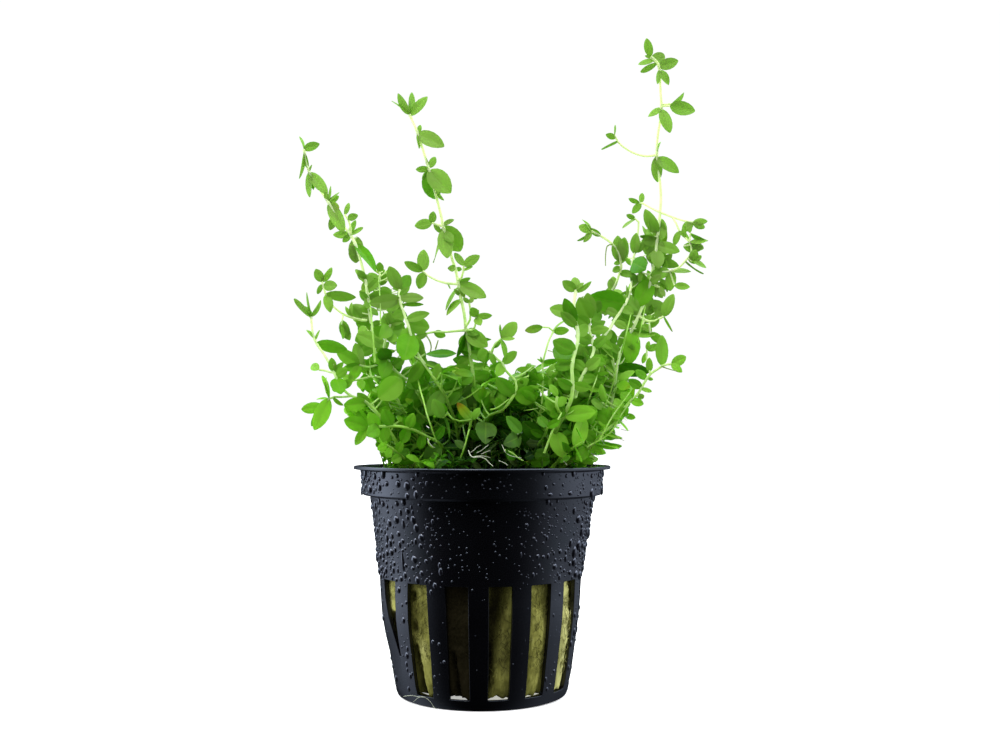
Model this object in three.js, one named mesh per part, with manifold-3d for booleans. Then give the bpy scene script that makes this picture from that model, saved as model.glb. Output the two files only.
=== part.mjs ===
// Potted pearlweed in a black net pot with a plug of mineral wool.
// Millimetres, +Z up. The origin is the centre of the pot's underside.
// The front of the pot looks along -Y.

import * as THREE from 'three';
import Module from 'manifold-3d';

// Pot: a flat flange, a collar, and a wall of bars that narrows to the base
const POT_HEIGHT = 48.0;
const FLANGE_RADIUS = 27.5;
const FLANGE_THICKNESS = 0.7;
const COLLAR_RADIUS = 25.8;
const COLLAR_FOOT_RADIUS = 25.6;
const COLLAR_FOOT_HEIGHT = 41.9;
const WALL_TOP_RADIUS = 23.95;
const WALL_THICKNESS = 0.85;
const BAR_COUNT = 15;
const BAR_WIDTH_DEG = 11.0;
const FIRST_BAR_DEG = -92.0;
// Radius of the outside of the wall at heights from the top of a slot to its foot
const SLOT_LEVELS = [
  [21.2, 24.8],
  [21.2, 17.0],
  [19.7, 9.5],
  [18.9, 4.0],
  [18.5, 2.3],
];
// Sideways bow of the bars on the left, in degrees at mid height
const BAR_BOWS_DEG = [0, 0, 0, 0.4, 0, 0, -0.5, 0, 0.3, 0, 0, 0.6, 1.4, -1.2, 0.5];
// The bar at the left that is pressed over its slot: how far its edge leans at a height,
// and after how many levels the slot closes
const BENT_BAR = 12;
const BENT_BAR_LEAN_DEG = [
  [9.5, 9.6],
  [17.0, 3.1],
  [21.0, 0],
];
const BENT_SLOT_LEVELS = 2;
// The wall stands out a little on that side
const BULGE_BEARING = -168;
const BULGE_HALF_ANGLE = 24;
const BULGE_RISE = 0.75;
const BULGE_LOW = 15;
const BULGE_HIGH = 26;
const BASE_RING_INNER_RADIUS = 14.0;
const BASE_THICKNESS = 1.3;
const HUB_RADIUS = 4.5;
const SPOKE_WIDTH = 2.2;
const SPOKE_COUNT = 4;

// Mineral wool: a rolled plug, ragged at its lower edge
const WOOL_TOP = 44.0;
const WOOL_GAP = 0.55;
const WOOL_SIDES = 20;
const WOOL_FOOT_RADIUS = 3.6;
const WOOL_LOW_EDGE = 5.6;

// Plant points are written as seen from a point in front of the pot:
// across and up in the upright plane through the pot's axis, then depth behind it
const EYE_DISTANCE = 240.0;
const EYE_HEIGHT = 54.1;

// Leaves
const LEAF_THICKNESS = 0.55;
const FULL_LEAF_RATIO = 0.55;
const NARROW_LEAF_RATIO = 0.36;
const NATURAL_LEAF_RATIO = 0.4;
const LARGE_LEAF_LENGTH = 5.0;
const LARGE_LEAF_WIDTH = 2.6;
const SMALLEST_LEAF_AREA = 5.6;
const CLEARANCE = 0.32;
const ROUTE_TOLERANCE = 0.42;
const SIDE_SHOOT_SCALE = 0.8;
const TIP_OVERRUN = 0.4;
const FOOT_GAP = 0.3;

// Each stem: name, radius, runs of [across, up, depth], and leaves of
// [base across, base up, tip across, tip up, width as seen]
const STEMS = [
  ["right_tall_stem", 0.5, [
    [[10, 44.3, 2], [16, 47.5, 0], [21.5, 50.5, -2], [25.3, 54.5, -4], [27, 58.5, -5],
      [28.3, 63.5, -5], [28.9, 68, -5], [29.5, 71, -4], [30.4, 73.5, -3], [31.4, 75.4, -2.5],
      [32.6, 77.5, -2], [34.4, 81.5, -1], [36.2, 86.3, 0], [37, 90, 0.5], [37.7, 93.5, 1],
      [38.1, 97, 1.5], [38.7, 102, 2], [39, 107, 2], [38.5, 113, 1.5], [38.2, 115.8, 1],
      [38.4, 120, 0], [39, 123.5, -1], [39.3, 126.3, -2], [39.1, 130, -3], [38.8, 135.6, -4],
      [37, 137.8, -4.5]],
    [[38.2, 115.8, 1], [35.5, 115.6, 0], [33, 116.3, -1], [31, 117.5, -2], [29.6, 118.8, -2.5],
      [28.9, 120.2, -3]],
    [[38.7, 103.2, 2], [37, 104, 3], [35.2, 105, 4], [34.2, 105.3, 4.5]],
    [[38.7, 103.2, 2], [41.5, 102.1, 1], [44, 101.3, 0], [46, 101, -1]],
    [[41.5, 102.1, 1], [42.4, 100.5, 0], [43, 99, 0]],
    [[37.1, 90.5, 0.5], [40, 90, -1], [42.5, 90.8, -2], [44, 92.2, -3], [45.6, 94.3, -3.5],
      [45.2, 96.6, -4]],
    [[33.9, 80.3, -1], [36.2, 79.2, -3], [38.2, 79.6, -4], [39.4, 80.3, -5]],
  ], [
    [37, 137.8, 36.1, 141.9, 1.7], [37.2, 137.6, 40.2, 137.5, 2.2], [38.8, 135.5, 43.1, 136.9, 2.2],
    [37.5, 136.8, 34.2, 136, 1], [38, 135.9, 34.7, 134.3, 1.2], [38.8, 134.9, 38.5, 131.6, 0.9],
    [38.9, 134.8, 40.9, 131.4, 1.4], [37.2, 137.4, 35.7, 138, 0.6],
    [41.2, 126.8, 46.7, 125.6, 2.7], [41.5, 127.2, 44.3, 129.8, 0.9], [39.3, 126, 41.2, 120.8, 2.2],
    [39.3, 126.3, 36.3, 124.3, 1.1],
    [29.3, 119.6, 27, 120.4, 1.2], [28.9, 120.2, 29.1, 122.5, 0.4], [29.6, 118.8, 26, 117, 0.6],
    [38.3, 115.6, 38.3, 109.8, 2.2], [38.3, 115.2, 43, 111.9, 2.3], [38.1, 115.6, 37.8, 113.9, 0.8],
    [38.3, 116.3, 39.1, 118.8, 0.5],
    [34.6, 105.2, 34.9, 107.4, 1.1], [34.3, 105.3, 31.9, 106.2, 0.9], [34.6, 105.1, 32.7, 102.9, 1.4],
    [46, 101, 49.2, 101.2, 1.3], [46, 101, 48.5, 99.6, 1], [44.8, 101.1, 45.3, 98.6, 1.3],
    [43, 99, 41.8, 95.8, 1.3], [38.2, 98.6, 35.5, 103.8, 2.4], [38.7, 101.3, 39.6, 95.8, 2.2],
    [38.1, 97.4, 34.4, 98, 0.9], [38, 96.8, 34.4, 96, 1.8], [38, 96, 43, 94.5, 2.3],
    [38.2, 98.2, 39.5, 92, 2], [37.7, 94, 36, 93, 1.3], [37.6, 92.8, 42.8, 91.3, 1.9],
    [40.5, 90.1, 45.5, 90.1, 0.9],
    [45.2, 96.2, 48.3, 95.2, 1.6], [45.2, 96.6, 49.3, 97, 0.9], [45.5, 94.3, 46.5, 91.8, 2],
    [45, 93.4, 48.8, 90.9, 0.9], [44.2, 92.4, 48.2, 89.6, 0.5],
    [36.6, 88.2, 33.4, 82.4, 3.6], [34.8, 82.8, 40, 81.2, 3.6], [39.4, 80.3, 41.6, 85.2, 2.2],
    [39.4, 80.3, 41.3, 76.9, 0.5], [38.4, 79.7, 37.4, 78.3, 0.6], [32.6, 77.2, 37, 76.4, 1.3],
    [32.3, 77.2, 31.9, 69.8, 3.4], [29, 69.3, 36.3, 68.2, 2.6], [27.6, 60.6, 22.5, 60.6, 3],
    [28.4, 64, 24.6, 65.6, 2.2], [28.4, 64, 31.8, 65.4, 2.2], [26, 56.4, 22.6, 56.8, 1.8],
    [28.8, 67.4, 25.6, 69.4, 2],
  ]],
  ["right_long_fork", 0.42, [
    [[25, 74.3, -8.4], [26, 75.5, -8], [27.6, 77.5, -6.5], [28.6, 79.3, -5], [29.5, 80.6, -4],
      [30.6, 82.2, -3], [31.7, 84.3, -1], [32.3, 86.5, 0], [32.5, 89, 1.5], [32.6, 92, 2.5],
      [33.4, 95, 3], [33.9, 98.5, 3.5], [34.1, 101, 3.5]],
    [[34.1, 101, 3.5], [33.2, 101.8, 3]],
  ], [
    [33, 94, 33.6, 98.6, 1.9], [33.4, 94.8, 35.4, 95.8, 0.8], [32.6, 92, 35.6, 90.5, 3.6],
    [32.5, 89.6, 30, 89.2, 0.9], [33.3, 101.7, 31.4, 102.6, 1], [33.4, 101.6, 30.5, 99.6, 0.6],
    [30.9, 83, 23.2, 84.7, 4.3], [31.5, 84.2, 31.3, 87.1, 0.6], [30.6, 82.2, 32.8, 80.8, 1.8],
    [25.8, 75.4, 28.3, 76.9, 1.8],
  ]],
  ["right_fork", 0.45, [
    [[20.1, 62.6, -15.6], [20.5, 64, -15.5], [21.2, 66.5, -15], [22.3, 68.5, -14], [23.5, 71, -12],
      [24.2, 73.2, -10], [23.8, 75, -9], [23.3, 77, -8], [23.2, 79, -7], [24.2, 81.5, -3],
      [26.4, 84, 2], [28.6, 86.5, 3], [29.6, 89, 2], [30.2, 91, 0], [29.9, 93.4, -1],
      [29, 95.4, -1.5], [28, 96.4, -2], [26, 97.8, -3], [23.7, 98.9, -4]],
  ], [
    [30.1, 92.2, 29.5, 98, 2.7], [30.2, 91, 28.3, 90.1, 1.3], [25.8, 97.9, 23.2, 99.6, 1.2],
    [23.7, 98.9, 21, 100.1, 1.7], [23.7, 98.9, 22, 96.5, 1.2], [23.7, 98.9, 21.7, 101.5, 0.5],
    [23.7, 98.8, 20.6, 96.8, 0.5], [28.6, 86.4, 28.4, 89, 1.5], [23.4, 79.6, 21, 84.4, 3.4],
    [23.2, 78, 19.6, 78.7, 3], [23.4, 76.9, 27.5, 77.6, 1.8], [24, 73.6, 20, 70.3, 2],
    [22.4, 68.7, 25.6, 71.2, 2.2], [21.3, 66.6, 24.6, 66.9, 2],
  ]],
  ["thick_right_stem", 0.6, [
    [[8, 44.3, -6], [11.5, 47.5, -9], [14, 51.5, -12], [15.2, 54, -14], [16, 55.8, -15],
      [17.3, 58.3, -16], [18.1, 59.8, -16.5], [18.8, 61.2, -17], [19.4, 63, -17], [19.5, 66, -16.5],
      [19.4, 69.5, -15.5], [20, 72.3, -14], [20.7, 75, -12.5], [20.6, 77.5, -11.5], [20, 79.5, -11],
      [19.8, 82, -10], [20, 84, -9], [20.3, 85.9, -8]],
    [[17.2, 58.4, -16], [16.3, 60, -18], [15.9, 61.5, -19], [16.2, 62.9, -19]],
  ], [
    [20.3, 85.9, 17.4, 88, 2], [20.3, 85.9, 20.1, 88.8, 1.8], [20.3, 85.9, 22.1, 87.6, 0.8],
    [20.3, 85.6, 23.7, 87.9, 1], [20.1, 78.9, 17.8, 84.2, 2.4], [19.9, 80.6, 14.6, 82, 2.6],
    [19.8, 81.8, 19.3, 83.2, 0.4], [20, 72.3, 15.3, 73.2, 4.8], [17.6, 58.8, 24.5, 59.5, 3.2],
    [17, 58.4, 13.3, 61.5, 2.6], [15.8, 55.2, 17.4, 49.6, 3.4], [16, 61, 18.2, 62.6, 1.8],
    [19.4, 70.2, 15.8, 71, 1], [19.5, 65.5, 23.4, 64.6, 2], [19.5, 64.6, 16.2, 66.6, 2],
    [16.2, 62.9, 14.6, 65.4, 1.4],
  ]],
  ["back_right_shoot", 0.38, [
    [[6, 44.3, 6], [10, 52, 9], [12.6, 60, 11], [13.1, 66, 12], [13, 69.8, 13], [13.3, 71.2, 13],
      [13.8, 73, 13.5], [14.4, 75, 14], [15.4, 77, 15]],
    [[15.4, 77, 15], [14.4, 77.8, 14.5], [13, 77.9, 14]],
  ], [
    [13, 77.9, 9.2, 77.1, 1.6], [15.5, 77.2, 18.8, 77.2, 1.6], [15.4, 77.1, 18, 79.3, 0.4],
    [13.1, 70, 11.8, 71, 0.4], [13.1, 70, 12.6, 71.5, 0.4], [13.2, 70.4, 17, 71, 1],
    [13.1, 66, 9.8, 67.8, 2.2], [13.1, 66, 16.4, 67.2, 2.2], [12.6, 60, 9.8, 62.4, 2.2],
    [12.6, 60, 15.4, 61.8, 2],
  ]],
  ["curved_shoot", 0.45, [
    [[1, 44.3, -8], [0.4, 50, -12], [0.3, 55, -15], [0.8, 58, -17], [2.5, 59.2, -18],
      [4, 59.7, -18.5], [5.2, 60.8, -18.5], [6.2, 62.2, -18], [6.9, 63.3, -17.5], [7.4, 64.6, -17],
      [7.2, 66.2, -16.5], [6, 67.4, -16], [4.9, 68.6, -15.5], [4.3, 70, -15], [3.2, 70.9, -14.5],
      [2, 72.1, -14], [1.3, 72.6, -14]],
    [[1.9, 72.1, -14], [2.6, 74, -14.5], [4.1, 75.4, -15]],
  ], [
    [1, 58.4, 0.5, 52.3, 5], [6.9, 63.3, 12.1, 63, 3.6], [6.8, 63.2, 3, 67, 2.8],
    [4.3, 70, 7.4, 72.6, 1.9], [4.3, 69.9, 3.1, 67.2, 2], [4.1, 75.4, 7.4, 78.9, 2.6],
    [4.1, 75.4, 7, 75.4, 0.8], [4, 75.4, 3.8, 78.5, 0.4], [4.1, 75.2, 4.9, 71, 1],
    [1.3, 72.6, -1, 70.8, 2.8], [1.4, 72.6, 0.4, 68.8, 0.5], [2.3, 73.4, 4, 75, 1],
    [4, 59.7, 3.2, 62.6, 1.6],
  ]],
  ["middle_tall_stem", 0.5, [
    [[-2, 44.3, 0], [-1.8, 50, -2], [-1.6, 57, -4], [-1.7, 62.5, -5], [-1.9, 66, -6],
      [-2.4, 70, -6], [-3, 74, -6], [-3.6, 77.2, -6], [-3.8, 79.5, -6], [-4.2, 82, -6],
      [-4.7, 84.2, -6], [-5.3, 87.6, -6], [-5.9, 90.5, -6], [-6.7, 93, -7], [-8.6, 100, -8],
      [-9.3, 103.3, -9], [-11.7, 112.3, -11], [-14.2, 120.4, -11], [-16, 124.6, -11]],
    [[-8.6, 100, -8], [-9.8, 100.2, -8], [-11, 100.7, -8]],
    [[-5.4, 88.1, -6], [-4.6, 88.6, -7], [-4.2, 90, -8], [-4.1, 91.3, -8]],
    [[-5.3, 87.3, -6], [-7.5, 87.4, -5], [-10, 88.1, -4], [-12, 89.2, -3], [-13, 90.1, -3]],
    [[-3.6, 77.2, -6], [-6, 77, -5], [-8, 76.8, -4], [-10.5, 76.8, -3], [-12, 76.5, -2]],
    [[-3.7, 78, -6], [-2.7, 79.5, -7.5], [-2.7, 82, -8.5], [-2.9, 83.2, -9]],
    [[-3.6, 77.2, -6], [-2, 77.4, -8.5], [-1.5, 78.8, -10], [-1.4, 80.2, -10]],
  ], [
    [-16, 124.6, -18.6, 129.3, 1.5], [-16, 124.6, -15.5, 129.5, 1.3], [-15.8, 124.3, -12.1, 128.6, 1.7],
    [-16, 124.6, -20, 127.6, 0.4],
    [-14.2, 120.4, -8.4, 117.5, 2.9], [-14.2, 120.4, -13.6, 122.3, 0.9], [-14.2, 120.3, -13.9, 117, 0.8],
    [-11.7, 112.2, -10.3, 105.9, 3.8], [-11.7, 112.3, -7, 107.2, 3.9], [-10.6, 108.6, -8.4, 105.6, 0.8],
    [-11.8, 112.6, -14.6, 112.4, 1.3], [-11.8, 112.8, -10.3, 115.2, 1.4], [-11.9, 113, -12.4, 115, 0.5],
    [-11, 100.7, -14.8, 100, 2], [-11, 100.7, -10.7, 103.2, 1.5], [-10.6, 100.5, -9, 98.4, 1],
    [-8.6, 100.2, -6.2, 101.4, 0.9], [-8.5, 99.9, -4.7, 94.5, 4], [-8.4, 99.3, -7.7, 92.9, 3],
    [-8.3, 98.8, -10.7, 91.9, 0.4], [-6, 90.8, -7.6, 90.7, 1.3], [-5.9, 90.6, -4.5, 90.5, 0.9],
    [-4.1, 91.3, -0.6, 93.5, 1.9], [-4.1, 91.3, -6.1, 94.1, 1.4], [-4.2, 90.2, -2.1, 91.1, 0.6],
    [-13, 90.1, -12.8, 94.8, 2.4], [-13, 90.1, -17, 92.1, 1.7], [-12.7, 89.8, -13.8, 86.2, 2.1],
    [-5.2, 87.3, 0.8, 84.4, 2.7], [-3.2, 86.4, -1.2, 84, 1.8], [-5.1, 86.6, -3.9, 84.2, 0.9],
    [-5.2, 86.8, -8, 81.5, 0.7], [-7.6, 87.4, -7, 86.2, 0.3], [-4.6, 83.8, -7.8, 80.4, 1.2],
    [-2.9, 83.2, -4.2, 84.3, 0.9], [-2.9, 83.2, -1.9, 84.4, 0.9],
    [-12, 76.5, -15, 75.3, 1.3], [-10.5, 76.8, -8, 75.9, 1.5], [-3.6, 76.9, -5.6, 71.4, 1.1],
    [-3.4, 76.4, -2.6, 70.4, 2.2], [-3.4, 76.8, 1.1, 73.6, 3], [-3.4, 76.9, 1.9, 75.2, 0.8],
    [-1.4, 80, -2.3, 82.2, 1.8], [-1.4, 80.2, 2.1, 80.4, 1.3], [-1.4, 79.9, -0.3, 78.3, 1.6],
    [-1.4, 80.2, -0.8, 81.7, 0.4], [-2.6, 71.6, -4.7, 72.7, 0.9], [-2.5, 70.4, -6.4, 70.9, 2],
    [-2.2, 68.8, -8.8, 67.4, 2.8], [-1.9, 65.6, -3.3, 60.4, 3.2], [-1.9, 65.4, 0.8, 61, 2.6],
    [-2, 66.9, 1.8, 67.8, 2], [-2.3, 69, 1.2, 69.8, 1.2],
  ]],
  ["inner_left_stem", 0.48, [
    [[-4.5, 44.3, -4], [-4.8, 50, -7], [-5.6, 56, -9], [-7.2, 61, -11], [-8.3, 63.5, -12],
      [-10, 66.2, -12], [-12.5, 69.8, -11], [-14.1, 72.2, -10], [-15.2, 75, -9], [-16.1, 78.3, -8],
      [-16.8, 80.2, -7], [-17.9, 83.6, -5], [-18, 86, -4]],
  ], [
    [-18, 86, -20.3, 91.1, 2.6], [-18, 86, -15.7, 89.1, 2.4], [-17.9, 84.2, -12.8, 84.2, 2],
    [-17.6, 82.8, -12.8, 82.8, 0.8], [-17.9, 84, -24.5, 83, 2.8], [-17.8, 83.4, -20.6, 81.6, 2],
    [-16.5, 79.4, -11.5, 80.9, 1.9], [-16.2, 78.6, -11.5, 77.8, 3.2], [-15.6, 76.4, -17, 70.6, 4.4],
    [-15, 74.6, -12.6, 70.3, 2.6], [-12.8, 70.1, -8.8, 68.7, 1], [-12.3, 69.5, -14.6, 64.4, 3.8],
    [-12.4, 72, -5.6, 72.1, 1.4], [-12.8, 70.4, -17.3, 68.5, 0.3], [-8.6, 64, -12, 58.6, 3],
    [-8.9, 64.6, -5.4, 66.4, 1.4], [-7.2, 61, -4.9, 63.8, 1.6], [-6.4, 58.6, -9.6, 56.4, 2],
    [-10.2, 66.4, -9.4, 70, 1.8],
  ]],
  ["left_cluster_stem", 0.45, [
    [[-7, 44.3, 1], [-8.4, 49, -1], [-9.8, 53.5, -3], [-10.8, 56, -4], [-12, 59, -5],
      [-13, 61.8, -5], [-14.5, 64.6, -5], [-16.6, 66.6, -5], [-18.8, 68.4, -5], [-20.4, 70.8, -5],
      [-21.3, 73.6, -5], [-20.6, 76, -5], [-20, 78.5, -5]],
  ], [
    [-20, 78.5, -20.1, 81.3, 1.6], [-20, 78.5, -17.2, 80.9, 2.4], [-20.1, 78, -21.6, 81.3, 0.4],
    [-20.4, 76.8, -17.2, 77.4, 2.6], [-20.6, 76.2, -23.8, 77.6, 2.2], [-21.2, 74, -27.2, 76.4, 3],
    [-20.4, 70.8, -21.8, 66.8, 2.8], [-20.6, 71.2, -17.8, 68.2, 3], [-18.9, 68.4, -22.4, 60.4, 3.6],
    [-14.8, 64.9, -17.6, 61.2, 1.8], [-13, 61.8, -16.4, 59.6, 2.2], [-13, 61.8, -9.9, 62.8, 1.6],
    [-20.9, 72.6, -18.9, 72.6, 0.8], [-11.9, 58.8, -15, 57, 2.2], [-16.8, 66.8, -19.8, 63.8, 2.6],
  ]],
  ["left_tall_stem", 0.5, [
    [[-9, 44.3, 5], [-12, 50, 6], [-15.5, 57, 6], [-18.6, 62.5, 5], [-20.8, 66.5, 4],
      [-22.3, 70, 4], [-23.1, 73, 4], [-23.6, 76, 4], [-24.4, 80.6, 4], [-24.8, 84, 4],
      [-25.2, 87, 4], [-25.8, 89.6, 5], [-26.4, 92, 5], [-27.6, 95.8, 6], [-28.6, 97.8, 7],
      [-31, 101, 8], [-33.5, 105, 9], [-35.5, 108, 10], [-37.8, 111.8, 11], [-39, 116.8, 11]],
    [[-28.6, 97.8, 7], [-28.9, 100.4, 5], [-29.6, 101.9, 4], [-30, 102.4, 4]],
    [[-24.3, 80.2, 4], [-22.9, 81.5, 6], [-22.4, 84, 7], [-22.3, 89.9, 8]],
    [[-22.2, 69.8, 4], [-24.5, 69.2, 2], [-26.6, 69.6, 1]],
    [[-20.8, 66.5, 4], [-23, 67.1, 2], [-25.2, 66.8, 1], [-27.4, 66.3, 0]],
  ], [
    [-39, 116.8, -35.6, 118, 1.7], [-39, 116.8, -40, 119.6, 0.5], [-38.9, 116.3, -40, 110.2, 0.7],
    [-38.7, 115.8, -38, 112.4, 0.9], [-37.7, 111.6, -33.8, 106.9, 2.2], [-37.8, 111.8, -37.6, 106.2, 1.2],
    [-37.7, 111.8, -37.2, 113.4, 0.4], [-33.4, 104.8, -30.8, 101, 2], [-33.3, 104.7, -30.2, 98.4, 2.6],
    [-33.5, 105.1, -31.3, 106.5, 1.2], [-33.5, 105, -31.2, 103.8, 1.4], [-33.6, 105.3, -33.1, 108.8, 0.5],
    [-33.5, 105.3, -31.2, 107.3, 0.4], [-30, 102.4, -29.1, 105, 1], [-29.4, 101.5, -27.1, 102.3, 1.4],
    [-28.7, 98, -32.5, 98, 1.5], [-28.6, 98, -26, 99.6, 0.9], [-27.7, 96.1, -27.5, 91.8, 2.5],
    [-27.6, 95.8, -23.2, 89.8, 1.9], [-25.3, 87.4, -27.6, 90.4, 1.3], [-25.7, 89.2, -23.5, 86.5, 2],
    [-25, 85.5, -26.8, 85.5, 0.9], [-24.9, 84.8, -24.9, 81.8, 1.4], [-24.9, 84.4, -19.5, 84.6, 2.5],
    [-22.3, 89.9, -22.3, 92, 1.5], [-22.4, 87, -20.4, 88.6, 0.9], [-22.4, 87, -24, 88.6, 1],
    [-24.6, 82.4, -26.8, 77.9, 3], [-26.6, 69.6, -31.6, 73, 2.6], [-26.4, 69.6, -27.4, 74.4, 2.2],
    [-26.3, 69.5, -28.9, 66.2, 2], [-27.4, 66.3, -30.3, 67.2, 1.4], [-26.4, 66.5, -26, 64.2, 1.6],
    [-25, 66.8, -23.8, 63.4, 2.2], [-22.8, 72, -20.2, 74.6, 1.8], [-18.4, 62.2, -20.4, 59.2, 2.4],
    [-15.6, 57.2, -18.6, 56, 2],
  ]],
  ["left_fork", 0.36, [
    [[-25.1, 79.3, 3.2], [-26.3, 79.4, 2], [-28.5, 80, 1], [-30.2, 80.7, 0], [-32, 82, -1],
      [-33.3, 83.5, -1], [-34, 85, -2], [-34.8, 87.7, -2]],
    [[-30.2, 80.7, 0], [-30.3, 79.6, -1], [-30.5, 78.4, -1]],
  ], [
    [-34.8, 87.7, -36.2, 90.5, 1.8], [-34.8, 87.7, -32.7, 90.8, 1.3], [-34.5, 86.8, -31.5, 86.9, 2],
    [-34, 85, -27.4, 84.3, 1.9], [-33.9, 84.8, -33, 81, 1.8], [-30.5, 78.4, -28.7, 75, 1.8],
    [-30.5, 78.4, -30.2, 75.2, 0.8], [-28.6, 80, -29.7, 82.4, 0.7], [-28.3, 80, -28.3, 83.2, 0.8],
  ]],
  ["far_left_stem", 0.45, [
    [[-12, 44.3, -3], [-14.5, 47.8, -6], [-17.6, 51.4, -9], [-19.3, 54.2, -11], [-20.9, 57, -12],
      [-22.5, 59, -13], [-24.3, 61, -13.5], [-26, 62.2, -14], [-28.2, 62.9, -14], [-29.9, 64.2, -14],
      [-31.2, 66, -14], [-32, 68, -13], [-33.1, 70, -12], [-34.3, 72, -11], [-35.8, 74.2, -10],
      [-36.6, 76, -9.5], [-36.9, 78, -9], [-37.1, 80.1, -9]],
    [[-28.2, 62.9, -14], [-30.4, 62.7, -15], [-32, 62.7, -16], [-33.1, 62.3, -16]],
    [[-32, 68, -13], [-33, 68.1, -12], [-34, 68.4, -11], [-35.3, 68.6, -11]],
  ], [
    [-37.1, 80.1, -40.8, 84, 1.2], [-37.1, 80.1, -35, 83.7, 0.9], [-37.1, 80.1, -38.1, 85.4, 0.5],
    [-36.4, 75.5, -38.1, 77.2, 0.7], [-36.2, 75, -35.2, 77.2, 0.5], [-35.9, 74.4, -29.2, 73, 2.3],
    [-32, 68.2, -32.6, 71.2, 1.6], [-35.3, 68.6, -36.9, 69.6, 1.7], [-31.5, 66.8, -30.5, 63.3, 3],
    [-33.1, 62.3, -34.6, 67.3, 0.9], [-33, 62.4, -33.7, 67, 0.5], [-33.1, 62.3, -35.8, 62.2, 0.4],
    [-33, 62.1, -36.2, 55.6, 3], [-34.4, 60.6, -39, 60, 2.2], [-35.4, 59.6, -36.8, 56.4, 1.2],
    [-32.2, 62.6, -30, 60.9, 0.8], [-25, 61.6, -29.9, 60.9, 2.6], [-22.4, 58.9, -19.9, 60.4, 1.8],
    [-31.6, 67, -29.2, 68.9, 1.8],
  ]],
  ["arching_stem", 0.45, [
    [[-6, 44.3, -9], [-7.4, 48, -13], [-8.5, 51.4, -15], [-9.3, 52.8, -16], [-10.4, 53.5, -17],
      [-11.6, 54, -17.5], [-13, 54.7, -18], [-14.5, 55.5, -19], [-16, 56, -19.5], [-18, 56.4, -20],
      [-20, 56.4, -20], [-22.5, 56.3, -20], [-24.6, 56.2, -20]],
  ], [
    [-24.6, 56.2, -29.8, 57.8, 2.9], [-24.6, 56.2, -27.4, 52.4, 1.8], [-22.3, 56.3, -24.9, 54.3, 2.6],
    [-20.6, 56.4, -21.4, 53, 2], [-22.5, 56.3, -24.5, 59.4, 2.4], [-8.9, 52.1, -12.3, 48.7, 3.4],
    [-8.6, 51.8, -3.3, 51.7, 1.1], [-16, 56, -17.4, 52.8, 2.2], [-16, 56, -14.8, 59.2, 2],
    [-12.8, 54.6, -13.4, 51.4, 1.8],
  ]],
  ["brown_tipped_shoot", 0.4, [
    [[-3.6, 44.3, -10], [-3.8, 49, -14], [-3.5, 52.3, -18], [-3, 55, -20], [-2.4, 57.8, -21]],
    [[-2.4, 57.8, -21], [-5, 57.5, -21.5], [-6.5, 58, -21.5], [-7.7, 59.5, -21.5]],
  ], [
    [-2.4, 57.8, -5.4, 61.5, 1.9], [-2.4, 57.8, -0.6, 60.4, 1.4], [-7.7, 59.5, -9.2, 61.4, 1.2],
    [-3.6, 51.6, -6, 53.4, 1.4],
  ]],
  ["short_front_stem", 0.4, [
    [[7.5, 44.3, -12], [9.6, 48, -15], [11, 50.5, -17], [12.2, 52.6, -18], [13.4, 54.6, -19],
      [14.1, 56.2, -20]],
  ], [
    [14.1, 56.2, 16.8, 57.6, 1.6], [14.1, 56.2, 12, 58.4, 1.8], [13.2, 54.3, 10.4, 55.6, 1.6],
    [11.2, 50.9, 14.4, 49.5, 2.4], [11, 50.5, 9, 49.6, 1.6], [12.2, 52.6, 9.4, 52.8, 1.6],
  ]],
  ["low_right_stem", 0.42, [
    [[12, 44.3, -3], [16.5, 47.4, -6], [20.5, 50, -9], [23.6, 52.4, -11], [25.7, 54.7, -12],
      [27.6, 56.2, -12], [29.3, 58, -12], [30.5, 60, -12], [32, 61.8, -12], [33.5, 63.2, -12],
      [34.6, 65, -12], [35.7, 66.8, -12], [36.6, 67.9, -12], [38.2, 68.9, -12], [39, 69.5, -12],
      [40, 69.8, -13], [41, 69.9, -13]],
    [[36.4, 67.6, -12], [36, 69.8, -11], [35.6, 71.6, -10], [35.7, 73, -10]],
  ], [
    [39, 69.5, 39, 76.2, 2.4], [41, 69.9, 44.2, 71.5, 2], [41, 69.9, 43.3, 68.1, 1.4],
    [35.7, 73, 38.4, 74, 1.4], [35.7, 73, 36.2, 74.9, 0.9], [35.6, 72.4, 34.7, 70, 1],
    [36.3, 68.3, 36.2, 71.3, 1.4], [35.7, 66.9, 37, 66.5, 0.7], [34.3, 64.6, 36.7, 63.9, 0.9],
    [33.6, 63.3, 34.9, 62.5, 1.2], [32.1, 61.9, 34.9, 61.2, 1.6], [30.8, 58.9, 33.1, 58.2, 1.2],
    [29.2, 57.8, 31.5, 55.4, 0.5], [24.2, 53, 30.1, 52.1, 1.4], [24, 52.8, 29.6, 51.5, 0.8],
    [23.4, 52.2, 26, 50.6, 1.2], [26, 54.9, 30.2, 53.8, 0.5], [23, 51.9, 18.6, 50.2, 4],
    [20.3, 49.9, 24, 48.4, 1.6], [27.6, 56.2, 24.9, 58.6, 2], [28.6, 57.2, 27.4, 60.6, 2.2],
    [30.3, 59.6, 28.6, 62.4, 1.8],
  ]],
  ["low_left_stem", 0.36, [
    [[-13, 44.3, -8], [-15.5, 47.8, -12], [-17.6, 50.2, -14], [-19.4, 51.6, -15], [-20.6, 52.4, -15]],
  ], [
    [-20.6, 52.4, -22.6, 51.4, 1.6], [-20.6, 52.4, -22.2, 54, 1.2], [-19.6, 51.7, -20.8, 49.8, 1.4],
    [-17.8, 50.4, -15.4, 51, 1.8], [-17.4, 50, -19.6, 48.9, 1.8], [-16.4, 48.9, -14.2, 49.4, 1.6],
    [-18.4, 50.8, -17.2, 53.2, 1.6],
  ]],
];

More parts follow.
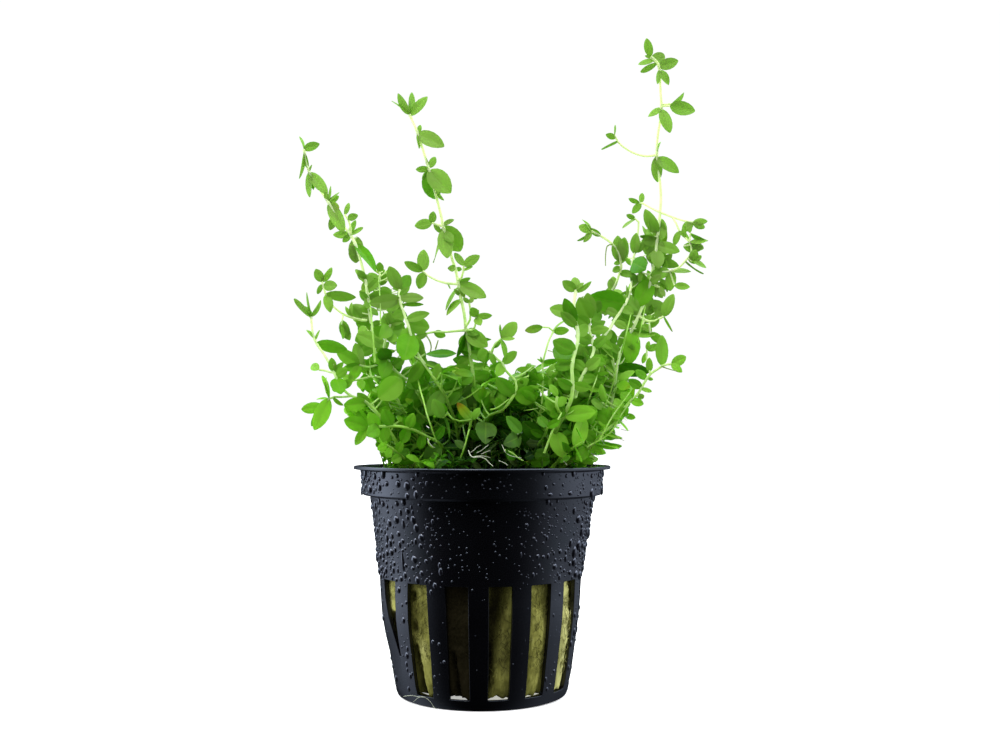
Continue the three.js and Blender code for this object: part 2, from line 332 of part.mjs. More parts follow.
// Bush stems: name, foot x and y, tip x, y and z, and a number that starts the leaves' variation
const BUSH_STEMS = [
  ["back_stem_left", -6, 8, -14, 18, 68, 11],
  ["back_stem_middle", 0, 8, -3, 22, 70, 23],
  ["back_stem_right", 7, 10, 13, 22, 68, 37],
  ["back_stem_far_left", -10, 11, -24, 20, 62, 41],
  ["back_stem_far_right", 11, 8, 27, 18, 66, 53],
  ["back_stem_low_left", -5, 14, -10, 29, 58, 67],
  ["back_stem_low_right", 6, 15, 12, 30, 58, 71],
  ["back_stem_low_middle", 1, 14, 2, 32, 55, 83],
  ["side_stem_left", -14, 4, -30, 9, 58, 97],
  ["side_stem_right", 15, 3, 31, 7, 58, 101],
  ["inner_stem_left", -5, 4, -6, 6, 66, 113],
  ["inner_stem_right", 3, 3, 6, 2, 67, 127],
  ["inner_stem_far_right", 10, 5, 20, 6, 68, 131],
  ["inner_stem_far_left", -11, 1, -14, 2, 60, 139],
  ["front_stem_middle", 4.6, -12.8, 7.5, -25, 55, 149],
  ["front_stem_left", -9, -12, -14, -26, 53, 157],
  ["front_stem_right", 11, -12, 22, -20, 54, 163],
];
const BUSH_STEM_RADIUS = 0.45;
const BUSH_PAIRS = 3;
const BUSH_LEAF_LENGTH = 5.6;
const BUSH_LEAF_SPREAD = 1.6;

const wasm = await Module();
wasm.setup();
const { Manifold, Mesh: SolidMesh } = wasm;

const group = new THREE.Group();
const placed = [];

function solidFrom(points, triangles) {
  const vertProperties = new Float32Array(points.length * 3);
  points.forEach((p, i) => vertProperties.set([p.x, p.y, p.z], i * 3));
  const triVerts = new Uint32Array(triangles.flat());
  return new Manifold(new SolidMesh({ numProp: 3, vertProperties, triVerts }));
}

function addNode(name, solid, colour, roughness) {
  const mesh = solid.getMesh();
  const geometry = new THREE.BufferGeometry();
  const positions = [];
  for (let i = 0; i < mesh.numVert; i += 1) {
    for (let k = 0; k < 3; k += 1) {
      positions.push(mesh.vertProperties[i * mesh.numProp + k]);
    }
  }
  geometry.setAttribute('position', new THREE.Float32BufferAttribute(positions, 3));
  geometry.setIndex(Array.from(mesh.triVerts));
  geometry.computeVertexNormals();
  const material = new THREE.MeshStandardMaterial({ color: colour, roughness, metalness: 0 });
  const node = new THREE.Mesh(geometry, material);
  node.name = name;
  group.add(node);
}

function aroundAxis(radius, height, degrees) {
  const angle = THREE.MathUtils.degToRad(degrees);
  return new THREE.Vector3(radius * Math.cos(angle), radius * Math.sin(angle), height);
}

// How far the edge of the pressed bar leans at a height, in degrees
function bentLean(height) {
  const marks = BENT_BAR_LEAN_DEG;
  for (let i = 0; i < marks.length - 1; i += 1) {
    const [low, leanLow] = marks[i];
    const [high, leanHigh] = marks[i + 1];
    if (height <= high) {
      return leanLow + ((leanHigh - leanLow) * Math.max(0, height - low)) / (high - low);
    }
  }
  return 0;
}

// How far the wall stands out at a bearing and height
function sideBulge(degrees, height) {
  if (height < BULGE_LOW || height > BULGE_HIGH) {
    return 0;
  }
  const off = ((((degrees - BULGE_BEARING + 180) % 360) + 360) % 360) - 180;
  return BULGE_RISE * Math.exp(-((off / BULGE_HALF_ANGLE) ** 2));
}

// The wall is one closed ring section swept round the axis, with a hole for each slot
function potWall() {
  const inner = (radius) => radius - WALL_THICKNESS;
  const slotOuter = SLOT_LEVELS;
  const slotInner = SLOT_LEVELS.map(([radius, height]) => [inner(radius), height]);
  const flangeUnder = POT_HEIGHT - FLANGE_THICKNESS;
  const section = [
    [FLANGE_RADIUS, POT_HEIGHT],
    [FLANGE_RADIUS, flangeUnder],
    [COLLAR_RADIUS, flangeUnder],
    [COLLAR_FOOT_RADIUS, COLLAR_FOOT_HEIGHT],
    [WALL_TOP_RADIUS, COLLAR_FOOT_HEIGHT],
    ...slotOuter,
    [18.2, 0.9],
    [17.3, 0],
    [BASE_RING_INNER_RADIUS, 0],
    [BASE_RING_INNER_RADIUS, BASE_THICKNESS],
    [16.9, 1.6],
    ...slotInner.toReversed(),
    [inner(WALL_TOP_RADIUS), COLLAR_FOOT_HEIGHT - 0.7],
    [inner(COLLAR_FOOT_RADIUS), COLLAR_FOOT_HEIGHT + 0.1],
    [inner(COLLAR_RADIUS), POT_HEIGHT],
  ];
  const firstOuter = 5;
  const lastOuter = firstOuter + slotOuter.length - 1;
  const firstInner = section.length - 3 - slotInner.length;
  const lastInner = firstInner + slotInner.length - 1;
  const pitch = 360 / BAR_COUNT;
  const columns = [];
  for (let bar = 0; bar < BAR_COUNT; bar += 1) {
    const centre = FIRST_BAR_DEG + bar * pitch;
    columns.push([centre - BAR_WIDTH_DEG / 2, BAR_BOWS_DEG[bar], 0]);
    columns.push([centre + BAR_WIDTH_DEG / 2, BAR_BOWS_DEG[bar], bar === BENT_BAR ? 1 : 0]);
  }
  const points = [];
  columns.forEach(([degrees, bow, lean]) => {
    section.forEach(([radius, height], level) => {
      const onOuter = level > firstOuter && level < lastOuter;
      const onInner = level > firstInner && level < lastInner;
      const bowed = bow * Math.sin((Math.PI * height) / 26) + lean * bentLean(height);
      const shift = onOuter || onInner ? bowed : 0;
      points.push(aroundAxis(radius + sideBulge(degrees, height), height, degrees + shift));
    });
  });
  const count = section.length;
  const at = (column, level) => (column % columns.length) * count + (level % count);
  const triangles = [];
  const quad = (a, b, c, d) => triangles.push([a, b, c], [a, c, d]);
  for (let column = 0; column < columns.length; column += 1) {
    const isSlot = column % 2 === 1;
    const slotBar = (Math.ceil(column / 2) - 1 + BAR_COUNT) % BAR_COUNT;
    const levels = slotBar === BENT_BAR ? BENT_SLOT_LEVELS : slotOuter.length - 1;
    const sillOuter = firstOuter + levels;
    const sillInner = lastInner - levels;
    for (let level = 0; level < count; level += 1) {
      const outerHole = level >= firstOuter && level < sillOuter;
      const innerHole = level >= sillInner && level < lastInner;
      if (isSlot && (outerHole || innerHole)) {
        continue;
      }
      quad(at(column, level), at(column, level + 1), at(column + 1, level + 1), at(column + 1, level));
    }
    if (isSlot) {
      const other = column + 1;
      quad(at(column, firstOuter), at(column, lastInner), at(other, lastInner), at(other, firstOuter));
      quad(at(column, sillInner), at(column, sillOuter), at(other, sillOuter), at(other, sillInner));
    }
    for (let step = 0; step < levels; step += 1) {
      const high = firstOuter + step;
      const innerHigh = lastInner - step;
      if (isSlot) {
        quad(at(column, high), at(column, high + 1), at(column, innerHigh - 1), at(column, innerHigh));
      }
      if (!isSlot) {
        quad(at(column, high), at(column, innerHigh), at(column, innerHigh - 1), at(column, high + 1));
      }
    }
  }
  return solidFrom(points, triangles);
}

function prism(outline, low, high) {
  const count = outline.length;
  const points = [...outline.map(([x, y]) => new THREE.Vector3(x, y, low)),
    ...outline.map(([x, y]) => new THREE.Vector3(x, y, high))];
  const triangles = [];
  for (let i = 0; i < count; i += 1) {
    const next = (i + 1) % count;
    triangles.push([i, next, count + next], [i, count + next, count + i]);
    if (i > 0 && i < count - 1) {
      triangles.push([0, i + 1, i], [count, count + i, count + i + 1]);
    }
  }
  return solidFrom(points, triangles);
}

function potBase() {
  const hub = [];
  for (let i = 0; i < 12; i += 1) {
    const p = aroundAxis(HUB_RADIUS, 0, i * 30);
    hub.push([p.x, p.y]);
  }
  let base = prism(hub, 0, BASE_THICKNESS);
  for (let i = 0; i < SPOKE_COUNT / 2; i += 1) {
    const half = SPOKE_WIDTH / 2;
    const reach = BASE_RING_INNER_RADIUS + 0.6;
    const flat = [[-reach, -half], [reach, -half], [reach, half], [-reach, half]];
    const turned = i === 0 ? flat : flat.map(([x, y]) => [-y, x]);
    base = base.add(prism(turned, 0, BASE_THICKNESS));
  }
  return base;
}

// The wool fills the pot down to a ragged edge, with a rolled core that reaches the hub
function woolPlug() {
  const floor = BASE_THICKNESS + 0.3;
  const rings = [
    [(i) => WALL_TOP_RADIUS - WALL_THICKNESS - WOOL_GAP - 0.3 - 0.3 * (i % 3), () => WOOL_TOP],
    [(i) => 22.2 - 0.25 * (i % 2), () => 40],
    [(i) => 20.35 - WOOL_GAP - 0.3 * (i % 2), () => 25],
    [(i) => 20.2 - WOOL_GAP - 0.3 * ((i + 1) % 3), () => 17],
    [(i) => 18.8 - WOOL_GAP - 0.4 * (i % 2), () => 9.8],
    [(i) => 17.4 - 0.5 * ((i * 5) % 3), (i) => WOOL_LOW_EDGE + 0.6 * ((i * 7) % 5) - 1.2],
    [() => 11, (i) => WOOL_LOW_EDGE + 0.3 * (i % 3)],
    [() => WOOL_FOOT_RADIUS + 1.2, () => WOOL_LOW_EDGE],
    [() => WOOL_FOOT_RADIUS, () => floor],
  ];
  const points = [new THREE.Vector3(0, 0, WOOL_TOP)];
  rings.forEach(([radius, height]) => {
    for (let i = 0; i < WOOL_SIDES; i += 1) {
      points.push(aroundAxis(radius(i), height(i), (i * 360) / WOOL_SIDES));
    }
  });
  points.push(new THREE.Vector3(0, 0, floor));
  const last = points.length - 1;
  const at = (ring, i) => 1 + ring * WOOL_SIDES + (i % WOOL_SIDES);
  const triangles = [];
  for (let i = 0; i < WOOL_SIDES; i += 1) {
    triangles.push([0, at(0, i), at(0, i + 1)]);
    triangles.push([last, at(rings.length - 1, i + 1), at(rings.length - 1, i)]);
    for (let ring = 0; ring < rings.length - 1; ring += 1) {
      triangles.push([at(ring, i), at(ring + 1, i), at(ring + 1, i + 1)]);
      triangles.push([at(ring, i), at(ring + 1, i + 1), at(ring, i + 1)]);
    }
  }
  return solidFrom(points, triangles);
}

// A plant point from across, up and depth as seen from the point in front
function spot(across, up, depth) {
  const grow = 1 + depth / EYE_DISTANCE;
  return new THREE.Vector3(across * grow, depth, EYE_HEIGHT + (up - EYE_HEIGHT) * grow);
}

// Leave out the points of a route that lie close to a straight line
function simplify(route, tolerance) {
  if (route.length < 3) {
    return route;
  }
  const line = new THREE.Line3(route[0], route[route.length - 1]);
  let worst = 0;
  let index = 0;
  route.forEach((p, i) => {
    const gap = line.closestPointToPoint(p, true, new THREE.Vector3()).distanceTo(p);
    if (gap > worst) {
      worst = gap;
      index = i;
    }
  });
  if (worst < tolerance) {
    return [route[0], route[route.length - 1]];
  }
  const before = simplify(route.slice(0, index + 1), tolerance);
  return [...before.slice(0, -1), ...simplify(route.slice(index), tolerance)];
}

// A tube with flat sides that narrows a little towards its tip
function tube(route, radius, sides, taper) {
  const points = [];
  const triangles = [];
  let side = new THREE.Vector3(0, 1, 0);
  route.forEach((p, i) => {
    const before = route[Math.max(0, i - 1)];
    const after = route[Math.min(route.length - 1, i + 1)];
    const standing = i === 0 && p.z < WOOL_TOP + 1;
    const along = standing ? new THREE.Vector3(0, 0, 1) : after.clone().sub(before).normalize();
    side = side.clone().addScaledVector(along, -side.dot(along)).normalize();
    const other = along.clone().cross(side);
    const size = radius * (1 - (taper * i) / (route.length - 1));
    const end = i === route.length - 1 ? TIP_OVERRUN : 0;
    for (let k = 0; k < sides; k += 1) {
      const turn = (2 * Math.PI * k) / sides;
      points.push(p.clone()
        .addScaledVector(along, end)
        .addScaledVector(side, size * Math.cos(turn))
        .addScaledVector(other, size * Math.sin(turn)));
    }
  });
  for (let i = 0; i < route.length - 1; i += 1) {
    for (let k = 0; k < sides; k += 1) {
      const a = i * sides + k;
      const b = i * sides + ((k + 1) % sides);
      triangles.push([a, b, b + sides], [a, b + sides, a + sides]);
    }
  }
  const end = (route.length - 1) * sides;
  for (let k = 1; k < sides - 1; k += 1) {
    triangles.push([0, k + 1, k], [end, end + k, end + k + 1]);
  }
  return solidFrom(points, triangles);
}

// A leaf has a flat underside, a ridge point on top and a sharp edge
function leafSolid(root, base, tip, width, normal, grown) {
  const along = tip.clone().sub(base);
  const length = along.length();
  along.normalize();
  const across = normal.clone().cross(along).normalize();
  const end = length + grown;
  const half = width / 2 + grown;
  const place = (u, v, n) => base.clone()
    .addScaledVector(along, u * end)
    .addScaledVector(across, v * half)
    .addScaledVector(normal, n);
  const under = -LEAF_THICKNESS / 2 - grown;
  const rim = length < LARGE_LEAF_LENGTH || width < LARGE_LEAF_WIDTH
    ? [root, place(0.5, 1, under), place(1, 0, under), place(0.5, -1, under)]
    : [root, place(0.32, 0.98, under), place(0.76, 0.82, under), place(1, 0, under),
      place(0.76, -0.82, under), place(0.32, -0.98, under)];
  const points = [...rim, place(0.5, 0, LEAF_THICKNESS / 2 + grown)];
  const count = rim.length;
  const triangles = [];
  for (let i = 0; i < count; i += 1) {
    triangles.push([count, i, (i + 1) % count]);
    if (i > 0 && i < count - 1) {
      triangles.push([0, i + 1, i]);
    }
  }
  const solid = solidFrom(points, triangles);
  return solid.volume() < 0
    ? solidFrom(points, triangles.map(([a, b, c]) => [a, c, b]))
    : solid;
}

function boxesMeet(a, b) {
  return [0, 1, 2].every((k) => a.min[k] <= b.max[k] && b.min[k] <= a.max[k]);
}

function isClear(name, solid) {
  const box = solid.boundingBox();
  return placed.every((other) => other.name === name
    || !boxesMeet(box, other.box)
    || other.solid.intersect(solid).isEmpty());
}

function keep(name, solid) {
  placed.push({ name, solid, box: solid.boundingBox() });
}

// The nearest point to p on the middle line of a stem's built tubes
function onTubes(routes, p) {
  let best = null;
  routes.forEach((route) => {
    for (let i = 0; i < route.length - 1; i += 1) {
      const near = new THREE.Line3(route[i], route[i + 1]).closestPointToPoint(p, true, new THREE.Vector3());
      if (best === null || near.distanceTo(p) < best.distanceTo(p)) {
        best = near;
      }
    }
  });
  return best;
}

// The nearest point of a stem's runs to a seen place, and its depth
function nearestOnRuns(runs, across, up) {
  let best = null;
  runs.forEach((run) => {
    for (let i = 0; i < run.length - 1; i += 1) {
      const [x0, z0, d0] = run[i];
      const [x1, z1, d1] = run[i + 1];
      const span = (x1 - x0) ** 2 + (z1 - z0) ** 2;
      const t = THREE.MathUtils.clamp(((across - x0) * (x1 - x0) + (up - z0) * (z1 - z0)) / span, 0, 1);
      const x = x0 + t * (x1 - x0);
      const z = z0 + t * (z1 - z0);
      const gap = Math.hypot(across - x, up - z);
      if (best === null || gap < best.gap) {
        best = { gap, x, z, depth: d0 + t * (d1 - d0) };
      }
    }
  });
  return best;
}

// How far a leaf leans towards or away from the front, and how far it is rolled
function leafPose(seenLength, seenWidth, side) {
  if (seenWidth > FULL_LEAF_RATIO * seenLength) {
    const length = seenWidth / FULL_LEAF_RATIO;
    return { lean: side * Math.sqrt(length ** 2 - seenLength ** 2), width: seenWidth, roll: 0.15 * side };
  }
  if (seenWidth < NARROW_LEAF_RATIO * seenLength) {
    const width = Math.max(seenWidth, Math.min(NATURAL_LEAF_RATIO * seenLength, seenWidth * 2.2));
    return { lean: 0.12 * side * seenLength, width, roll: side * Math.acos(seenWidth / width) };
  }
  return { lean: 0.28 * side * seenLength, width: seenWidth, roll: 0.2 * side };
}

function leafNormal(base, tip, roll) {
  const along = tip.clone().sub(base).normalize();
  const toEye = new THREE.Vector3(0, -EYE_DISTANCE, EYE_HEIGHT).sub(base).normalize();
  const facing = toEye.addScaledVector(along, -toEye.dot(along)).normalize();
  return facing.applyAxisAngle(along, roll);
}

// A leaf that would touch another stem's growth is swung nearer or farther, or else left out
const LEAN_STEPS = [0, 2, -2, 4, -4, 6];

function tracedLeaf(name, runs, routes, leaf, index) {
  const [baseAcross, baseUp, tipAcross, tipUp, seenWidth] = leaf;
  const near = nearestOnRuns(runs, baseAcross, baseUp);
  const side = index % 2 === 0 ? -1 : 1;
  const seenLength = Math.hypot(tipAcross - baseAcross, tipUp - baseUp);
  const pose = leafPose(seenLength, seenWidth, side);
  const root = onTubes(routes, spot(near.x, near.z, near.depth));
  const base = near.gap > 0.8 ? spot(baseAcross, baseUp, near.depth + pose.lean * 0.2) : root;
  const scale = 1 + near.depth / EYE_DISTANCE;
  for (const step of LEAN_STEPS) {
    const tip = spot(tipAcross, tipUp, near.depth + pose.lean + step);
    const normal = leafNormal(base, tip, pose.roll);
    const width = pose.width * scale;
    if (isClear(name, leafSolid(root, base, tip, width, normal, CLEARANCE))) {
      return leafSolid(root, base, tip, width, normal, 0);
    }
  }
  return null;
}

// A repeatable run of fractions from one starting number
function fractions(start) {
  let state = start * 7919 + 1;
  return () => {
    state = (state * 16807) % 2147483647;
    return state / 2147483647;
  };
}

function bushRoute([, footX, footY, tipX, tipY, tipZ]) {
  const foot = new THREE.Vector3(footX, footY, WOOL_TOP + FOOT_GAP);
  const tip = new THREE.Vector3(tipX, tipY, tipZ);
  const rise = new THREE.Vector3(footX * 0.6 + tipX * 0.4, footY * 0.6 + tipY * 0.4, 46 + (tipZ - 46) * 0.7);
  const bend = new THREE.QuadraticBezierCurve3(foot, rise, tip);
  return bend.getPoints(BUSH_PAIRS + 1);
}

// Opposite pairs of leaves, each pair turned a quarter from the last
function bushLeaves(stem, route) {
  const next = fractions(stem[6]);
  const leaves = [];
  for (let pair = 0; pair < BUSH_PAIRS; pair += 1) {
    const at = route[pair + 2] ?? route[route.length - 1];
    const along = at.clone().sub(route[Math.min(pair + 1, route.length - 2)]).normalize();
    const flat = new THREE.Vector3(0, 0, 1).cross(along).normalize();
    const turn = (pair * Math.PI) / 2 + next() * 0.8;
    for (let k = 0; k < 2; k += 1) {
      const out = flat.clone().applyAxisAngle(along, turn + k * Math.PI + (next() - 0.5) * 0.5);
      const length = BUSH_LEAF_LENGTH + (next() - 0.5) * 2 * BUSH_LEAF_SPREAD;
      const climb = 0.25 + 0.5 * next();
      const tip = at.clone().addScaledVector(out, length * 0.9).addScaledVector(along, length * climb);
      const normal = along.clone().addScaledVector(out, -climb).normalize();
      const leafAlong = tip.clone().sub(at).normalize();
      normal.addScaledVector(leafAlong, -normal.dot(leafAlong)).normalize();
      leaves.push({ at, tip, width: length * 0.42, normal });
    }
  }
  return leaves;
}

const LEAF_GREEN = 0x6da32c;
const nodes = [];

STEMS.forEach(([name, radius, runs]) => {
  let solid = null;
  const routes = [];
  runs.forEach((run, index) => {
    const route = simplify(run.map(([x, z, d]) => spot(x, z, d)), ROUTE_TOLERANCE);
    if (index > 0) {
      route[0] = onTubes(routes, route[0]);
    }
    if (route[0].z < WOOL_TOP + 1) {
      route[0].z = WOOL_TOP + FOOT_GAP;
    }
    routes.push(route);
    const size = index === 0 ? radius : radius * SIDE_SHOOT_SCALE;
    const sides = index === 0 && radius >= 0.5 ? 4 : 3;
    const piece = tube(route, size, sides, 0.25);
    keep(name, piece);
    solid = solid === null ? piece : solid.add(piece);
  });
  nodes.push({ name, solid, routes });
});

BUSH_STEMS.forEach((stem) => {
  const piece = tube(bushRoute(stem), BUSH_STEM_RADIUS, 3, 0.2);
  keep(stem[0], piece);
  nodes.push({ name: stem[0], solid: piece });
});

STEMS.forEach(([name, , runs, leaves]) => {
  const node = nodes.find((entry) => entry.name === name);
  leaves.forEach((leaf, index) => {
    const [baseAcross, baseUp, tipAcross, tipUp, seenWidth] = leaf;
    const seenLength = Math.hypot(tipAcross - baseAcross, tipUp - baseUp);
    if (seenLength * seenWidth < SMALLEST_LEAF_AREA) {
      return;
    }
    const piece = tracedLeaf(name, runs, node.routes, leaf, index);
    if (piece !== null) {
      keep(name, piece);
      node.solid = node.solid.add(piece);
    }
  });
});

BUSH_STEMS.forEach((stem) => {
  const node = nodes.find((entry) => entry.name === stem[0]);
  bushLeaves(stem, bushRoute(stem)).forEach(({ at, tip, width, normal }) => {
    const padded = leafSolid(at, at, tip, width, normal, CLEARANCE);
    const lowest = Math.min(tip.z, at.z) - width / 2;
    if (lowest > POT_HEIGHT + 0.3 && isClear(stem[0], padded)) {
      const piece = leafSolid(at, at, tip, width, normal, 0);
      keep(stem[0], piece);
      node.solid = node.solid.add(piece);
    }
  });
});

addNode("net_pot", potWall().add(potBase()), 0x121315, 0.25);
addNode("rockwool", woolPlug(), 0x5b5a2c, 0.95);
nodes.forEach(({ name, solid }) => addNode(name, solid, LEAF_GREEN, 0.45));

export default group;
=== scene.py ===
"""A potted pearlweed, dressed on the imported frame: net pot, mineral wool, stems, leaves and roots."""

import math
import random

import bpy
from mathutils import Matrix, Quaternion, Vector, noise

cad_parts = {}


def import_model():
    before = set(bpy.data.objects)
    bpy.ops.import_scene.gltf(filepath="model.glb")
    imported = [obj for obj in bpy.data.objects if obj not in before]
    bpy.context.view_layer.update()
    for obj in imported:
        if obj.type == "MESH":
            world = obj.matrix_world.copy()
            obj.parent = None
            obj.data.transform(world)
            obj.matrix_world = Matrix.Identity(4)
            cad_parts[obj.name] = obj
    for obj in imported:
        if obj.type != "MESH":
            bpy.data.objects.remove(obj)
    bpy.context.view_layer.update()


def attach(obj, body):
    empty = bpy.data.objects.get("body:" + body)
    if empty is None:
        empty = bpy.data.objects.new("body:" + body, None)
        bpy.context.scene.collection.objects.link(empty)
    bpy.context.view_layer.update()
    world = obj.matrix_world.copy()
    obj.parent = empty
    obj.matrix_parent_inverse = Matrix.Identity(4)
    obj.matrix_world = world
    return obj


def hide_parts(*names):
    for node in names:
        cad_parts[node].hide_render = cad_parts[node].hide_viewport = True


MM = 0.001

# Pot, in millimetres, as in the solids
POT_HEIGHT = 48.0
FLANGE_RADIUS = 27.5
FLANGE_THICKNESS = 0.7
COLLAR_RADIUS = 25.8
COLLAR_FOOT_RADIUS = 25.6
COLLAR_FOOT_HEIGHT = 41.9
COLLAR_MIDDLE = (25.7, 44.5)
WALL_TOP_RADIUS = 23.95
WALL_MIDDLE = (22.6, 33.5)
WALL_THICKNESS = 0.85
BAR_COUNT = 15
BAR_WIDTH_DEG = 11.0
FIRST_BAR_DEG = -92.0
BAR_PITCH = 360 / BAR_COUNT
BAR_COLUMNS = 4
SLOT_COLUMNS = 5
SLOT_HEIGHTS = (2.0, 25.2)
BOW_HEIGHT = 26
SLOT_LEVELS = [
    (21.2, 24.8), (21.0, 21.0), (20.7, 17.0), (20.2, 13.0), (19.7, 9.5), (19.3, 6.6), (18.9, 4.0),
    (18.5, 2.3),
]

# How far each bar bows sideways, in degrees, and how far the bent one leans by height
BAR_BOWS_DEG = [0, 0, 0, 0.4, 0, 0, -0.5, 0, 0.3, 0, 0, 0.6, 1.4, -1.2, 0.5]
BENT_BAR = 12
BENT_BAR_LEAN = [(2, 9.6), (9.5, 9.6), (13, 7.6), (17, 3.1), (21, 0), (60, 0)]
BENT_SLOT_STEPS = 4

# Where the pot is pressed out of round: bearing, half angle and rise, then its share by height
SIDE_BULGE = (-168, 24, 0.75)
BULGE_SHARES = [(8, 0), (15, 1), (26, 1), (38, 0), (60, 0)]

# Roundings of the flange and the collar, and the steps between collar and wall
FLANGE_ROUNDING = 0.15
FLANGE_UNDER_ROUNDING = 0.12
COLLAR_FILLET = 0.25
COLLAR_FOOT_ROUNDING = 0.2
SHOULDER_FILLET = 0.3

# Points of the wall's section that face outwards, from the collar to the base
OUTWARD_POINTS = slice(5, 24)

# Base, with the outer and the inner edge of its ring as radius and height
BASE_OUTER_EDGE = [(18.2, 0.9), (17.9, 0.25), (17.3, 0)]
BASE_INNER_EDGE = (16.9, 1.6)
BASE_RING_INNER_RADIUS = 14.0
BASE_THICKNESS = 1.3
HUB_RADIUS = 4.5
SPOKE_WIDTH = 2.2
SPOKE_INTO_RING = 0.6
SPOKE_INTO_HUB = 0.4
SPOKE_INSET = 0.05
EDGE_ROUNDING = 0.12
HUB_SIDES = 40

# Mineral wool
WOOL_TOP = 44.0
WOOL_FOOT_RADIUS = 3.6
WOOL_LOW_EDGE = 5.6
WOOL_SKIRT_DROP = 2.7
WOOL_NOTCH = (-132.5, 2.8, 3.2)
WOOL_COLUMNS = 300

# Plant points are written as seen from a point in front of the pot:
# across and up in the upright plane through the pot's axis, then depth behind it
EYE_DISTANCE = 240.0
EYE_HEIGHT = 54.1

# Leaves: how they are seen, and the arch, cup and wave of a blade as shares of its length or width
LEAF_THICKNESS = 0.14
FULL_LEAF_RATIO = 0.55
NARROW_LEAF_RATIO = 0.36
NATURAL_LEAF_RATIO = 0.4
MOST_WIDENING = 2.2
TRACED_WIDENING = 1.15
LEAF_ARCH = (-0.03, 0.1)
LEAF_CUP = (-0.03, 0.13)
LEAF_WAVE = (-0.03, 0.03)
WAVES_IN_LEAF = 5
CREASE_DEPTH = 0.045
CREASE_HALF_WIDTH = 0.3
EDGE_THINNING = 0.6
BLADE_FOOT_WIDTH = 0.12
BLADE_TIP_WIDTH = 0.06

LEAF_SHARPNESS = (1.15, 0.2)
LEAF_FULLNESS = (1.1, 0.16)
WIDE_LEAF_ROLL = 0.15
NARROW_LEAF_LEAN = 0.12
PLAIN_LEAF_LEAN = 0.28
PLAIN_LEAF_ROLL = 0.2

# How finely blades are drawn across
FINE_COLUMNS = (-1, -0.6, -0.2, 0, 0.2, 0.6, 1)
PLAIN_COLUMNS = (-1, -0.45, 0, 0.45, 1)

# Stems: the traced ones, with the swelling at each joint and the stalks of leaves that stand off
SIDE_SHOOT_SCALE = 0.72
STEM_ROUND_SCALE = 0.74
STEM_TAPER = 0.3
STEM_STEP = 1.1
STEM_SIDES = 8
JOINT_SWELL = 0.22
JOINT_REACH = 0.7
STALK_GAP = 0.8
STALK_RADIUS = 0.2
STALK_SIDES = 6
STALK_LEAN = 0.2
FOOT_DEPTH = 1.2
TUBE_SEAM = Vector((0.02, 1, 0.01))

# Tones: brightness, browning and paleness, each from 0 to 1
PLAIN_TONE = (0.5, 0, 0)
# Painted light: leaves and stems are drawn lighter higher up and towards the sides of the growth
OPEN_HEIGHT = 56
OPEN_HEIGHT_SPAN = 18
OPEN_SIDE = 11
OPEN_SIDE_SPAN = 13
OPEN_LIGHT = 0.44
TRACED_OPEN_LIGHT = 0.28
# Painted shade: leaves deep inside the growth and low down are drawn darker
DEEP_REACH = 26
DEEP_HEIGHT = 70
DEEP_HEIGHT_SPAN = 16
DEEP_SHADE = 0.36
HOLLOW_BACK = 8
LEAF_BRIGHTNESS = (0.34, 0.68)
LEAST_BRIGHTNESS = 0.02
BROWNED_SHARE = 0.08
BROWNING = (0, 0.22)
PALED_SHARE = 0.14
PALENESS = (0.1, 0.3)
PALE_HEIGHT = 60
PALE_HEIGHT_SPAN = 24
TOP_PALENESS = 0.6
TRACED_TOP_PALENESS = 0.5
TONE_SPREAD = 0.04
TONE_REACH = 1.6
# Stems: painted light higher up and towards the sides, painted shade in the hollows
STEM_BRIGHTNESS = 0.36
STEM_MIDDLE_HEIGHT = 58
STEM_LIGHT_SPAN = 52
STEM_SIDE_LIGHT = 0.2
STEM_HOLLOW_SHADE = 0.8

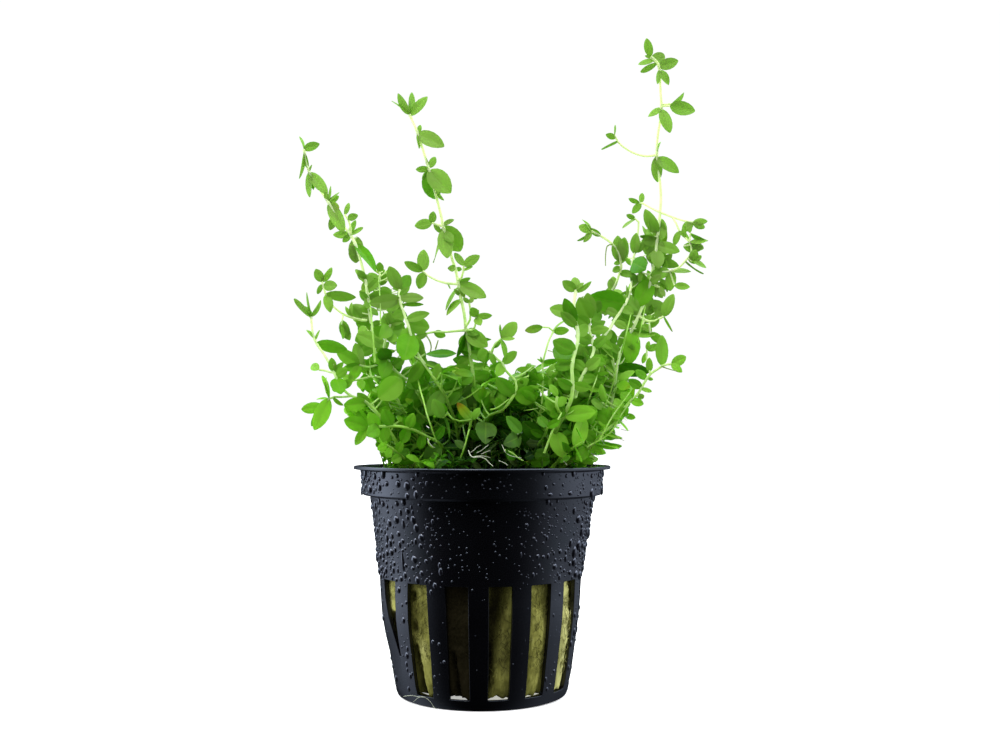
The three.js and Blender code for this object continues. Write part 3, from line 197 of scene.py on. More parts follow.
# Each stem: name, radius, runs of [across, up, depth], and leaves of
# [base across, base up, tip across, tip up, width as seen]
STEMS = [
  ["right_tall_stem", 0.5, [
    [[10, 44.3, 2], [16, 47.5, 0], [21.5, 50.5, -2], [25.3, 54.5, -4], [27, 58.5, -5],
      [28.3, 63.5, -5], [28.9, 68, -5], [29.5, 71, -4], [30.4, 73.5, -3], [31.4, 75.4, -2.5],
      [32.6, 77.5, -2], [34.4, 81.5, -1], [36.2, 86.3, 0], [37, 90, 0.5], [37.7, 93.5, 1],
      [38.1, 97, 1.5], [38.7, 102, 2], [39, 107, 2], [38.5, 113, 1.5], [38.2, 115.8, 1],
      [38.4, 120, 0], [39, 123.5, -1], [39.3, 126.3, -2], [39.1, 130, -3], [38.8, 135.6, -4],
      [37, 137.8, -4.5]],
    [[38.2, 115.8, 1], [35.5, 115.6, 0], [33, 116.3, -1], [31, 117.5, -2], [29.6, 118.8, -2.5],
      [28.9, 120.2, -3]],
    [[38.7, 103.2, 2], [37, 104, 3], [35.2, 105, 4], [34.2, 105.3, 4.5]],
    [[38.7, 103.2, 2], [41.5, 102.1, 1], [44, 101.3, 0], [46, 101, -1]],
    [[41.5, 102.1, 1], [42.4, 100.5, 0], [43, 99, 0]],
    [[37.1, 90.5, 0.5], [40, 90, -1], [42.5, 90.8, -2], [44, 92.2, -3], [45.6, 94.3, -3.5],
      [45.2, 96.6, -4]],
    [[33.9, 80.3, -1], [36.2, 79.2, -3], [38.2, 79.6, -4], [39.4, 80.3, -5]],
  ], [
    [37, 137.8, 36.1, 141.9, 1.7], [37.2, 137.6, 40.2, 137.5, 2.2], [38.8, 135.5, 43.1, 136.9, 2.2],
    [37.5, 136.8, 34.2, 136, 1], [38, 135.9, 34.7, 134.3, 1.2], [38.8, 134.9, 38.5, 131.6, 0.9],
    [38.9, 134.8, 40.9, 131.4, 1.4], [37.2, 137.4, 35.7, 138, 0.6],
    [41.2, 126.8, 46.7, 125.6, 2.7], [41.5, 127.2, 44.3, 129.8, 0.9], [39.3, 126, 41.2, 120.8, 2.2],
    [39.3, 126.3, 36.3, 124.3, 1.1],
    [29.3, 119.6, 27, 120.4, 1.2], [28.9, 120.2, 29.1, 122.5, 0.4], [29.6, 118.8, 26, 117, 0.6],
    [38.3, 115.6, 38.3, 109.8, 2.2], [38.3, 115.2, 43, 111.9, 2.3], [38.1, 115.6, 37.8, 113.9, 0.8],
    [38.3, 116.3, 39.1, 118.8, 0.5],
    [34.6, 105.2, 34.9, 107.4, 1.1], [34.3, 105.3, 31.9, 106.2, 0.9], [34.6, 105.1, 32.7, 102.9, 1.4],
    [46, 101, 49.2, 101.2, 1.3], [46, 101, 48.5, 99.6, 1], [44.8, 101.1, 45.3, 98.6, 1.3],
    [43, 99, 41.8, 95.8, 1.3], [38.2, 98.6, 35.5, 103.8, 2.4], [38.7, 101.3, 39.6, 95.8, 2.2],
    [38.1, 97.4, 34.4, 98, 0.9], [38, 96.8, 34.4, 96, 1.8], [38, 96, 43, 94.5, 2.3],
    [38.2, 98.2, 39.5, 92, 2], [37.7, 94, 36, 93, 1.3], [37.6, 92.8, 42.8, 91.3, 1.9],
    [40.5, 90.1, 45.5, 90.1, 0.9],
    [45.2, 96.2, 48.3, 95.2, 1.6], [45.2, 96.6, 49.3, 97, 0.9], [45.5, 94.3, 46.5, 91.8, 2],
    [45, 93.4, 48.8, 90.9, 0.9], [44.2, 92.4, 48.2, 89.6, 0.5],
    [36.6, 88.2, 33.4, 82.4, 3.6], [34.8, 82.8, 40, 81.2, 3.6], [39.4, 80.3, 41.6, 85.2, 2.2],
    [39.4, 80.3, 41.3, 76.9, 0.5], [38.4, 79.7, 37.4, 78.3, 0.6], [32.6, 77.2, 37, 76.4, 1.3],
    [32.3, 77.2, 31.9, 69.8, 3.4], [29, 69.3, 36.3, 68.2, 2.6], [27.6, 60.6, 22.5, 60.6, 3],
    [28.4, 64, 24.6, 65.6, 2.2], [28.4, 64, 31.8, 65.4, 2.2], [26, 56.4, 22.6, 56.8, 1.8],
    [28.8, 67.4, 25.6, 69.4, 2],
  ]],
  ["right_long_fork", 0.42, [
    [[25, 74.3, -8.4], [26, 75.5, -8], [27.6, 77.5, -6.5], [28.6, 79.3, -5], [29.5, 80.6, -4],
      [30.6, 82.2, -3], [31.7, 84.3, -1], [32.3, 86.5, 0], [32.5, 89, 1.5], [32.6, 92, 2.5],
      [33.4, 95, 3], [33.9, 98.5, 3.5], [34.1, 101, 3.5]],
    [[34.1, 101, 3.5], [33.2, 101.8, 3]],
  ], [
    [33, 94, 33.6, 98.6, 1.9], [33.4, 94.8, 35.4, 95.8, 0.8], [32.6, 92, 35.6, 90.5, 3.6],
    [32.5, 89.6, 30, 89.2, 0.9], [33.3, 101.7, 31.4, 102.6, 1], [33.4, 101.6, 30.5, 99.6, 0.6],
    [30.9, 83, 23.2, 84.7, 4.3], [31.5, 84.2, 31.3, 87.1, 0.6], [30.6, 82.2, 32.8, 80.8, 1.8],
    [25.8, 75.4, 28.3, 76.9, 1.8],
  ]],
  ["right_fork", 0.45, [
    [[20.1, 62.6, -15.6], [20.5, 64, -15.5], [21.2, 66.5, -15], [22.3, 68.5, -14], [23.5, 71, -12],
      [24.2, 73.2, -10], [23.8, 75, -9], [23.3, 77, -8], [23.2, 79, -7], [24.2, 81.5, -3],
      [26.4, 84, 2], [28.6, 86.5, 3], [29.6, 89, 2], [30.2, 91, 0], [29.9, 93.4, -1],
      [29, 95.4, -1.5], [28, 96.4, -2], [26, 97.8, -3], [23.7, 98.9, -4]],
  ], [
    [30.1, 92.2, 29.5, 98, 2.7], [30.2, 91, 28.3, 90.1, 1.3], [25.8, 97.9, 23.2, 99.6, 1.2],
    [23.7, 98.9, 21, 100.1, 1.7], [23.7, 98.9, 22, 96.5, 1.2], [23.7, 98.9, 21.7, 101.5, 0.5],
    [23.7, 98.8, 20.6, 96.8, 0.5], [28.6, 86.4, 28.4, 89, 1.5], [23.4, 79.6, 21, 84.4, 3.4],
    [23.2, 78, 19.6, 78.7, 3], [23.4, 76.9, 27.5, 77.6, 1.8], [24, 73.6, 20, 70.3, 2],
    [22.4, 68.7, 25.6, 71.2, 2.2], [21.3, 66.6, 24.6, 66.9, 2],
  ]],
  ["thick_right_stem", 0.6, [
    [[8, 44.3, -6], [11.5, 47.5, -9], [14, 51.5, -12], [15.2, 54, -14], [16, 55.8, -15],
      [17.3, 58.3, -16], [18.1, 59.8, -16.5], [18.8, 61.2, -17], [19.4, 63, -17], [19.5, 66, -16.5],
      [19.4, 69.5, -15.5], [20, 72.3, -14], [20.7, 75, -12.5], [20.6, 77.5, -11.5], [20, 79.5, -11],
      [19.8, 82, -10], [20, 84, -9], [20.3, 85.9, -8]],
    [[17.2, 58.4, -16], [16.3, 60, -18], [15.9, 61.5, -19], [16.2, 62.9, -19]],
  ], [
    [20.3, 85.9, 17.4, 88, 2], [20.3, 85.9, 20.1, 88.8, 1.8], [20.3, 85.9, 22.1, 87.6, 0.8],
    [20.3, 85.6, 23.7, 87.9, 1], [20.1, 78.9, 17.8, 84.2, 2.4], [19.9, 80.6, 14.6, 82, 2.6],
    [19.8, 81.8, 19.3, 83.2, 0.4], [20, 72.3, 15.3, 73.2, 4.8], [17.6, 58.8, 24.5, 59.5, 3.2],
    [17, 58.4, 13.3, 61.5, 2.6], [15.8, 55.2, 17.4, 49.6, 3.4], [16, 61, 18.2, 62.6, 1.8],
    [19.4, 70.2, 15.8, 71, 1], [19.5, 65.5, 23.4, 64.6, 2], [19.5, 64.6, 16.2, 66.6, 2],
    [16.2, 62.9, 14.6, 65.4, 1.4],
  ]],
  ["back_right_shoot", 0.38, [
    [[6, 44.3, 6], [10, 52, 9], [12.6, 60, 11], [13.1, 66, 12], [13, 69.8, 13], [13.3, 71.2, 13],
      [13.8, 73, 13.5], [14.4, 75, 14], [15.4, 77, 15]],
    [[15.4, 77, 15], [14.4, 77.8, 14.5], [13, 77.9, 14]],
  ], [
    [13, 77.9, 9.2, 77.1, 1.6], [15.5, 77.2, 18.8, 77.2, 1.6], [15.4, 77.1, 18, 79.3, 0.4],
    [13.1, 70, 11.8, 71, 0.4], [13.1, 70, 12.6, 71.5, 0.4], [13.2, 70.4, 17, 71, 1],
    [13.1, 66, 9.8, 67.8, 2.2], [13.1, 66, 16.4, 67.2, 2.2], [12.6, 60, 9.8, 62.4, 2.2],
    [12.6, 60, 15.4, 61.8, 2],
  ]],
  ["curved_shoot", 0.45, [
    [[1, 44.3, -8], [0.4, 50, -12], [0.3, 55, -15], [0.8, 58, -17], [2.5, 59.2, -18],
      [4, 59.7, -18.5], [5.2, 60.8, -18.5], [6.2, 62.2, -18], [6.9, 63.3, -17.5], [7.4, 64.6, -17],
      [7.2, 66.2, -16.5], [6, 67.4, -16], [4.9, 68.6, -15.5], [4.3, 70, -15], [3.2, 70.9, -14.5],
      [2, 72.1, -14], [1.3, 72.6, -14]],
    [[1.9, 72.1, -14], [2.6, 74, -14.5], [4.1, 75.4, -15]],
  ], [
    [1, 57.3, 0.6, 52.6, 4], [6.9, 63.3, 12.1, 63, 3.6], [6.8, 63.2, 3, 67, 2.8],
    [4.3, 70, 7.4, 72.6, 1.9], [4.3, 69.9, 3.1, 67.2, 2], [4.1, 75.4, 7.4, 78.9, 2.6],
    [4.1, 75.4, 7, 75.4, 0.8], [4, 75.4, 3.8, 78.5, 0.4], [4.1, 75.2, 4.9, 71, 1],
    [1.3, 72.6, -1, 70.8, 2.8], [1.4, 72.6, 0.4, 68.8, 0.5], [2.3, 73.4, 4, 75, 1],
    [4, 59.7, 3.2, 62.6, 1.6],
  ]],
  ["middle_tall_stem", 0.5, [
    [[-2, 44.3, 0], [-1.8, 50, -2], [-1.6, 57, -4], [-1.7, 62.5, -5], [-1.9, 66, -6],
      [-2.4, 70, -6], [-3, 74, -6], [-3.6, 77.2, -6], [-3.8, 79.5, -6], [-4.2, 82, -6],
      [-4.7, 84.2, -6], [-5.3, 87.6, -6], [-5.9, 90.5, -6], [-6.7, 93, -7], [-8.6, 100, -8],
      [-9.3, 103.3, -9], [-11.7, 112.3, -11], [-14.2, 120.4, -11], [-16, 124.6, -11]],
    [[-8.6, 100, -8], [-9.8, 100.2, -8], [-11, 100.7, -8]],
    [[-5.4, 88.1, -6], [-4.6, 88.6, -7], [-4.2, 90, -8], [-4.1, 91.3, -8]],
    [[-5.3, 87.3, -6], [-7.5, 87.4, -5], [-10, 88.1, -4], [-12, 89.2, -3], [-13, 90.1, -3]],
    [[-3.6, 77.2, -6], [-6, 77, -5], [-8, 76.8, -4], [-10.5, 76.8, -3], [-12, 76.5, -2]],
    [[-3.7, 78, -6], [-2.7, 79.5, -7.5], [-2.7, 82, -8.5], [-2.9, 83.2, -9]],
    [[-3.6, 77.2, -6], [-2, 77.4, -8.5], [-1.5, 78.8, -10], [-1.4, 80.2, -10]],
  ], [
    [-16, 124.6, -18.6, 129.3, 1.5], [-16, 124.6, -15.5, 129.5, 1.3], [-15.8, 124.3, -12.1, 128.6, 1.7],
    [-16, 124.6, -20, 127.6, 0.4],
    [-14.2, 120.4, -8.4, 117.5, 2.9], [-14.2, 120.4, -13.6, 122.3, 0.9], [-14.2, 120.3, -13.9, 117, 0.8],
    [-11.7, 112.2, -10.3, 105.9, 3.8], [-11.7, 112.3, -7, 107.2, 3.9], [-10.6, 108.6, -8.4, 105.6, 0.8],
    [-11.8, 112.6, -14.6, 112.4, 1.3], [-11.8, 112.8, -10.3, 115.2, 1.4], [-11.9, 113, -12.4, 115, 0.5],
    [-11, 100.7, -14.8, 100, 2], [-11, 100.7, -10.7, 103.2, 1.5], [-10.6, 100.5, -9, 98.4, 1],
    [-8.6, 100.2, -6.2, 101.4, 0.9], [-8.5, 99.9, -4.7, 94.5, 4], [-8.4, 99.3, -7.7, 92.9, 3],
    [-8.3, 98.8, -10.7, 91.9, 0.4], [-6, 90.8, -7.6, 90.7, 1.3], [-5.9, 90.6, -4.5, 90.5, 0.9],
    [-4.1, 91.3, -0.6, 93.5, 1.9], [-4.1, 91.3, -6.1, 94.1, 1.4], [-4.2, 90.2, -2.1, 91.1, 0.6],
    [-13, 90.1, -12.8, 94.8, 2.4], [-13, 90.1, -17, 92.1, 1.7], [-12.7, 89.8, -13.8, 86.2, 2.1],
    [-5.2, 87.3, 0.8, 84.4, 2.7], [-3.2, 86.4, -1.2, 84, 1.8], [-5.1, 86.6, -3.9, 84.2, 0.9],
    [-5.2, 86.8, -8, 81.5, 0.7], [-7.6, 87.4, -7, 86.2, 0.3], [-4.6, 83.8, -7.8, 80.4, 1.2],
    [-2.9, 83.2, -4.2, 84.3, 0.9], [-2.9, 83.2, -1.9, 84.4, 0.9],
    [-12, 76.5, -15, 75.3, 1.3], [-10.5, 76.8, -8, 75.9, 1.5], [-3.6, 76.9, -5.6, 71.4, 1.1],
    [-3.4, 76.4, -2.6, 70.4, 2.2], [-3.4, 76.8, 1.1, 73.6, 3], [-3.4, 76.9, 1.9, 75.2, 0.8],
    [-1.4, 80, -2.3, 82.2, 1.8], [-1.4, 80.2, 2.1, 80.4, 1.3], [-1.4, 79.9, -0.3, 78.3, 1.6],
    [-1.4, 80.2, -0.8, 81.7, 0.4], [-2.6, 71.6, -4.7, 72.7, 0.9], [-2.5, 70.4, -6.4, 70.9, 2],
    [-2.2, 68.8, -8.8, 67.4, 2.8], [-1.9, 65.6, -3.3, 60.4, 3.2], [-1.9, 65.4, 0.8, 61, 2.6],
    [-2, 66.9, 1.8, 67.8, 2], [-2.3, 69, 1.2, 69.8, 1.2],
  ]],
  ["inner_left_stem", 0.48, [
    [[-4.5, 44.3, -4], [-4.8, 50, -7], [-5.6, 56, -9], [-7.2, 61, -11], [-8.3, 63.5, -12],
      [-10, 66.2, -12], [-12.5, 69.8, -11], [-14.1, 72.2, -10], [-15.2, 75, -9], [-16.1, 78.3, -8],
      [-16.8, 80.2, -7], [-17.9, 83.6, -5], [-18, 86, -4]],
  ], [
    [-18, 86, -20.3, 91.1, 2.6], [-18, 86, -15.7, 89.1, 2.4], [-17.9, 84.2, -12.8, 84.2, 2],
    [-17.6, 82.8, -12.8, 82.8, 0.8], [-17.9, 84, -24.5, 83, 2.8], [-17.8, 83.4, -20.6, 81.6, 2],
    [-16.5, 79.4, -11.5, 80.9, 1.9], [-16.2, 78.6, -11.5, 77.8, 3.2], [-15.6, 76.4, -17, 70.6, 4.4],
    [-15, 74.6, -12.6, 70.3, 2.6], [-12.8, 70.1, -8.8, 68.7, 1], [-12.3, 69.5, -14.6, 64.4, 3.8],
    [-12.4, 72, -5.6, 72.1, 1.4], [-12.8, 70.4, -17.3, 68.5, 0.3], [-8.6, 64, -12, 58.6, 3],
    [-8.9, 64.6, -5.4, 66.4, 1.4], [-7.2, 61, -4.9, 63.8, 1.6], [-6.4, 58.6, -9.6, 56.4, 2],
    [-10.2, 66.4, -9.4, 70, 1.8],
  ]],
  ["left_cluster_stem", 0.45, [
    [[-7, 44.3, 1], [-8.4, 49, -1], [-9.8, 53.5, -3], [-10.8, 56, -4], [-12, 59, -5],
      [-13, 61.8, -5], [-14.5, 64.6, -5], [-16.6, 66.6, -5], [-18.8, 68.4, -5], [-20.4, 70.8, -5],
      [-21.3, 73.6, -5], [-20.6, 76, -5], [-20, 78.5, -5]],
  ], [
    [-20, 78.5, -20.1, 81.3, 1.6], [-20, 78.5, -17.2, 80.9, 2.4], [-20.1, 78, -21.6, 81.3, 0.4],
    [-20.4, 76.8, -17.2, 77.4, 2.6], [-20.6, 76.2, -23.8, 77.6, 2.2], [-21.2, 74, -27.2, 76.4, 3],
    [-20.4, 70.8, -21.8, 66.8, 2.8], [-20.6, 71.2, -17.8, 68.2, 3], [-18.9, 68.4, -22.4, 60.4, 3.6],
    [-14.8, 64.9, -17.6, 61.2, 1.8], [-13, 61.8, -16.4, 59.6, 2.2], [-13, 61.8, -9.9, 62.8, 1.6],
    [-20.9, 72.6, -18.9, 72.6, 0.8], [-11.9, 58.8, -15, 57, 2.2], [-16.8, 66.8, -19.8, 63.8, 2.6],
  ]],
  ["left_tall_stem", 0.5, [
    [[-9, 44.3, 5], [-12, 50, 6], [-15.5, 57, 6], [-18.6, 62.5, 5], [-20.8, 66.5, 4],
      [-22.3, 70, 4], [-23.1, 73, 4], [-23.6, 76, 4], [-24.4, 80.6, 4], [-24.8, 84, 4],
      [-25.2, 87, 4], [-25.8, 89.6, 5], [-26.4, 92, 5], [-27.6, 95.8, 6], [-28.6, 97.8, 7],
      [-31, 101, 8], [-33.5, 105, 9], [-35.5, 108, 10], [-37.8, 111.8, 11], [-39, 116.8, 11]],
    [[-28.6, 97.8, 7], [-28.9, 100.4, 5], [-29.6, 101.9, 4], [-30, 102.4, 4]],
    [[-24.3, 80.2, 4], [-22.9, 81.5, 6], [-22.4, 84, 7], [-22.3, 89.9, 8]],
    [[-22.2, 69.8, 4], [-24.5, 69.2, 2], [-26.6, 69.6, 1]],
    [[-20.8, 66.5, 4], [-23, 67.1, 2], [-25.2, 66.8, 1], [-27.4, 66.3, 0]],
  ], [
    [-39, 116.8, -35.6, 118, 1.7], [-39, 116.8, -40, 119.6, 0.5], [-38.9, 116.3, -40, 110.2, 0.7],
    [-38.7, 115.8, -38, 112.4, 0.9], [-37.7, 111.6, -33.8, 106.9, 2.2], [-37.8, 111.8, -37.6, 106.2, 1.2],
    [-37.7, 111.8, -37.2, 113.4, 0.4], [-33.4, 104.8, -30.8, 101, 2], [-33.3, 104.7, -30.2, 98.4, 2.6],
    [-33.5, 105.1, -31.3, 106.5, 1.2], [-33.5, 105, -31.2, 103.8, 1.4], [-33.6, 105.3, -33.1, 108.8, 0.5],
    [-33.5, 105.3, -31.2, 107.3, 0.4], [-30, 102.4, -29.1, 105, 1], [-29.4, 101.5, -27.1, 102.3, 1.4],
    [-28.7, 98, -32.5, 98, 1.5], [-28.6, 98, -26, 99.6, 0.9], [-27.7, 96.1, -27.5, 91.8, 2.5],
    [-27.6, 95.8, -23.2, 89.8, 1.9], [-25.3, 87.4, -27.6, 90.4, 1.3], [-25.7, 89.2, -23.5, 86.5, 2],
    [-25, 85.5, -26.8, 85.5, 0.9], [-24.9, 84.8, -24.9, 81.8, 1.4], [-24.9, 84.4, -19.5, 84.6, 2.5],
    [-22.3, 89.9, -22.3, 92, 1.5], [-22.4, 87, -20.4, 88.6, 0.9], [-22.4, 87, -24, 88.6, 1],
    [-24.6, 82.4, -26.8, 77.9, 3], [-26.6, 69.6, -31.6, 73, 2.6], [-26.4, 69.6, -27.4, 74.4, 2.2],
    [-26.3, 69.5, -28.9, 66.2, 2], [-27.4, 66.3, -30.3, 67.2, 1.4], [-26.4, 66.5, -26, 64.2, 1.6],
    [-25, 66.8, -23.8, 63.4, 2.2], [-22.8, 72, -20.2, 74.6, 1.8], [-18.4, 62.2, -20.4, 59.2, 2.4],
    [-15.6, 57.2, -18.6, 56, 2],
  ]],
  ["left_fork", 0.36, [
    [[-25.1, 79.3, 3.2], [-26.3, 79.4, 2], [-28.5, 80, 1], [-30.2, 80.7, 0], [-32, 82, -1],
      [-33.3, 83.5, -1], [-34, 85, -2], [-34.8, 87.7, -2]],
    [[-30.2, 80.7, 0], [-30.3, 79.6, -1], [-30.5, 78.4, -1]],
  ], [
    [-34.8, 87.7, -36.2, 90.5, 1.8], [-34.8, 87.7, -32.7, 90.8, 1.3], [-34.5, 86.8, -31.5, 86.9, 2],
    [-34, 85, -27.4, 84.3, 1.9], [-33.9, 84.8, -33, 81, 1.8], [-30.5, 78.4, -28.7, 75, 1.8],
    [-30.5, 78.4, -30.2, 75.2, 0.8], [-28.6, 80, -29.7, 82.4, 0.7], [-28.3, 80, -28.3, 83.2, 0.8],
  ]],
  ["far_left_stem", 0.45, [
    [[-12, 44.3, -3], [-14.5, 47.8, -6], [-17.6, 51.4, -9], [-19.3, 54.2, -11], [-20.9, 57, -12],
      [-22.5, 59, -13], [-24.3, 61, -13.5], [-26, 62.2, -14], [-28.2, 62.9, -14], [-29.9, 64.2, -14],
      [-31.2, 66, -14], [-32, 68, -13], [-33.1, 70, -12], [-34.3, 72, -11], [-35.8, 74.2, -10],
      [-36.6, 76, -9.5], [-36.9, 78, -9], [-37.1, 80.1, -9]],
    [[-28.2, 62.9, -14], [-30.4, 62.7, -15], [-32, 62.7, -16], [-33.1, 62.3, -16]],
    [[-32, 68, -13], [-33, 68.1, -12], [-34, 68.4, -11], [-35.3, 68.6, -11]],
  ], [
    [-37.1, 80.1, -40.8, 84, 1.2], [-37.1, 80.1, -35, 83.7, 0.9], [-37.1, 80.1, -38.1, 85.4, 0.5],
    [-36.4, 75.5, -38.1, 77.2, 0.7], [-36.2, 75, -35.2, 77.2, 0.5], [-35.9, 74.4, -29.2, 73, 2.3],
    [-32, 68.2, -32.6, 71.2, 1.6], [-35.3, 68.6, -36.9, 69.6, 1.7], [-31.5, 66.8, -30.5, 63.3, 3],
    [-33.1, 62.3, -34.6, 67.3, 0.9], [-33, 62.4, -33.7, 67, 0.5], [-33.1, 62.3, -35.8, 62.2, 0.4],
    [-33, 62.1, -36.2, 55.6, 3], [-34.4, 60.6, -39, 60, 2.2], [-35.4, 59.6, -36.8, 56.4, 1.2],
    [-32.2, 62.6, -30, 60.9, 0.8], [-25, 61.6, -29.9, 60.9, 2.6], [-22.4, 58.9, -19.9, 60.4, 1.8],
    [-31.6, 67, -29.2, 68.9, 1.8],
  ]],
  ["arching_stem", 0.45, [
    [[-6, 44.3, -9], [-7.4, 48, -13], [-8.5, 51.4, -15], [-9.3, 52.8, -16], [-10.4, 53.5, -17],
      [-11.6, 54, -17.5], [-13, 54.7, -18], [-14.5, 55.5, -19], [-16, 56, -19.5], [-18, 56.4, -20],
      [-20, 56.4, -20], [-22.5, 56.3, -20], [-24.6, 56.2, -20]],
  ], [
    [-24.6, 56.2, -29.8, 57.8, 2.9], [-24.6, 56.2, -27.4, 52.4, 1.8], [-22.3, 56.3, -24.9, 54.3, 2.6],
    [-20.6, 56.4, -21.4, 53, 2], [-22.5, 56.3, -24.5, 59.4, 2.4], [-8.9, 52.1, -12.3, 48.7, 3.4],
    [-8.6, 51.8, -3.3, 51.7, 1.1], [-16, 56, -17.4, 52.8, 2.2], [-16, 56, -14.8, 59.2, 2],
    [-12.8, 54.6, -13.4, 51.4, 1.8],
  ]],
  ["brown_tipped_shoot", 0.4, [
    [[-3.6, 44.3, -10], [-3.8, 49, -14], [-3.5, 52.3, -18], [-3, 55, -20], [-2.4, 57.8, -21]],
    [[-2.4, 57.8, -21], [-5, 57.5, -21.5], [-6.5, 58, -21.5], [-7.7, 59.5, -21.5]],
  ], [
    [-2.4, 57.8, -5.4, 61.5, 1.9], [-2.4, 57.8, -0.6, 60.4, 1.4], [-7.7, 59.5, -9.2, 61.4, 1.2],
    [-3.6, 51.6, -6, 53.4, 1.4],
  ]],
  ["short_front_stem", 0.4, [
    [[7.5, 44.3, -12], [9.6, 48, -15], [11, 50.5, -17], [12.2, 52.6, -18], [13.4, 54.6, -19],
      [14.1, 56.2, -20]],
  ], [
    [14.1, 56.2, 16.8, 57.6, 1.6], [14.1, 56.2, 12, 58.4, 1.8], [13.2, 54.3, 10.4, 55.6, 1.6],
    [11.2, 50.9, 14.4, 49.5, 2.4], [11, 50.5, 9, 49.6, 1.6], [12.2, 52.6, 9.4, 52.8, 1.6],
  ]],
  ["low_right_stem", 0.42, [
    [[12, 44.3, -3], [16.5, 47.4, -6], [20.5, 50, -9], [23.6, 52.4, -11], [25.7, 54.7, -12],
      [27.6, 56.2, -12], [29.3, 58, -12], [30.5, 60, -12], [32, 61.8, -12], [33.5, 63.2, -12],
      [34.6, 65, -12], [35.7, 66.8, -12], [36.6, 67.9, -12], [38.2, 68.9, -12], [39, 69.5, -12],
      [40, 69.8, -13], [41, 69.9, -13]],
    [[36.4, 67.6, -12], [36, 69.8, -11], [35.6, 71.6, -10], [35.7, 73, -10]],
  ], [
    [39, 69.5, 39, 76.2, 2.4], [41, 69.9, 44.2, 71.5, 2], [41, 69.9, 43.3, 68.1, 1.4],
    [35.7, 73, 38.4, 74, 1.4], [35.7, 73, 36.2, 74.9, 0.9], [35.6, 72.4, 34.7, 70, 1],
    [36.3, 68.3, 36.2, 71.3, 1.4], [35.7, 66.9, 37, 66.5, 0.7], [34.3, 64.6, 36.7, 63.9, 0.9],
    [33.6, 63.3, 34.9, 62.5, 1.2], [32.1, 61.9, 34.9, 61.2, 1.6], [30.8, 58.9, 33.1, 58.2, 1.2],
    [29.2, 57.8, 31.5, 55.4, 0.5], [24.2, 53, 30.1, 52.1, 1.4], [24, 52.8, 29.6, 51.5, 0.8],
    [23.4, 52.2, 26, 50.6, 1.2], [26, 54.9, 30.2, 53.8, 0.5], [23, 51.9, 18.6, 50.2, 4],
    [20.3, 49.9, 24, 48.4, 1.6], [27.6, 56.2, 24.9, 58.6, 2], [28.6, 57.2, 27.4, 60.6, 2.2],
    [30.3, 59.6, 28.6, 62.4, 1.8],
  ]],
  ["low_left_stem", 0.36, [
    [[-13, 44.3, -8], [-15.5, 47.8, -12], [-17.6, 50.2, -14], [-19.4, 51.6, -15], [-20.6, 52.4, -15]],
  ], [
    [-20.6, 52.4, -22.6, 51.4, 1.6], [-20.6, 52.4, -22.2, 54, 1.2], [-19.6, 51.7, -20.8, 49.8, 1.4],
    [-17.8, 50.4, -15.4, 51, 1.8], [-17.4, 50, -19.6, 48.9, 1.8], [-16.4, 48.9, -14.2, 49.4, 1.6],
    [-18.4, 50.8, -17.2, 53.2, 1.6],
  ]],
]
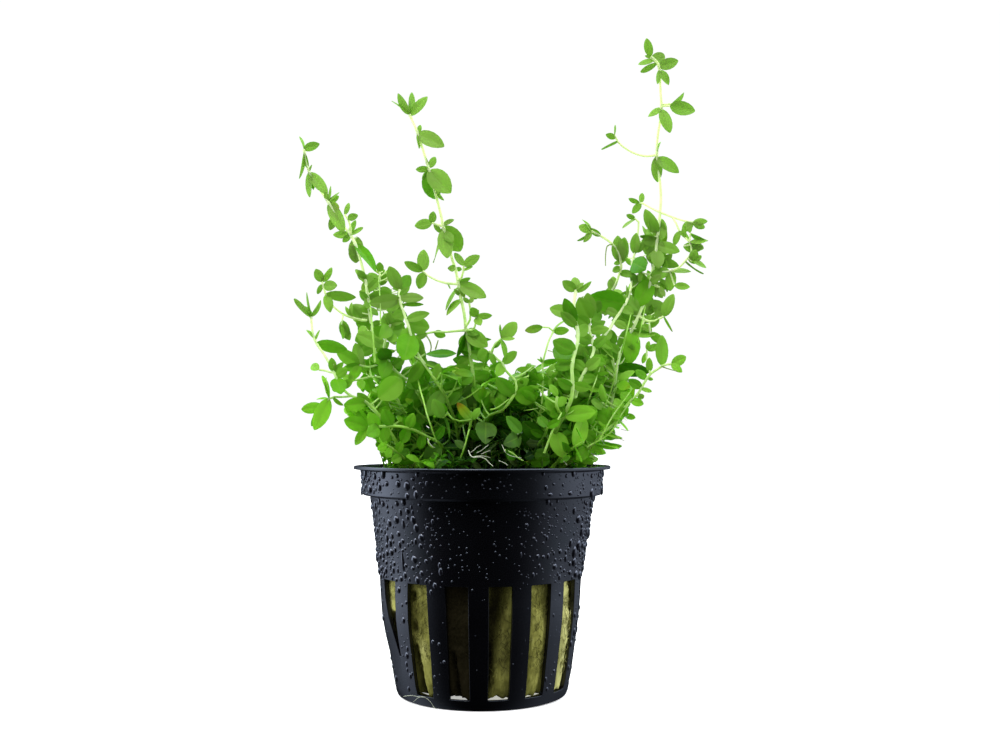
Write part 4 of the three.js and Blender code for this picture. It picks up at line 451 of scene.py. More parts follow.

# More leaves of the same stems, with how bright and how pale each is:
# [base across, base up, tip across, tip up, width as seen, brightness, paleness]
# Each listed brightness is how the leaf looks, partly its own green and partly painted light and shade
MORE_LEAVES = {
    "right_tall_stem": [
        [38.4, 96.6, 39.2, 101.7, 2.8, 0.6, 0], [38.3, 96.9, 34.7, 96.9, 2, 0.5, 0],
        [38.2, 94.8, 35.8, 93.8, 2, 0.55, 0.6], [37.9, 94.8, 38.4, 90.7, 2.6, 0.5, 0.3],
        [40.7, 90.4, 36.6, 89.2, 2.3, 0.5, 0], [37, 97.8, 34.3, 97.8, 0.9, 0.5, 0],
        [34.6, 89.8, 34.5, 82.3, 3.7, 0.72, 0], [36.3, 87.4, 38.9, 89.4, 1.5, 0.6, 0.3],
        [41.4, 89.9, 40.8, 85.8, 2.1, 0.85, 0.2], [41.8, 87.1, 45.2, 86.7, 1.4, 0.7, 0.1],
        [38.2, 87, 37.6, 84.5, 1.2, 0.6, 0.8], [38.6, 86.7, 39.7, 84.6, 1, 0.6, 0.8],
        [46, 100.7, 43.6, 99.1, 1.8, 0.6, 0], [46, 100.4, 48.6, 99.8, 1.2, 0.5, 0],
        [45.4, 98.6, 49.2, 96.8, 0.8, 0.4, 0], [44.2, 97.6, 43.8, 99.8, 1, 0.65, 0],
        [43.8, 95.7, 48.1, 95.3, 2.1, 0.7, 0], [45.7, 92.4, 46.6, 94.9, 1.8, 0.6, 0],
        [46.2, 92.5, 47.8, 93.6, 1, 0.6, 0], [43, 98.5, 45.2, 97.1, 0.9, 0.75, 0.2],
        [31.7, 77.6, 29.9, 71, 2.7, 0.6, 0.7], [32.8, 76.4, 37.6, 76.3, 1.5, 0.6, 0],
        [36.4, 76.7, 39.7, 74.2, 1.7, 0.6, 0], [34.8, 78.5, 36.8, 77, 1.4, 0.8, 0.2],
        [34.8, 79.1, 36.9, 80.4, 1, 0.8, 0.2], [32.6, 78.3, 30.3, 78.9, 1.4, 0.7, 0.3],
        [33.4, 79.6, 34.6, 76.4, 1.6, 0.75, 0.3], [29.2, 70.6, 25.6, 72.6, 2.4, 0.4, 0],
        [28.6, 66.2, 31.8, 67.4, 2.2, 0.4, 0], [28.8, 68.2, 24.8, 67.6, 2.4, 0.45, 0.2],
        [29.6, 72.2, 26.4, 74.8, 2, 0.5, 0], [30.6, 74, 33.4, 72.6, 1.8, 0.5, 0],
        [27.6, 60.8, 31, 62.8, 2.4, 0.4, 0], [28, 62.6, 24.4, 63.2, 2.2, 0.4, 0],
    ],
    "right_long_fork": [
        [33.2, 94.4, 35.6, 96.5, 1.6, 0.6, 0], [32.5, 91.9, 36, 91.8, 2.9, 0.4, 0],
        [32.4, 89.8, 33.6, 86.2, 1.6, 0.4, 0], [30.3, 83.6, 32.4, 79, 2.2, 0.35, 0],
        [31.6, 84.4, 34, 81.4, 2, 0.35, 0], [29.4, 80.6, 26.4, 82, 1.6, 0.6, 0.2],
        [28.6, 79.2, 31.4, 77.6, 1.6, 0.7, 0.3], [27.6, 77.4, 28.9, 74.3, 1.8, 0.45, 0],
        [25.6, 75, 28.2, 73.2, 1.6, 0.5, 0],
    ],
    "right_fork": [
        [30.4, 91.9, 31, 97.6, 2.6, 0.5, 0], [30.3, 92.1, 28.6, 91.8, 0.9, 0.4, 0],
        [30.2, 89.8, 33.2, 89.2, 1.5, 0.45, 0], [28.4, 85.6, 28.1, 88.6, 1.7, 0.75, 0.4],
        [24, 80.3, 22.8, 85.4, 2.6, 0.65, 0.4], [23.6, 80.2, 26, 80.2, 2.2, 0.45, 0],
        [24.2, 81, 25.7, 83.6, 2, 0.4, 0], [23.4, 77.4, 26.7, 79.2, 1.6, 0.4, 0],
        [23.2, 78.4, 20.2, 80.4, 2.2, 0.5, 0], [24, 74.6, 20.2, 76.2, 2.4, 0.45, 0],
        [24.2, 73.4, 26.9, 76, 2, 0.45, 0], [22.4, 68.6, 19.2, 70.8, 2, 0.45, 0],
        [23.4, 71, 26.8, 70, 2.2, 0.4, 0], [21.3, 66.6, 17.8, 68.4, 2.2, 0.4, 0],
    ],
    "thick_right_stem": [
        [20.4, 77.8, 17, 81.3, 2, 0.45, 0], [20.2, 76, 22.9, 78.4, 2.2, 0.5, 0],
        [20, 72.6, 15.3, 75, 3.2, 0.42, 0], [19.4, 69.6, 15.6, 69.4, 2.2, 0.35, 0],
        [18.4, 60.2, 14.6, 58.6, 2.4, 0.4, 0], [17, 59.4, 13.8, 62.6, 2.6, 0.6, 0],
        [17.5, 58.8, 16.2, 62.8, 0.9, 0.6, 0.3], [18.8, 58.5, 24.8, 60, 3, 0.5, 0],
    ],
    "left_tall_stem": [
        [-27.2, 97.5, -27.6, 91.8, 2.9, 0.55, 0.7], [-25.6, 88, -27, 90.3, 1.6, 0.55, 0],
        [-23, 86.6, -24.8, 89.5, 2.4, 0.55, 0], [-24.8, 85.6, -22.4, 88.4, 1.6, 0.6, 0],
        [-22.3, 88.8, -19.1, 88.9, 1.4, 0.5, 0], [-22.3, 86.2, -19.6, 85.2, 1.6, 0.5, 0],
        [-24.8, 84.6, -21.8, 82.4, 2.4, 0.4, 0], [-24.9, 83.4, -26.6, 85.6, 1.4, 0.5, 0],
        [-25, 79.6, -28.7, 82.5, 3, 0.55, 0.6], [-24.4, 77.6, -27.4, 78.7, 1.8, 0.45, 0],
        [-24.2, 78.3, -21.9, 79, 1.2, 0.5, 0], [-23.7, 76.4, -27.6, 75, 3, 0.55, 0.5],
        [-23.2, 73.6, -26.6, 72, 2.2, 0.5, 0], [-22.4, 70.4, -20, 72.4, 2, 0.3, 0],
        [-25.4, 69.4, -28, 71.8, 1.6, 0.55, 0.8], [-26.4, 69.6, -30.2, 68.8, 1.6, 0.45, 0],
        [-22.9, 71.6, -24.8, 68.4, 2.2, 0.45, 0], [-33.4, 104.9, -31.8, 100.6, 1.8, 0.5, 0],
        [-31.9, 102.4, -33.2, 99, 1.6, 0.6, 0.6], [-33.6, 105.2, -34.4, 107.6, 0.9, 0.8, 0.3],
        [-37.6, 111.4, -36.8, 107.8, 1, 0.5, 0], [-28.9, 98.2, -27.6, 101.2, 1.1, 0.5, 0],
        [-28.6, 98, -30.4, 96.4, 1.2, 0.5, 0], [-21.6, 68.2, -25.2, 70.2, 2, 0.4, 0],
        [-20.8, 66.4, -17.6, 66.8, 2, 0.4, 0], [-24.8, 82, -22.6, 80.4, 1.2, 0.45, 0],
    ],
    "left_fork": [
        [-30.4, 79.3, -29.2, 75.2, 2, 0.5, 0.1], [-26.4, 79.6, -28.2, 82.6, 2, 0.5, 0.5],
        [-34.6, 87.2, -35.8, 85, 1, 0.5, 0],
    ],
    "left_cluster_stem": [
        [-19.9, 76.2, -20.8, 80.9, 2.6, 0.6, 0], [-20.3, 78, -22.2, 75.4, 2.6, 0.5, 0],
        [-20, 78.4, -16.8, 78.4, 2, 0.5, 0], [-20.6, 76, -18.4, 74.9, 1.8, 0.5, 0],
        [-21.3, 73.4, -23.9, 75.2, 1.8, 0.4, 0], [-20.6, 70.6, -22, 73.2, 2.8, 0.15, 0],
        [-20.2, 70.4, -18.3, 67, 2.2, 0.4, 0], [-20.8, 71.6, -24.2, 70.6, 2.2, 0.45, 0],
        [-17.6, 67.4, -14.8, 68.8, 2, 0.4, 0], [-16.2, 66.2, -13.6, 64.4, 2.2, 0.4, 0],
        [-15.2, 60.6, -15.3, 65.8, 3.4, 0.45, 0], [-19.4, 69.2, -16.8, 71, 1.8, 0.35, 0],
    ],
    "inner_left_stem": [
        [-15.4, 76.2, -13, 71.2, 2.9, 0.66, 0], [-16, 77.6, -18.3, 72.2, 2.6, 0.6, 0],
        [-18, 86.2, -19.8, 90.8, 1.8, 0.55, 0], [-17.2, 81.4, -19.6, 80, 1.6, 0.55, 0],
        [-13, 69.8, -16, 65.8, 2.4, 0.5, 0], [-12.2, 70.6, -8.6, 68.8, 1.3, 0.25, 0],
        [-10.4, 66.6, -7, 68.8, 2, 0.45, 0], [-17.8, 84.6, -15.8, 86.6, 1.2, 0.5, 0],
    ],
    "middle_tall_stem": [
        [-3.3, 76.2, -5, 73.6, 1.6, 0.4, 0], [-2.8, 72.4, 0.6, 70.8, 2, 0.45, 0],
        [-2.6, 71.2, -5.6, 69.2, 2, 0.5, 0], [-3.4, 77.2, -0.6, 76.2, 1.6, 0.4, 0],
        [-3.4, 76.4, -0.4, 72, 2.2, 0.45, 0], [-2.2, 67.6, -5, 65.6, 2.2, 0.4, 0],
        [-5.2, 87.6, -2.6, 88.6, 1, 0.55, 0], [-4.6, 84.8, -6.2, 86.2, 0.8, 0.5, 0],
        [-11.8, 112.2, -13.2, 110.2, 1, 0.55, 0], [-8.4, 98.6, -6.4, 96.4, 1.8, 0.5, 0],
    ],
    "far_left_stem": [
        [-22.4, 62.4, -17.6, 66.7, 4.3, 1, 0], [-32, 68, -30, 70.2, 1.2, 0.5, 0],
        [-30.6, 65.4, -32.4, 64.2, 1.6, 0.6, 0], [-30.4, 64.8, -28, 66.2, 1.6, 0.5, 0],
        [-26, 62.2, -28.6, 60.2, 2, 0.4, 0], [-24.4, 61, -27, 63.6, 1.8, 0.5, 0.3],
        [-20.9, 57, -24, 58.8, 2, 0.45, 0], [-19.4, 54.4, -22.8, 53.2, 2, 0.4, 0],
        [-36.9, 79.6, -38.4, 82.4, 0.9, 0.5, 0],
    ],
    "low_right_stem": [
        [30.6, 60.2, 28, 58.2, 2.2, 0.45, 0], [32.4, 62, 29.8, 63.6, 2, 0.5, 0.3],
        [34.4, 64.8, 31.6, 66.6, 1.8, 0.4, 0], [26.2, 55.2, 28.8, 53.8, 1.8, 0.4, 0],
        [24.4, 53.2, 22.2, 55.4, 2.2, 0.45, 0], [35.6, 66.6, 33.2, 68.6, 1.6, 0.35, 0],
        [29.6, 58.4, 31.6, 60.4, 1.6, 0.4, 0], [29, 57.8, 23.8, 59.4, 3, 0.5, 0],
        [22.6, 51.6, 20.2, 49.2, 2.4, 0.5, 0],
    ],
    "low_left_stem": [
        [-15.6, 50.4, -19.2, 50.6, 2.2, 0.2, 0], [-14.6, 49.6, -17.8, 48.6, 1.8, 0.2, 0],
    ],
    "arching_stem": [
        [-13.4, 55, -17, 58.4, 2.4, 0.35, 0], [-10.2, 53.4, -8.2, 56.4, 1.6, 0.3, 0],
        [-19.6, 56.6, -21.4, 60.2, 2.4, 0.4, 0.2],
    ],
    "brown_tipped_shoot": [
        [-8.6, 58.2, -10.6, 62.3, 2.4, 0.5, 0.7], [-3, 55.4, -0.4, 53.4, 1.6, 0.2, 0],
    ],
    "short_front_stem": [
        [12.4, 54, 8.6, 57.4, 3, 0.12, 0], [10, 48.9, 14.6, 48.9, 2, 0.3, 0],
    ],
    "curved_shoot": [
        [6.7, 62.4, 4.4, 66.2, 1.6, 0.5, 0], [4.3, 70, 1.4, 68.8, 1.4, 0.4, 0],
        [7.3, 65, 10, 66.6, 1.8, 0.45, 0], [1.6, 72.4, 2.8, 69.4, 1.2, 0.4, 0],
    ],
}

# Bush stems: name, foot x and y, tip x, y and z, and a number that starts the leaves' variation
BUSH_STEMS = [
  ["back_stem_left", -6, 8, -14, 18, 68, 11],
  ["back_stem_middle", 0, 8, -3, 22, 70, 23],
  ["back_stem_right", 7, 10, 13, 22, 68, 37],
  ["back_stem_far_left", -10, 11, -24, 20, 62, 41],
  ["back_stem_far_right", 11, 8, 27, 18, 66, 53],
  ["back_stem_low_left", -5, 14, -10, 29, 58, 67],
  ["back_stem_low_right", 6, 15, 12, 30, 58, 71],
  ["back_stem_low_middle", 1, 14, 2, 32, 55, 83],
  ["side_stem_left", -14, 4, -30, 9, 58, 97],
  ["side_stem_right", 15, 3, 31, 7, 58, 101],
  ["inner_stem_left", -5, 4, -6, 6, 66, 113],
  ["inner_stem_right", 3, 3, 6, 2, 67, 127],
  ["inner_stem_far_right", 10, 5, 20, 6, 68, 131],
  ["inner_stem_far_left", -11, 1, -14, 2, 60, 139],
  ["front_stem_middle", 4.6, -12.8, 7.5, -25, 55, 149],
  ["front_stem_left", -9, -12, -14, -26, 53, 157],
  ["front_stem_right", 11, -12, 22, -20, 54, 163],
]

# Outline of the dense growth as seen from the front, [across, up], clockwise from low left
BUSH_OUTLINE = [
    (-19.5, 47.6), (-21.5, 50), (-23, 53.5), (-27.5, 56.5), (-30, 59.5), (-30.5, 62.2), (-25.8, 62.2),
    (-25.8, 68.3), (-24, 70), (-21.3, 71), (-19.4, 66.2), (-15.4, 65.4), (-14.6, 71.5), (-12.4, 69.3),
    (-5.8, 69.2), (-2, 70.5), (2.4, 69.5), (3.6, 66.4), (6.1, 64.6), (7.2, 68.9), (9.5, 70), (12, 70.6),
    (16, 71), (20, 72.5), (24, 73.5), (28.4, 73.4), (31.2, 67), (33, 63), (31.5, 60), (29.8, 56),
    (28.4, 52), (24.5, 48),
]

# Outlines of the looser growth on the left and on the right above it, in the same way
LEFT_MASS = [
    (-25.8, 66), (-28.2, 69.8), (-28.6, 72.4), (-26.2, 73.2), (-27.8, 75.2), (-27.4, 79), (-29.6, 80.6),
    (-29.2, 83), (-26.8, 83.4), (-26.4, 85.4), (-25.4, 86.4), (-27.2, 90.2), (-25.8, 90.4), (-25, 89.4),
    (-23, 90.4), (-22.4, 92), (-21.2, 90.8), (-19, 91), (-16.9, 89.7), (-15.4, 89), (-15.4, 86.6),
    (-16.4, 84.8), (-12.9, 84.5), (-13.4, 82.8), (-17, 82.2), (-16.6, 81), (-11.8, 81), (-13.2, 79.8),
    (-11.6, 78.4), (-12.2, 77), (-15, 76), (-12.8, 72.8), (-13, 70.4), (-15.5, 70.4), (-18.4, 71),
    (-18, 68), (-20, 66),
]
RIGHT_MASS = [
    (18.8, 72), (20.2, 76), (19.4, 80.6), (20.6, 84.6), (23.2, 85.6), (25.4, 86.6), (28, 86.2),
    (28.4, 88.8), (29.2, 91.8), (28.9, 96), (29.6, 98), (31.6, 97.4), (32.4, 96.2), (33.6, 98.5),
    (36, 98), (34.6, 100.6), (35.2, 103.6), (37, 101.4), (39.4, 101.5), (40.3, 98.6), (40, 96.2),
    (42.9, 94.6), (41.6, 92.4), (42.9, 91.2), (41.4, 89.8), (42.2, 88), (41.6, 84.4), (40, 81),
    (37.8, 79.6), (36.8, 77), (33.8, 76), (33.8, 72), (32.2, 70), (36, 68), (35.8, 65.6), (33, 63),
    (28, 62), (24, 66),
]

# Small places where the white ground shows through the growth: [across, up, radius]
OPEN_PLACES = [
    (-27.4, 67.2, 0.9), (-27.6, 64.1, 1.7), (-19.6, 72, 1.6), (-17, 68.4, 1.8), (-8.4, 65, 0.5),
    (-6.2, 64.8, 0.8), (5, 67.4, 1.1), (6.6, 65.6, 0.7), (9.5, 65.3, 0.35), (12.6, 63.3, 0.3),
    (20.7, 60.5, 0.3), (29.5, 75, 0.9), (31.4, 66.1, 0.7), (34.3, 66.6, 0.5), (30.5, 61.3, 0.5),
    (-13.2, 74.6, 1.3), (23, 75.3, 0.6), (33.4, 93.8, 0.9), (30.8, 87.6, 1.2), (31.4, 89, 0.8),
    (37.8, 84.8, 0.7), (39.6, 84.9, 0.7), (24.7, 82.7, 0.4), (26.8, 79.3, 0.6), (28.8, 77.8, 0.8),
    (34.4, 74.4, 0.9), (36.2, 75.2, 1), (34.4, 72.5, 0.7), (37, 92, 0.5), (-20.8, 87, 1),
    (-20.4, 86, 0.6), (-23.4, 80.6, 0.9), (-21.6, 80.6, 0.7), (-23, 79.6, 0.6), (-16.8, 78.4, 0.6),
    (-23.2, 75.6, 0.5), (-19.9, 74.2, 0.8), (-24.6, 71.4, 1), (-28.6, 77.2, 1), (-28.2, 74.4, 1),
    (-14.2, 81.8, 0.7), (-14.4, 86, 1), (-27, 87.4, 1.4), (-12.4, 82, 1),
]

# Shaded hollows in the front of the growth: [across, up, half width, half height, how dark]
HOLLOWS = [(5, 52.5, 9, 7.5, 0.45), (-3.5, 49.5, 7, 4.5, 0.3), (-6.5, 56, 3, 3, 0.15)]

# Where the drawn stems show from the front, cell by cell, and how deep they lie there
SIGHT_CELL = 0.9
SHOWN_STEMS = {}
SHOWN_FROM_HEIGHT = 51.5
NOTHING_SHOWN = -99
HIDING_GAP = 0.2
HIDING_PLACES = (0.35, 0.65, 0.95)

# How far the growth stays off the pot's mouth and the wool
MOUTH_RADIUS = 23
MOUTH_CLEARANCE = 0.4
WOOL_CLEARANCE = 0.3

# Numbers that start the variation of the growth, the roots, the drops and the fibres
FILL_SEED = 31
LOW_SEED = 77
HAIR_SEED = 3
DROP_SEED = 5
FIBRE_SEED = 19

# Pairs of leaves on the twigs: turn and roll either way, and spans of size, climb and width
PAIR_TURN = 0.3
PAIR_ROLL = 0.8
PAIR_SIZES = (0.75, 1.2)
PAIR_CLIMBS = (0.1, 0.8)
PAIR_WIDTHS = (0.36, 0.56)

# Twigs and bush stems
TWIG_POINTS = 7
TWIG_BEND = (0.6, 0.6, 0.3)
TWIG_TAPER = 0.45
TWIG_BARE = 0.35
TWIG_LEAFY = 0.65
TWIG_FIRST_LEAVES = 1.15
TWIG_LEAVES_SHRINK = 0.45
TWIG_SIDES = 5
BUSH_STEM_POINTS = 15
BUSH_BEND_SHARES = (0.6, 0.4)
BUSH_BEND_FOOT = 46
BUSH_BEND_RISE = 0.7
BUSH_FIRST_PAIR = 4
BUSH_STEM_RADIUS = 0.4
BUSH_STEM_SIDES = 7
BUSH_LEAVES = (4.4, 6.4)
BUSH_LEAF_ROWS = 8

# Reach of the dense growth from the pot's axis: height, radius
GROWTH_REACH = [(46, 21), (50, 24), (55, 29), (60, 32), (66, 33), (74, 32)]

# Filling twigs of the bush, with the lengths of twigs and leaves
FILL_TWIGS = 600
FILL_TRIES = 6000
FILL_HEIGHTS = (50, 73)
FILL_TOP_ANCHOR = 72
FILL_TWIG_RISE = 2.5
FILL_TWIG_LENGTHS = (4, 15)
FILL_LONG_TWIG = 7
FILL_LEAVES = (3.8, 7.2)
FILL_TWIG_RADIUS = 0.22
FILL_LEAF_ROWS = 7
FRONT_SHARE = 0.55
FRONT_LIMIT = -15

# Filling twigs of the looser growth above the bush, and its masses:
# outline, stems, depths and the number that starts the variation
MASS_TWIGS = 60
MASS_TRIES = 4000
MASS_TWIG_LENGTHS = (1.5, 8)
MASS_LEAVES = (4, 6)
MASS_TWIG_RADIUS = 0.16
MASSES = [
    (LEFT_MASS, ("left_tall_stem", "left_cluster_stem", "inner_left_stem", "left_fork"), (-1, 11), 5),
    (RIGHT_MASS, ("right_tall_stem", "right_fork", "right_long_fork", "thick_right_stem"), (0, 12), 9),
]

# Low growth at the mouth of the pot
LOW_TWIGS = 230
LOW_TRIES = 6000
LOW_REACH = 20.5
LOW_HEIGHTS = (47, 54)
LOW_SPREAD = 0.28
LOW_PAIRS = 4
LOW_LEAVES = (2.2, 4.6)
LOW_LEAF_ROWS = 6
LOW_BACK_FROM = 6
LOW_SIDE_FROM = 7

# Threads and roots, and the hair-like roots at the right
THREAD_TAPER = 0.4
THREAD_SIDES = 6
HAIR_ROOTS = 16
HAIR_ROOT_HEIGHTS = (50.5, 60)
HAIR_ROOT_RADII = [0.05, 0.045, 0.03]
HAIR_ROOT_SIDES = 5
HAIR_ROOT_DEPTH = -12
HAIR_ROOT_LINE = (24.6, 52, 0.82)
HAIR_ROOT_WAYS = ((0.5, 1.1), (-0.8, 0.2), (-0.7, 0.3))
HAIR_ROOT_LENGTHS = (0.8, 2)
HAIR_ROOT_SAG = (-0.4, 0.3)

# Hair-like stalks and curls: radius, how brown, then points [across, up, depth]
THREADS = [
    (0.22, 0, [
        (-14.8, 69.8, -1), (-14.1, 67.4, -6), (-13.5, 64.6, -13), (-12.8, 62.2, -17), (-11.9, 58.8, -20),
        (-10.9, 55.8, -20), (-9.9, 53, -17.4)]),
    (0.16, 0.4, [(28.3, 96, -2), (27.2, 95.7, -2), (26.8, 93.5, -2), (26.8, 91.3, -2)]),
    (0.14, 0.4, [(39, 69.3, -12), (40.5, 68.8, -13), (42.3, 68.3, -14)]),
    (0.18, 0.1, [(-11, 53.8, -17), (-11.7, 53.2, -18.5), (-11.4, 52.3, -19), (-10.6, 51.7, -18)]),
    (0.13, 0, [(17.7, 58.7, -16), (19.2, 59.4, -17), (20.5, 60.6, -16)]),
    (0.2, 0.4, [(-12.2, 76.1, -2), (-11.4, 74.8, -3), (-11.1, 73.5, -3), (-11.3, 72.5, -3)]),
    (0.18, 0.4, [(-10.2, 73, -3), (-9.9, 74, -3), (-9.6, 75, -3)]),
    (0.18, 0, [(1.8, 60, -18), (3, 60.3, -19), (4.5, 61.3, -19), (5.7, 62.3, -19)]),
    (0.2, 0, [(4.8, 51.3, -21), (6.5, 50.6, -22), (7.8, 49.5, -22), (8.8, 49, -22)]),
    (0.13, 0, [(9, 59.8, -15), (10.5, 60, -17), (12, 60.3, -15)]),
    (0.12, 0.4, [(14.2, 72.8, 13.5), (14.7, 72.7, 13), (15.2, 72.5, 12.5)]),
    (0.14, 0.4, [(-31.7, 68.6, -13), (-31.9, 69.2, -13.5), (-32.1, 69.8, -14)]),
    (0.12, 0.4, [(28.3, 54, -12), (29.3, 53.9, -13), (30.2, 53.8, -14)]),
    (0.16, 0, [(22.5, 54, -10), (25.4, 58.6, -9), (27.6, 63.5, -8), (28.9, 68.5, -8), (29.6, 72.6, -7)]),
    (0.15, 0, [(21, 52.6, -9), (23.6, 57.8, -8), (24.6, 62.4, -8), (25.2, 67, -8)]),
    (0.15, 0, [(-19.6, 60, -6), (-21.6, 64, -4), (-24, 67.6, -1), (-24.4, 71.5, 1)]),
    (0.2, 0, [(22.5, 51.9, -14), (27.5, 54.9, -13.5), (30.1, 59, -13), (32.7, 62.6, -12)]),
    (0.17, 0, [(33.6, 74.4, -3), (34.3, 77.3, -7), (34.9, 80, -6), (35.4, 82.4, -3)]),
    (0.18, 0, [(30.1, 72.4, -5), (30.9, 75.2, -9), (31.7, 78.4, -8), (32.5, 81.8, -3)]),
    (0.18, 0, [(25.3, 53.5, -15), (27.9, 58.2, -14.5), (31, 62.5, -13), (33.6, 66, -11)]),
    (0.26, 0, [(13.3, 50.6, -20), (15.2, 55.6, -20), (17.1, 59.3, -18)]),
    (0.18, 0, [(22.6, 60.6, -12), (23.4, 63.2, -14.5), (24.4, 66, -14.5), (25.6, 69.5, -10)]),
    (0.24, 0, [(-23.2, 70.2, -10), (-23.8, 77.2, -9), (-24.4, 83.6, -6)]),
    (0.16, 0, [(-22.1, 78.6, -8), (-22.2, 83.5, -6), (-22.6, 88.7, -3)]),
    (0.2, 0, [(-4.6, 49.8, -18), (-3.9, 51.8, -21), (-3.1, 54.8, -21), (-2.2, 57.9, -19)]),
]

# Pale roots that lie on the growth at the mouth of the pot, and one at its foot
PALE_ROOTS = [
    (0.1, [
        (-3, 51.2, -23), (-2.6, 50.2, -24), (-1.9, 49.7, -24.5), (-0.6, 49.8, -25), (0.6, 49.4, -25.5),
        (1.5, 48.5, -26), (2.3, 47.8, -26.4)]),
    (0.08, [(-1.9, 49.8, -24), (-0.6, 50, -24.6), (0.8, 49.9, -25), (1.7, 49.6, -25)]),
    (0.07, [(-2.7, 50.6, -23), (-1.9, 51.2, -23.6), (-1.2, 51.9, -23.4), (-0.4, 52.3, -23)]),
    (0.07, [(-1.2, 50.7, -23), (-0.2, 51.2, -24), (0.8, 52, -23.6), (1.3, 52.4, -23)]),
    (0.07, [(-0.2, 50.4, -24), (0.8, 50.9, -24.4), (1.7, 51.2, -24)]),
    (0.07, [(4.2, 52.4, -22), (5, 50.8, -23), (6.2, 50, -23.6), (8.4, 49.6, -23)]),
    (0.06, [(3.5, 49, -24), (4.6, 48.6, -25), (5.5, 48, -25.5)]),
    (0.08, [(-11.8, 53.8, -20), (-11.4, 52.8, -20.6), (-10.8, 52.1, -20.8), (-10.2, 51.8, -20.4)]),
    (0.08, [(-21.5, 49.2, -8), (-21.9, 48.6, -9), (-22, 48.1, -10)]),
    (0.07, [(17.5, 48.9, -17), (18, 48.4, -18), (18.2, 48, -18.5)]),
    (0.08, [(23.6, 50.6, -9), (24.4, 49.4, -10), (25.2, 48.5, -10)]),
    (0.07, [(24.3, 50.8, -9), (25.2, 49.8, -10), (25.8, 48.6, -10)]),
    (0.07, [(28, 53.6, -11), (29.6, 53.7, -12), (30.6, 53.3, -13)]),
    (0.06, [(30, 55.8, -12), (31, 55.5, -12.4), (31.8, 55.5, -12)]),
    (0.09, [(6.5, 54.1, -19.6), (7.3, 54.5, -20.2), (8, 55.1, -19.6)]),
    (0.08, [(7.1, 53.6, -19.6), (7.4, 54.5, -20.2), (7, 55.3, -19.6)]),
    (0.07, [(7.2, 54.5, -20.2), (8.1, 54.2, -19.6)]),
    (0.045, [
        (-16.7, -1, -10.6), (-15.2, -0.8, -12.4), (-13.3, -1.1, -14.4), (-12.2, -1.2, -15.2),
        (-11.2, -1.9, -15.9), (-10.3, -3.2, -16.4), (-9.3, -4, -17.3)]),
    (0.04, [(-14.6, -2.1, -13.2), (-13.8, -1.4, -14), (-12.9, -1, -14.8), (-12.2, -1.2, -15.2)]),
]

# Tones of the clearest leaves, found by the leaf's tip: across, up, and then how bright, how brown
# and how pale the leaf is
# Each listed brightness is how the leaf looks, partly its own green and partly painted light and shade
NAMED_TONES = [
    (-5.4, 61.5, (1, 0.8, 0.25)), (-22.4, 60.4, (0.85, 0, 0)), (31.9, 69.8, (0.8, 0, 0)),
    (17.4, 49.6, (1, 0, 0)), (12.1, 63, (0.75, 0, 0)), (19.6, 78.7, (0.5, 0, 0.1)),
    (17.8, 84.2, (0.5, 0, 0.1)), (-24.9, 54.3, (0.6, 0, 0.2)), (-12.3, 48.7, (0.3, 0, 0.3)),
    (-3.3, 60.4, (0.45, 0, 0.5)), (-2.6, 70.4, (0.5, 0, 0.3)), (15.3, 73.2, (0.42, 0, 0.15)),
    (-12, 58.6, (0.5, 0, 0.4)), (36.3, 68.2, (0.36, 0, 0)), (23.2, 84.7, (0.6, 0, 0.1)),
    (0.6, 52.6, (0.12, 0, 0.2)), (-10.3, 105.9, (0.6, 0, 0.3)), (-8.5, 94.5, (0.6, 0, 0.25)),
    (35.6, 90.5, (0.42, 0, 0)), (33.4, 82.4, (0.65, 0, 0)), (-5.6, 72.1, (0.35, 0, 0)),
    (-30.5, 63.3, (0.6, 0, 0)), (-23.2, 89.8, (0.55, 0, 0)), (-29.2, 73, (0.85, 0, 0.1)),
    (-15.7, 89.1, (0.55, 0, 0.3)), (20, 70.3, (0.6, 0, 0.25)), (-17, 70.6, (0.6, 0, 0)),
    (-6.4, 70.9, (0.5, 0, 0)),
]

# Drops on the pot: how their domes are shaped, where none hang, and how many places are tried
DROP_RINGS = [(1.0, -0.12), (0.9, 0.22), (0.55, 0.5)]
DROP_RISE = 0.6
DROP_SAG = 0.12
DROP_TRIES = 16000
DROP_HEIGHTS = (3, 47.1)
DROP_GAP = 1.22
DROP_SIDES = (7, 10)
ROUND_DROP_FROM = 0.28
LONG_DROP_FROM = 0.25
LONG_DROPS = (1, 1.9)
SHORT_DROPS = (0.9, 1.3)
DROP_SLANT = 0.14
DRIP_SLANT = 0.12
SLOT_MARGIN_DEG = 1.2
COLLAR_EDGE = (41.4, 42.3)
WALL_SLANT_BELOW = 41.5
BARS_BELOW = 24
BAR_DROP_SHARE = 0.2
BAR_DROP_SIZE = 0.7

# How thickly drops hang on the left and on the right:
# least, rise, where the rise starts and how far it runs
LEFT_DROPS = (0.14, 0.76, 18, 22)
RIGHT_DROPS = (0.16, 0.5, 22, 40)

# Radii of drops by that thickness: up to which, the least, the spread and how rare the large ones are
DROP_SIZES = [(0.22, 0.11, 0.14, 2), (0.6, 0.14, 0.42, 2.6), (1, 0.18, 0.66, 1.9)]

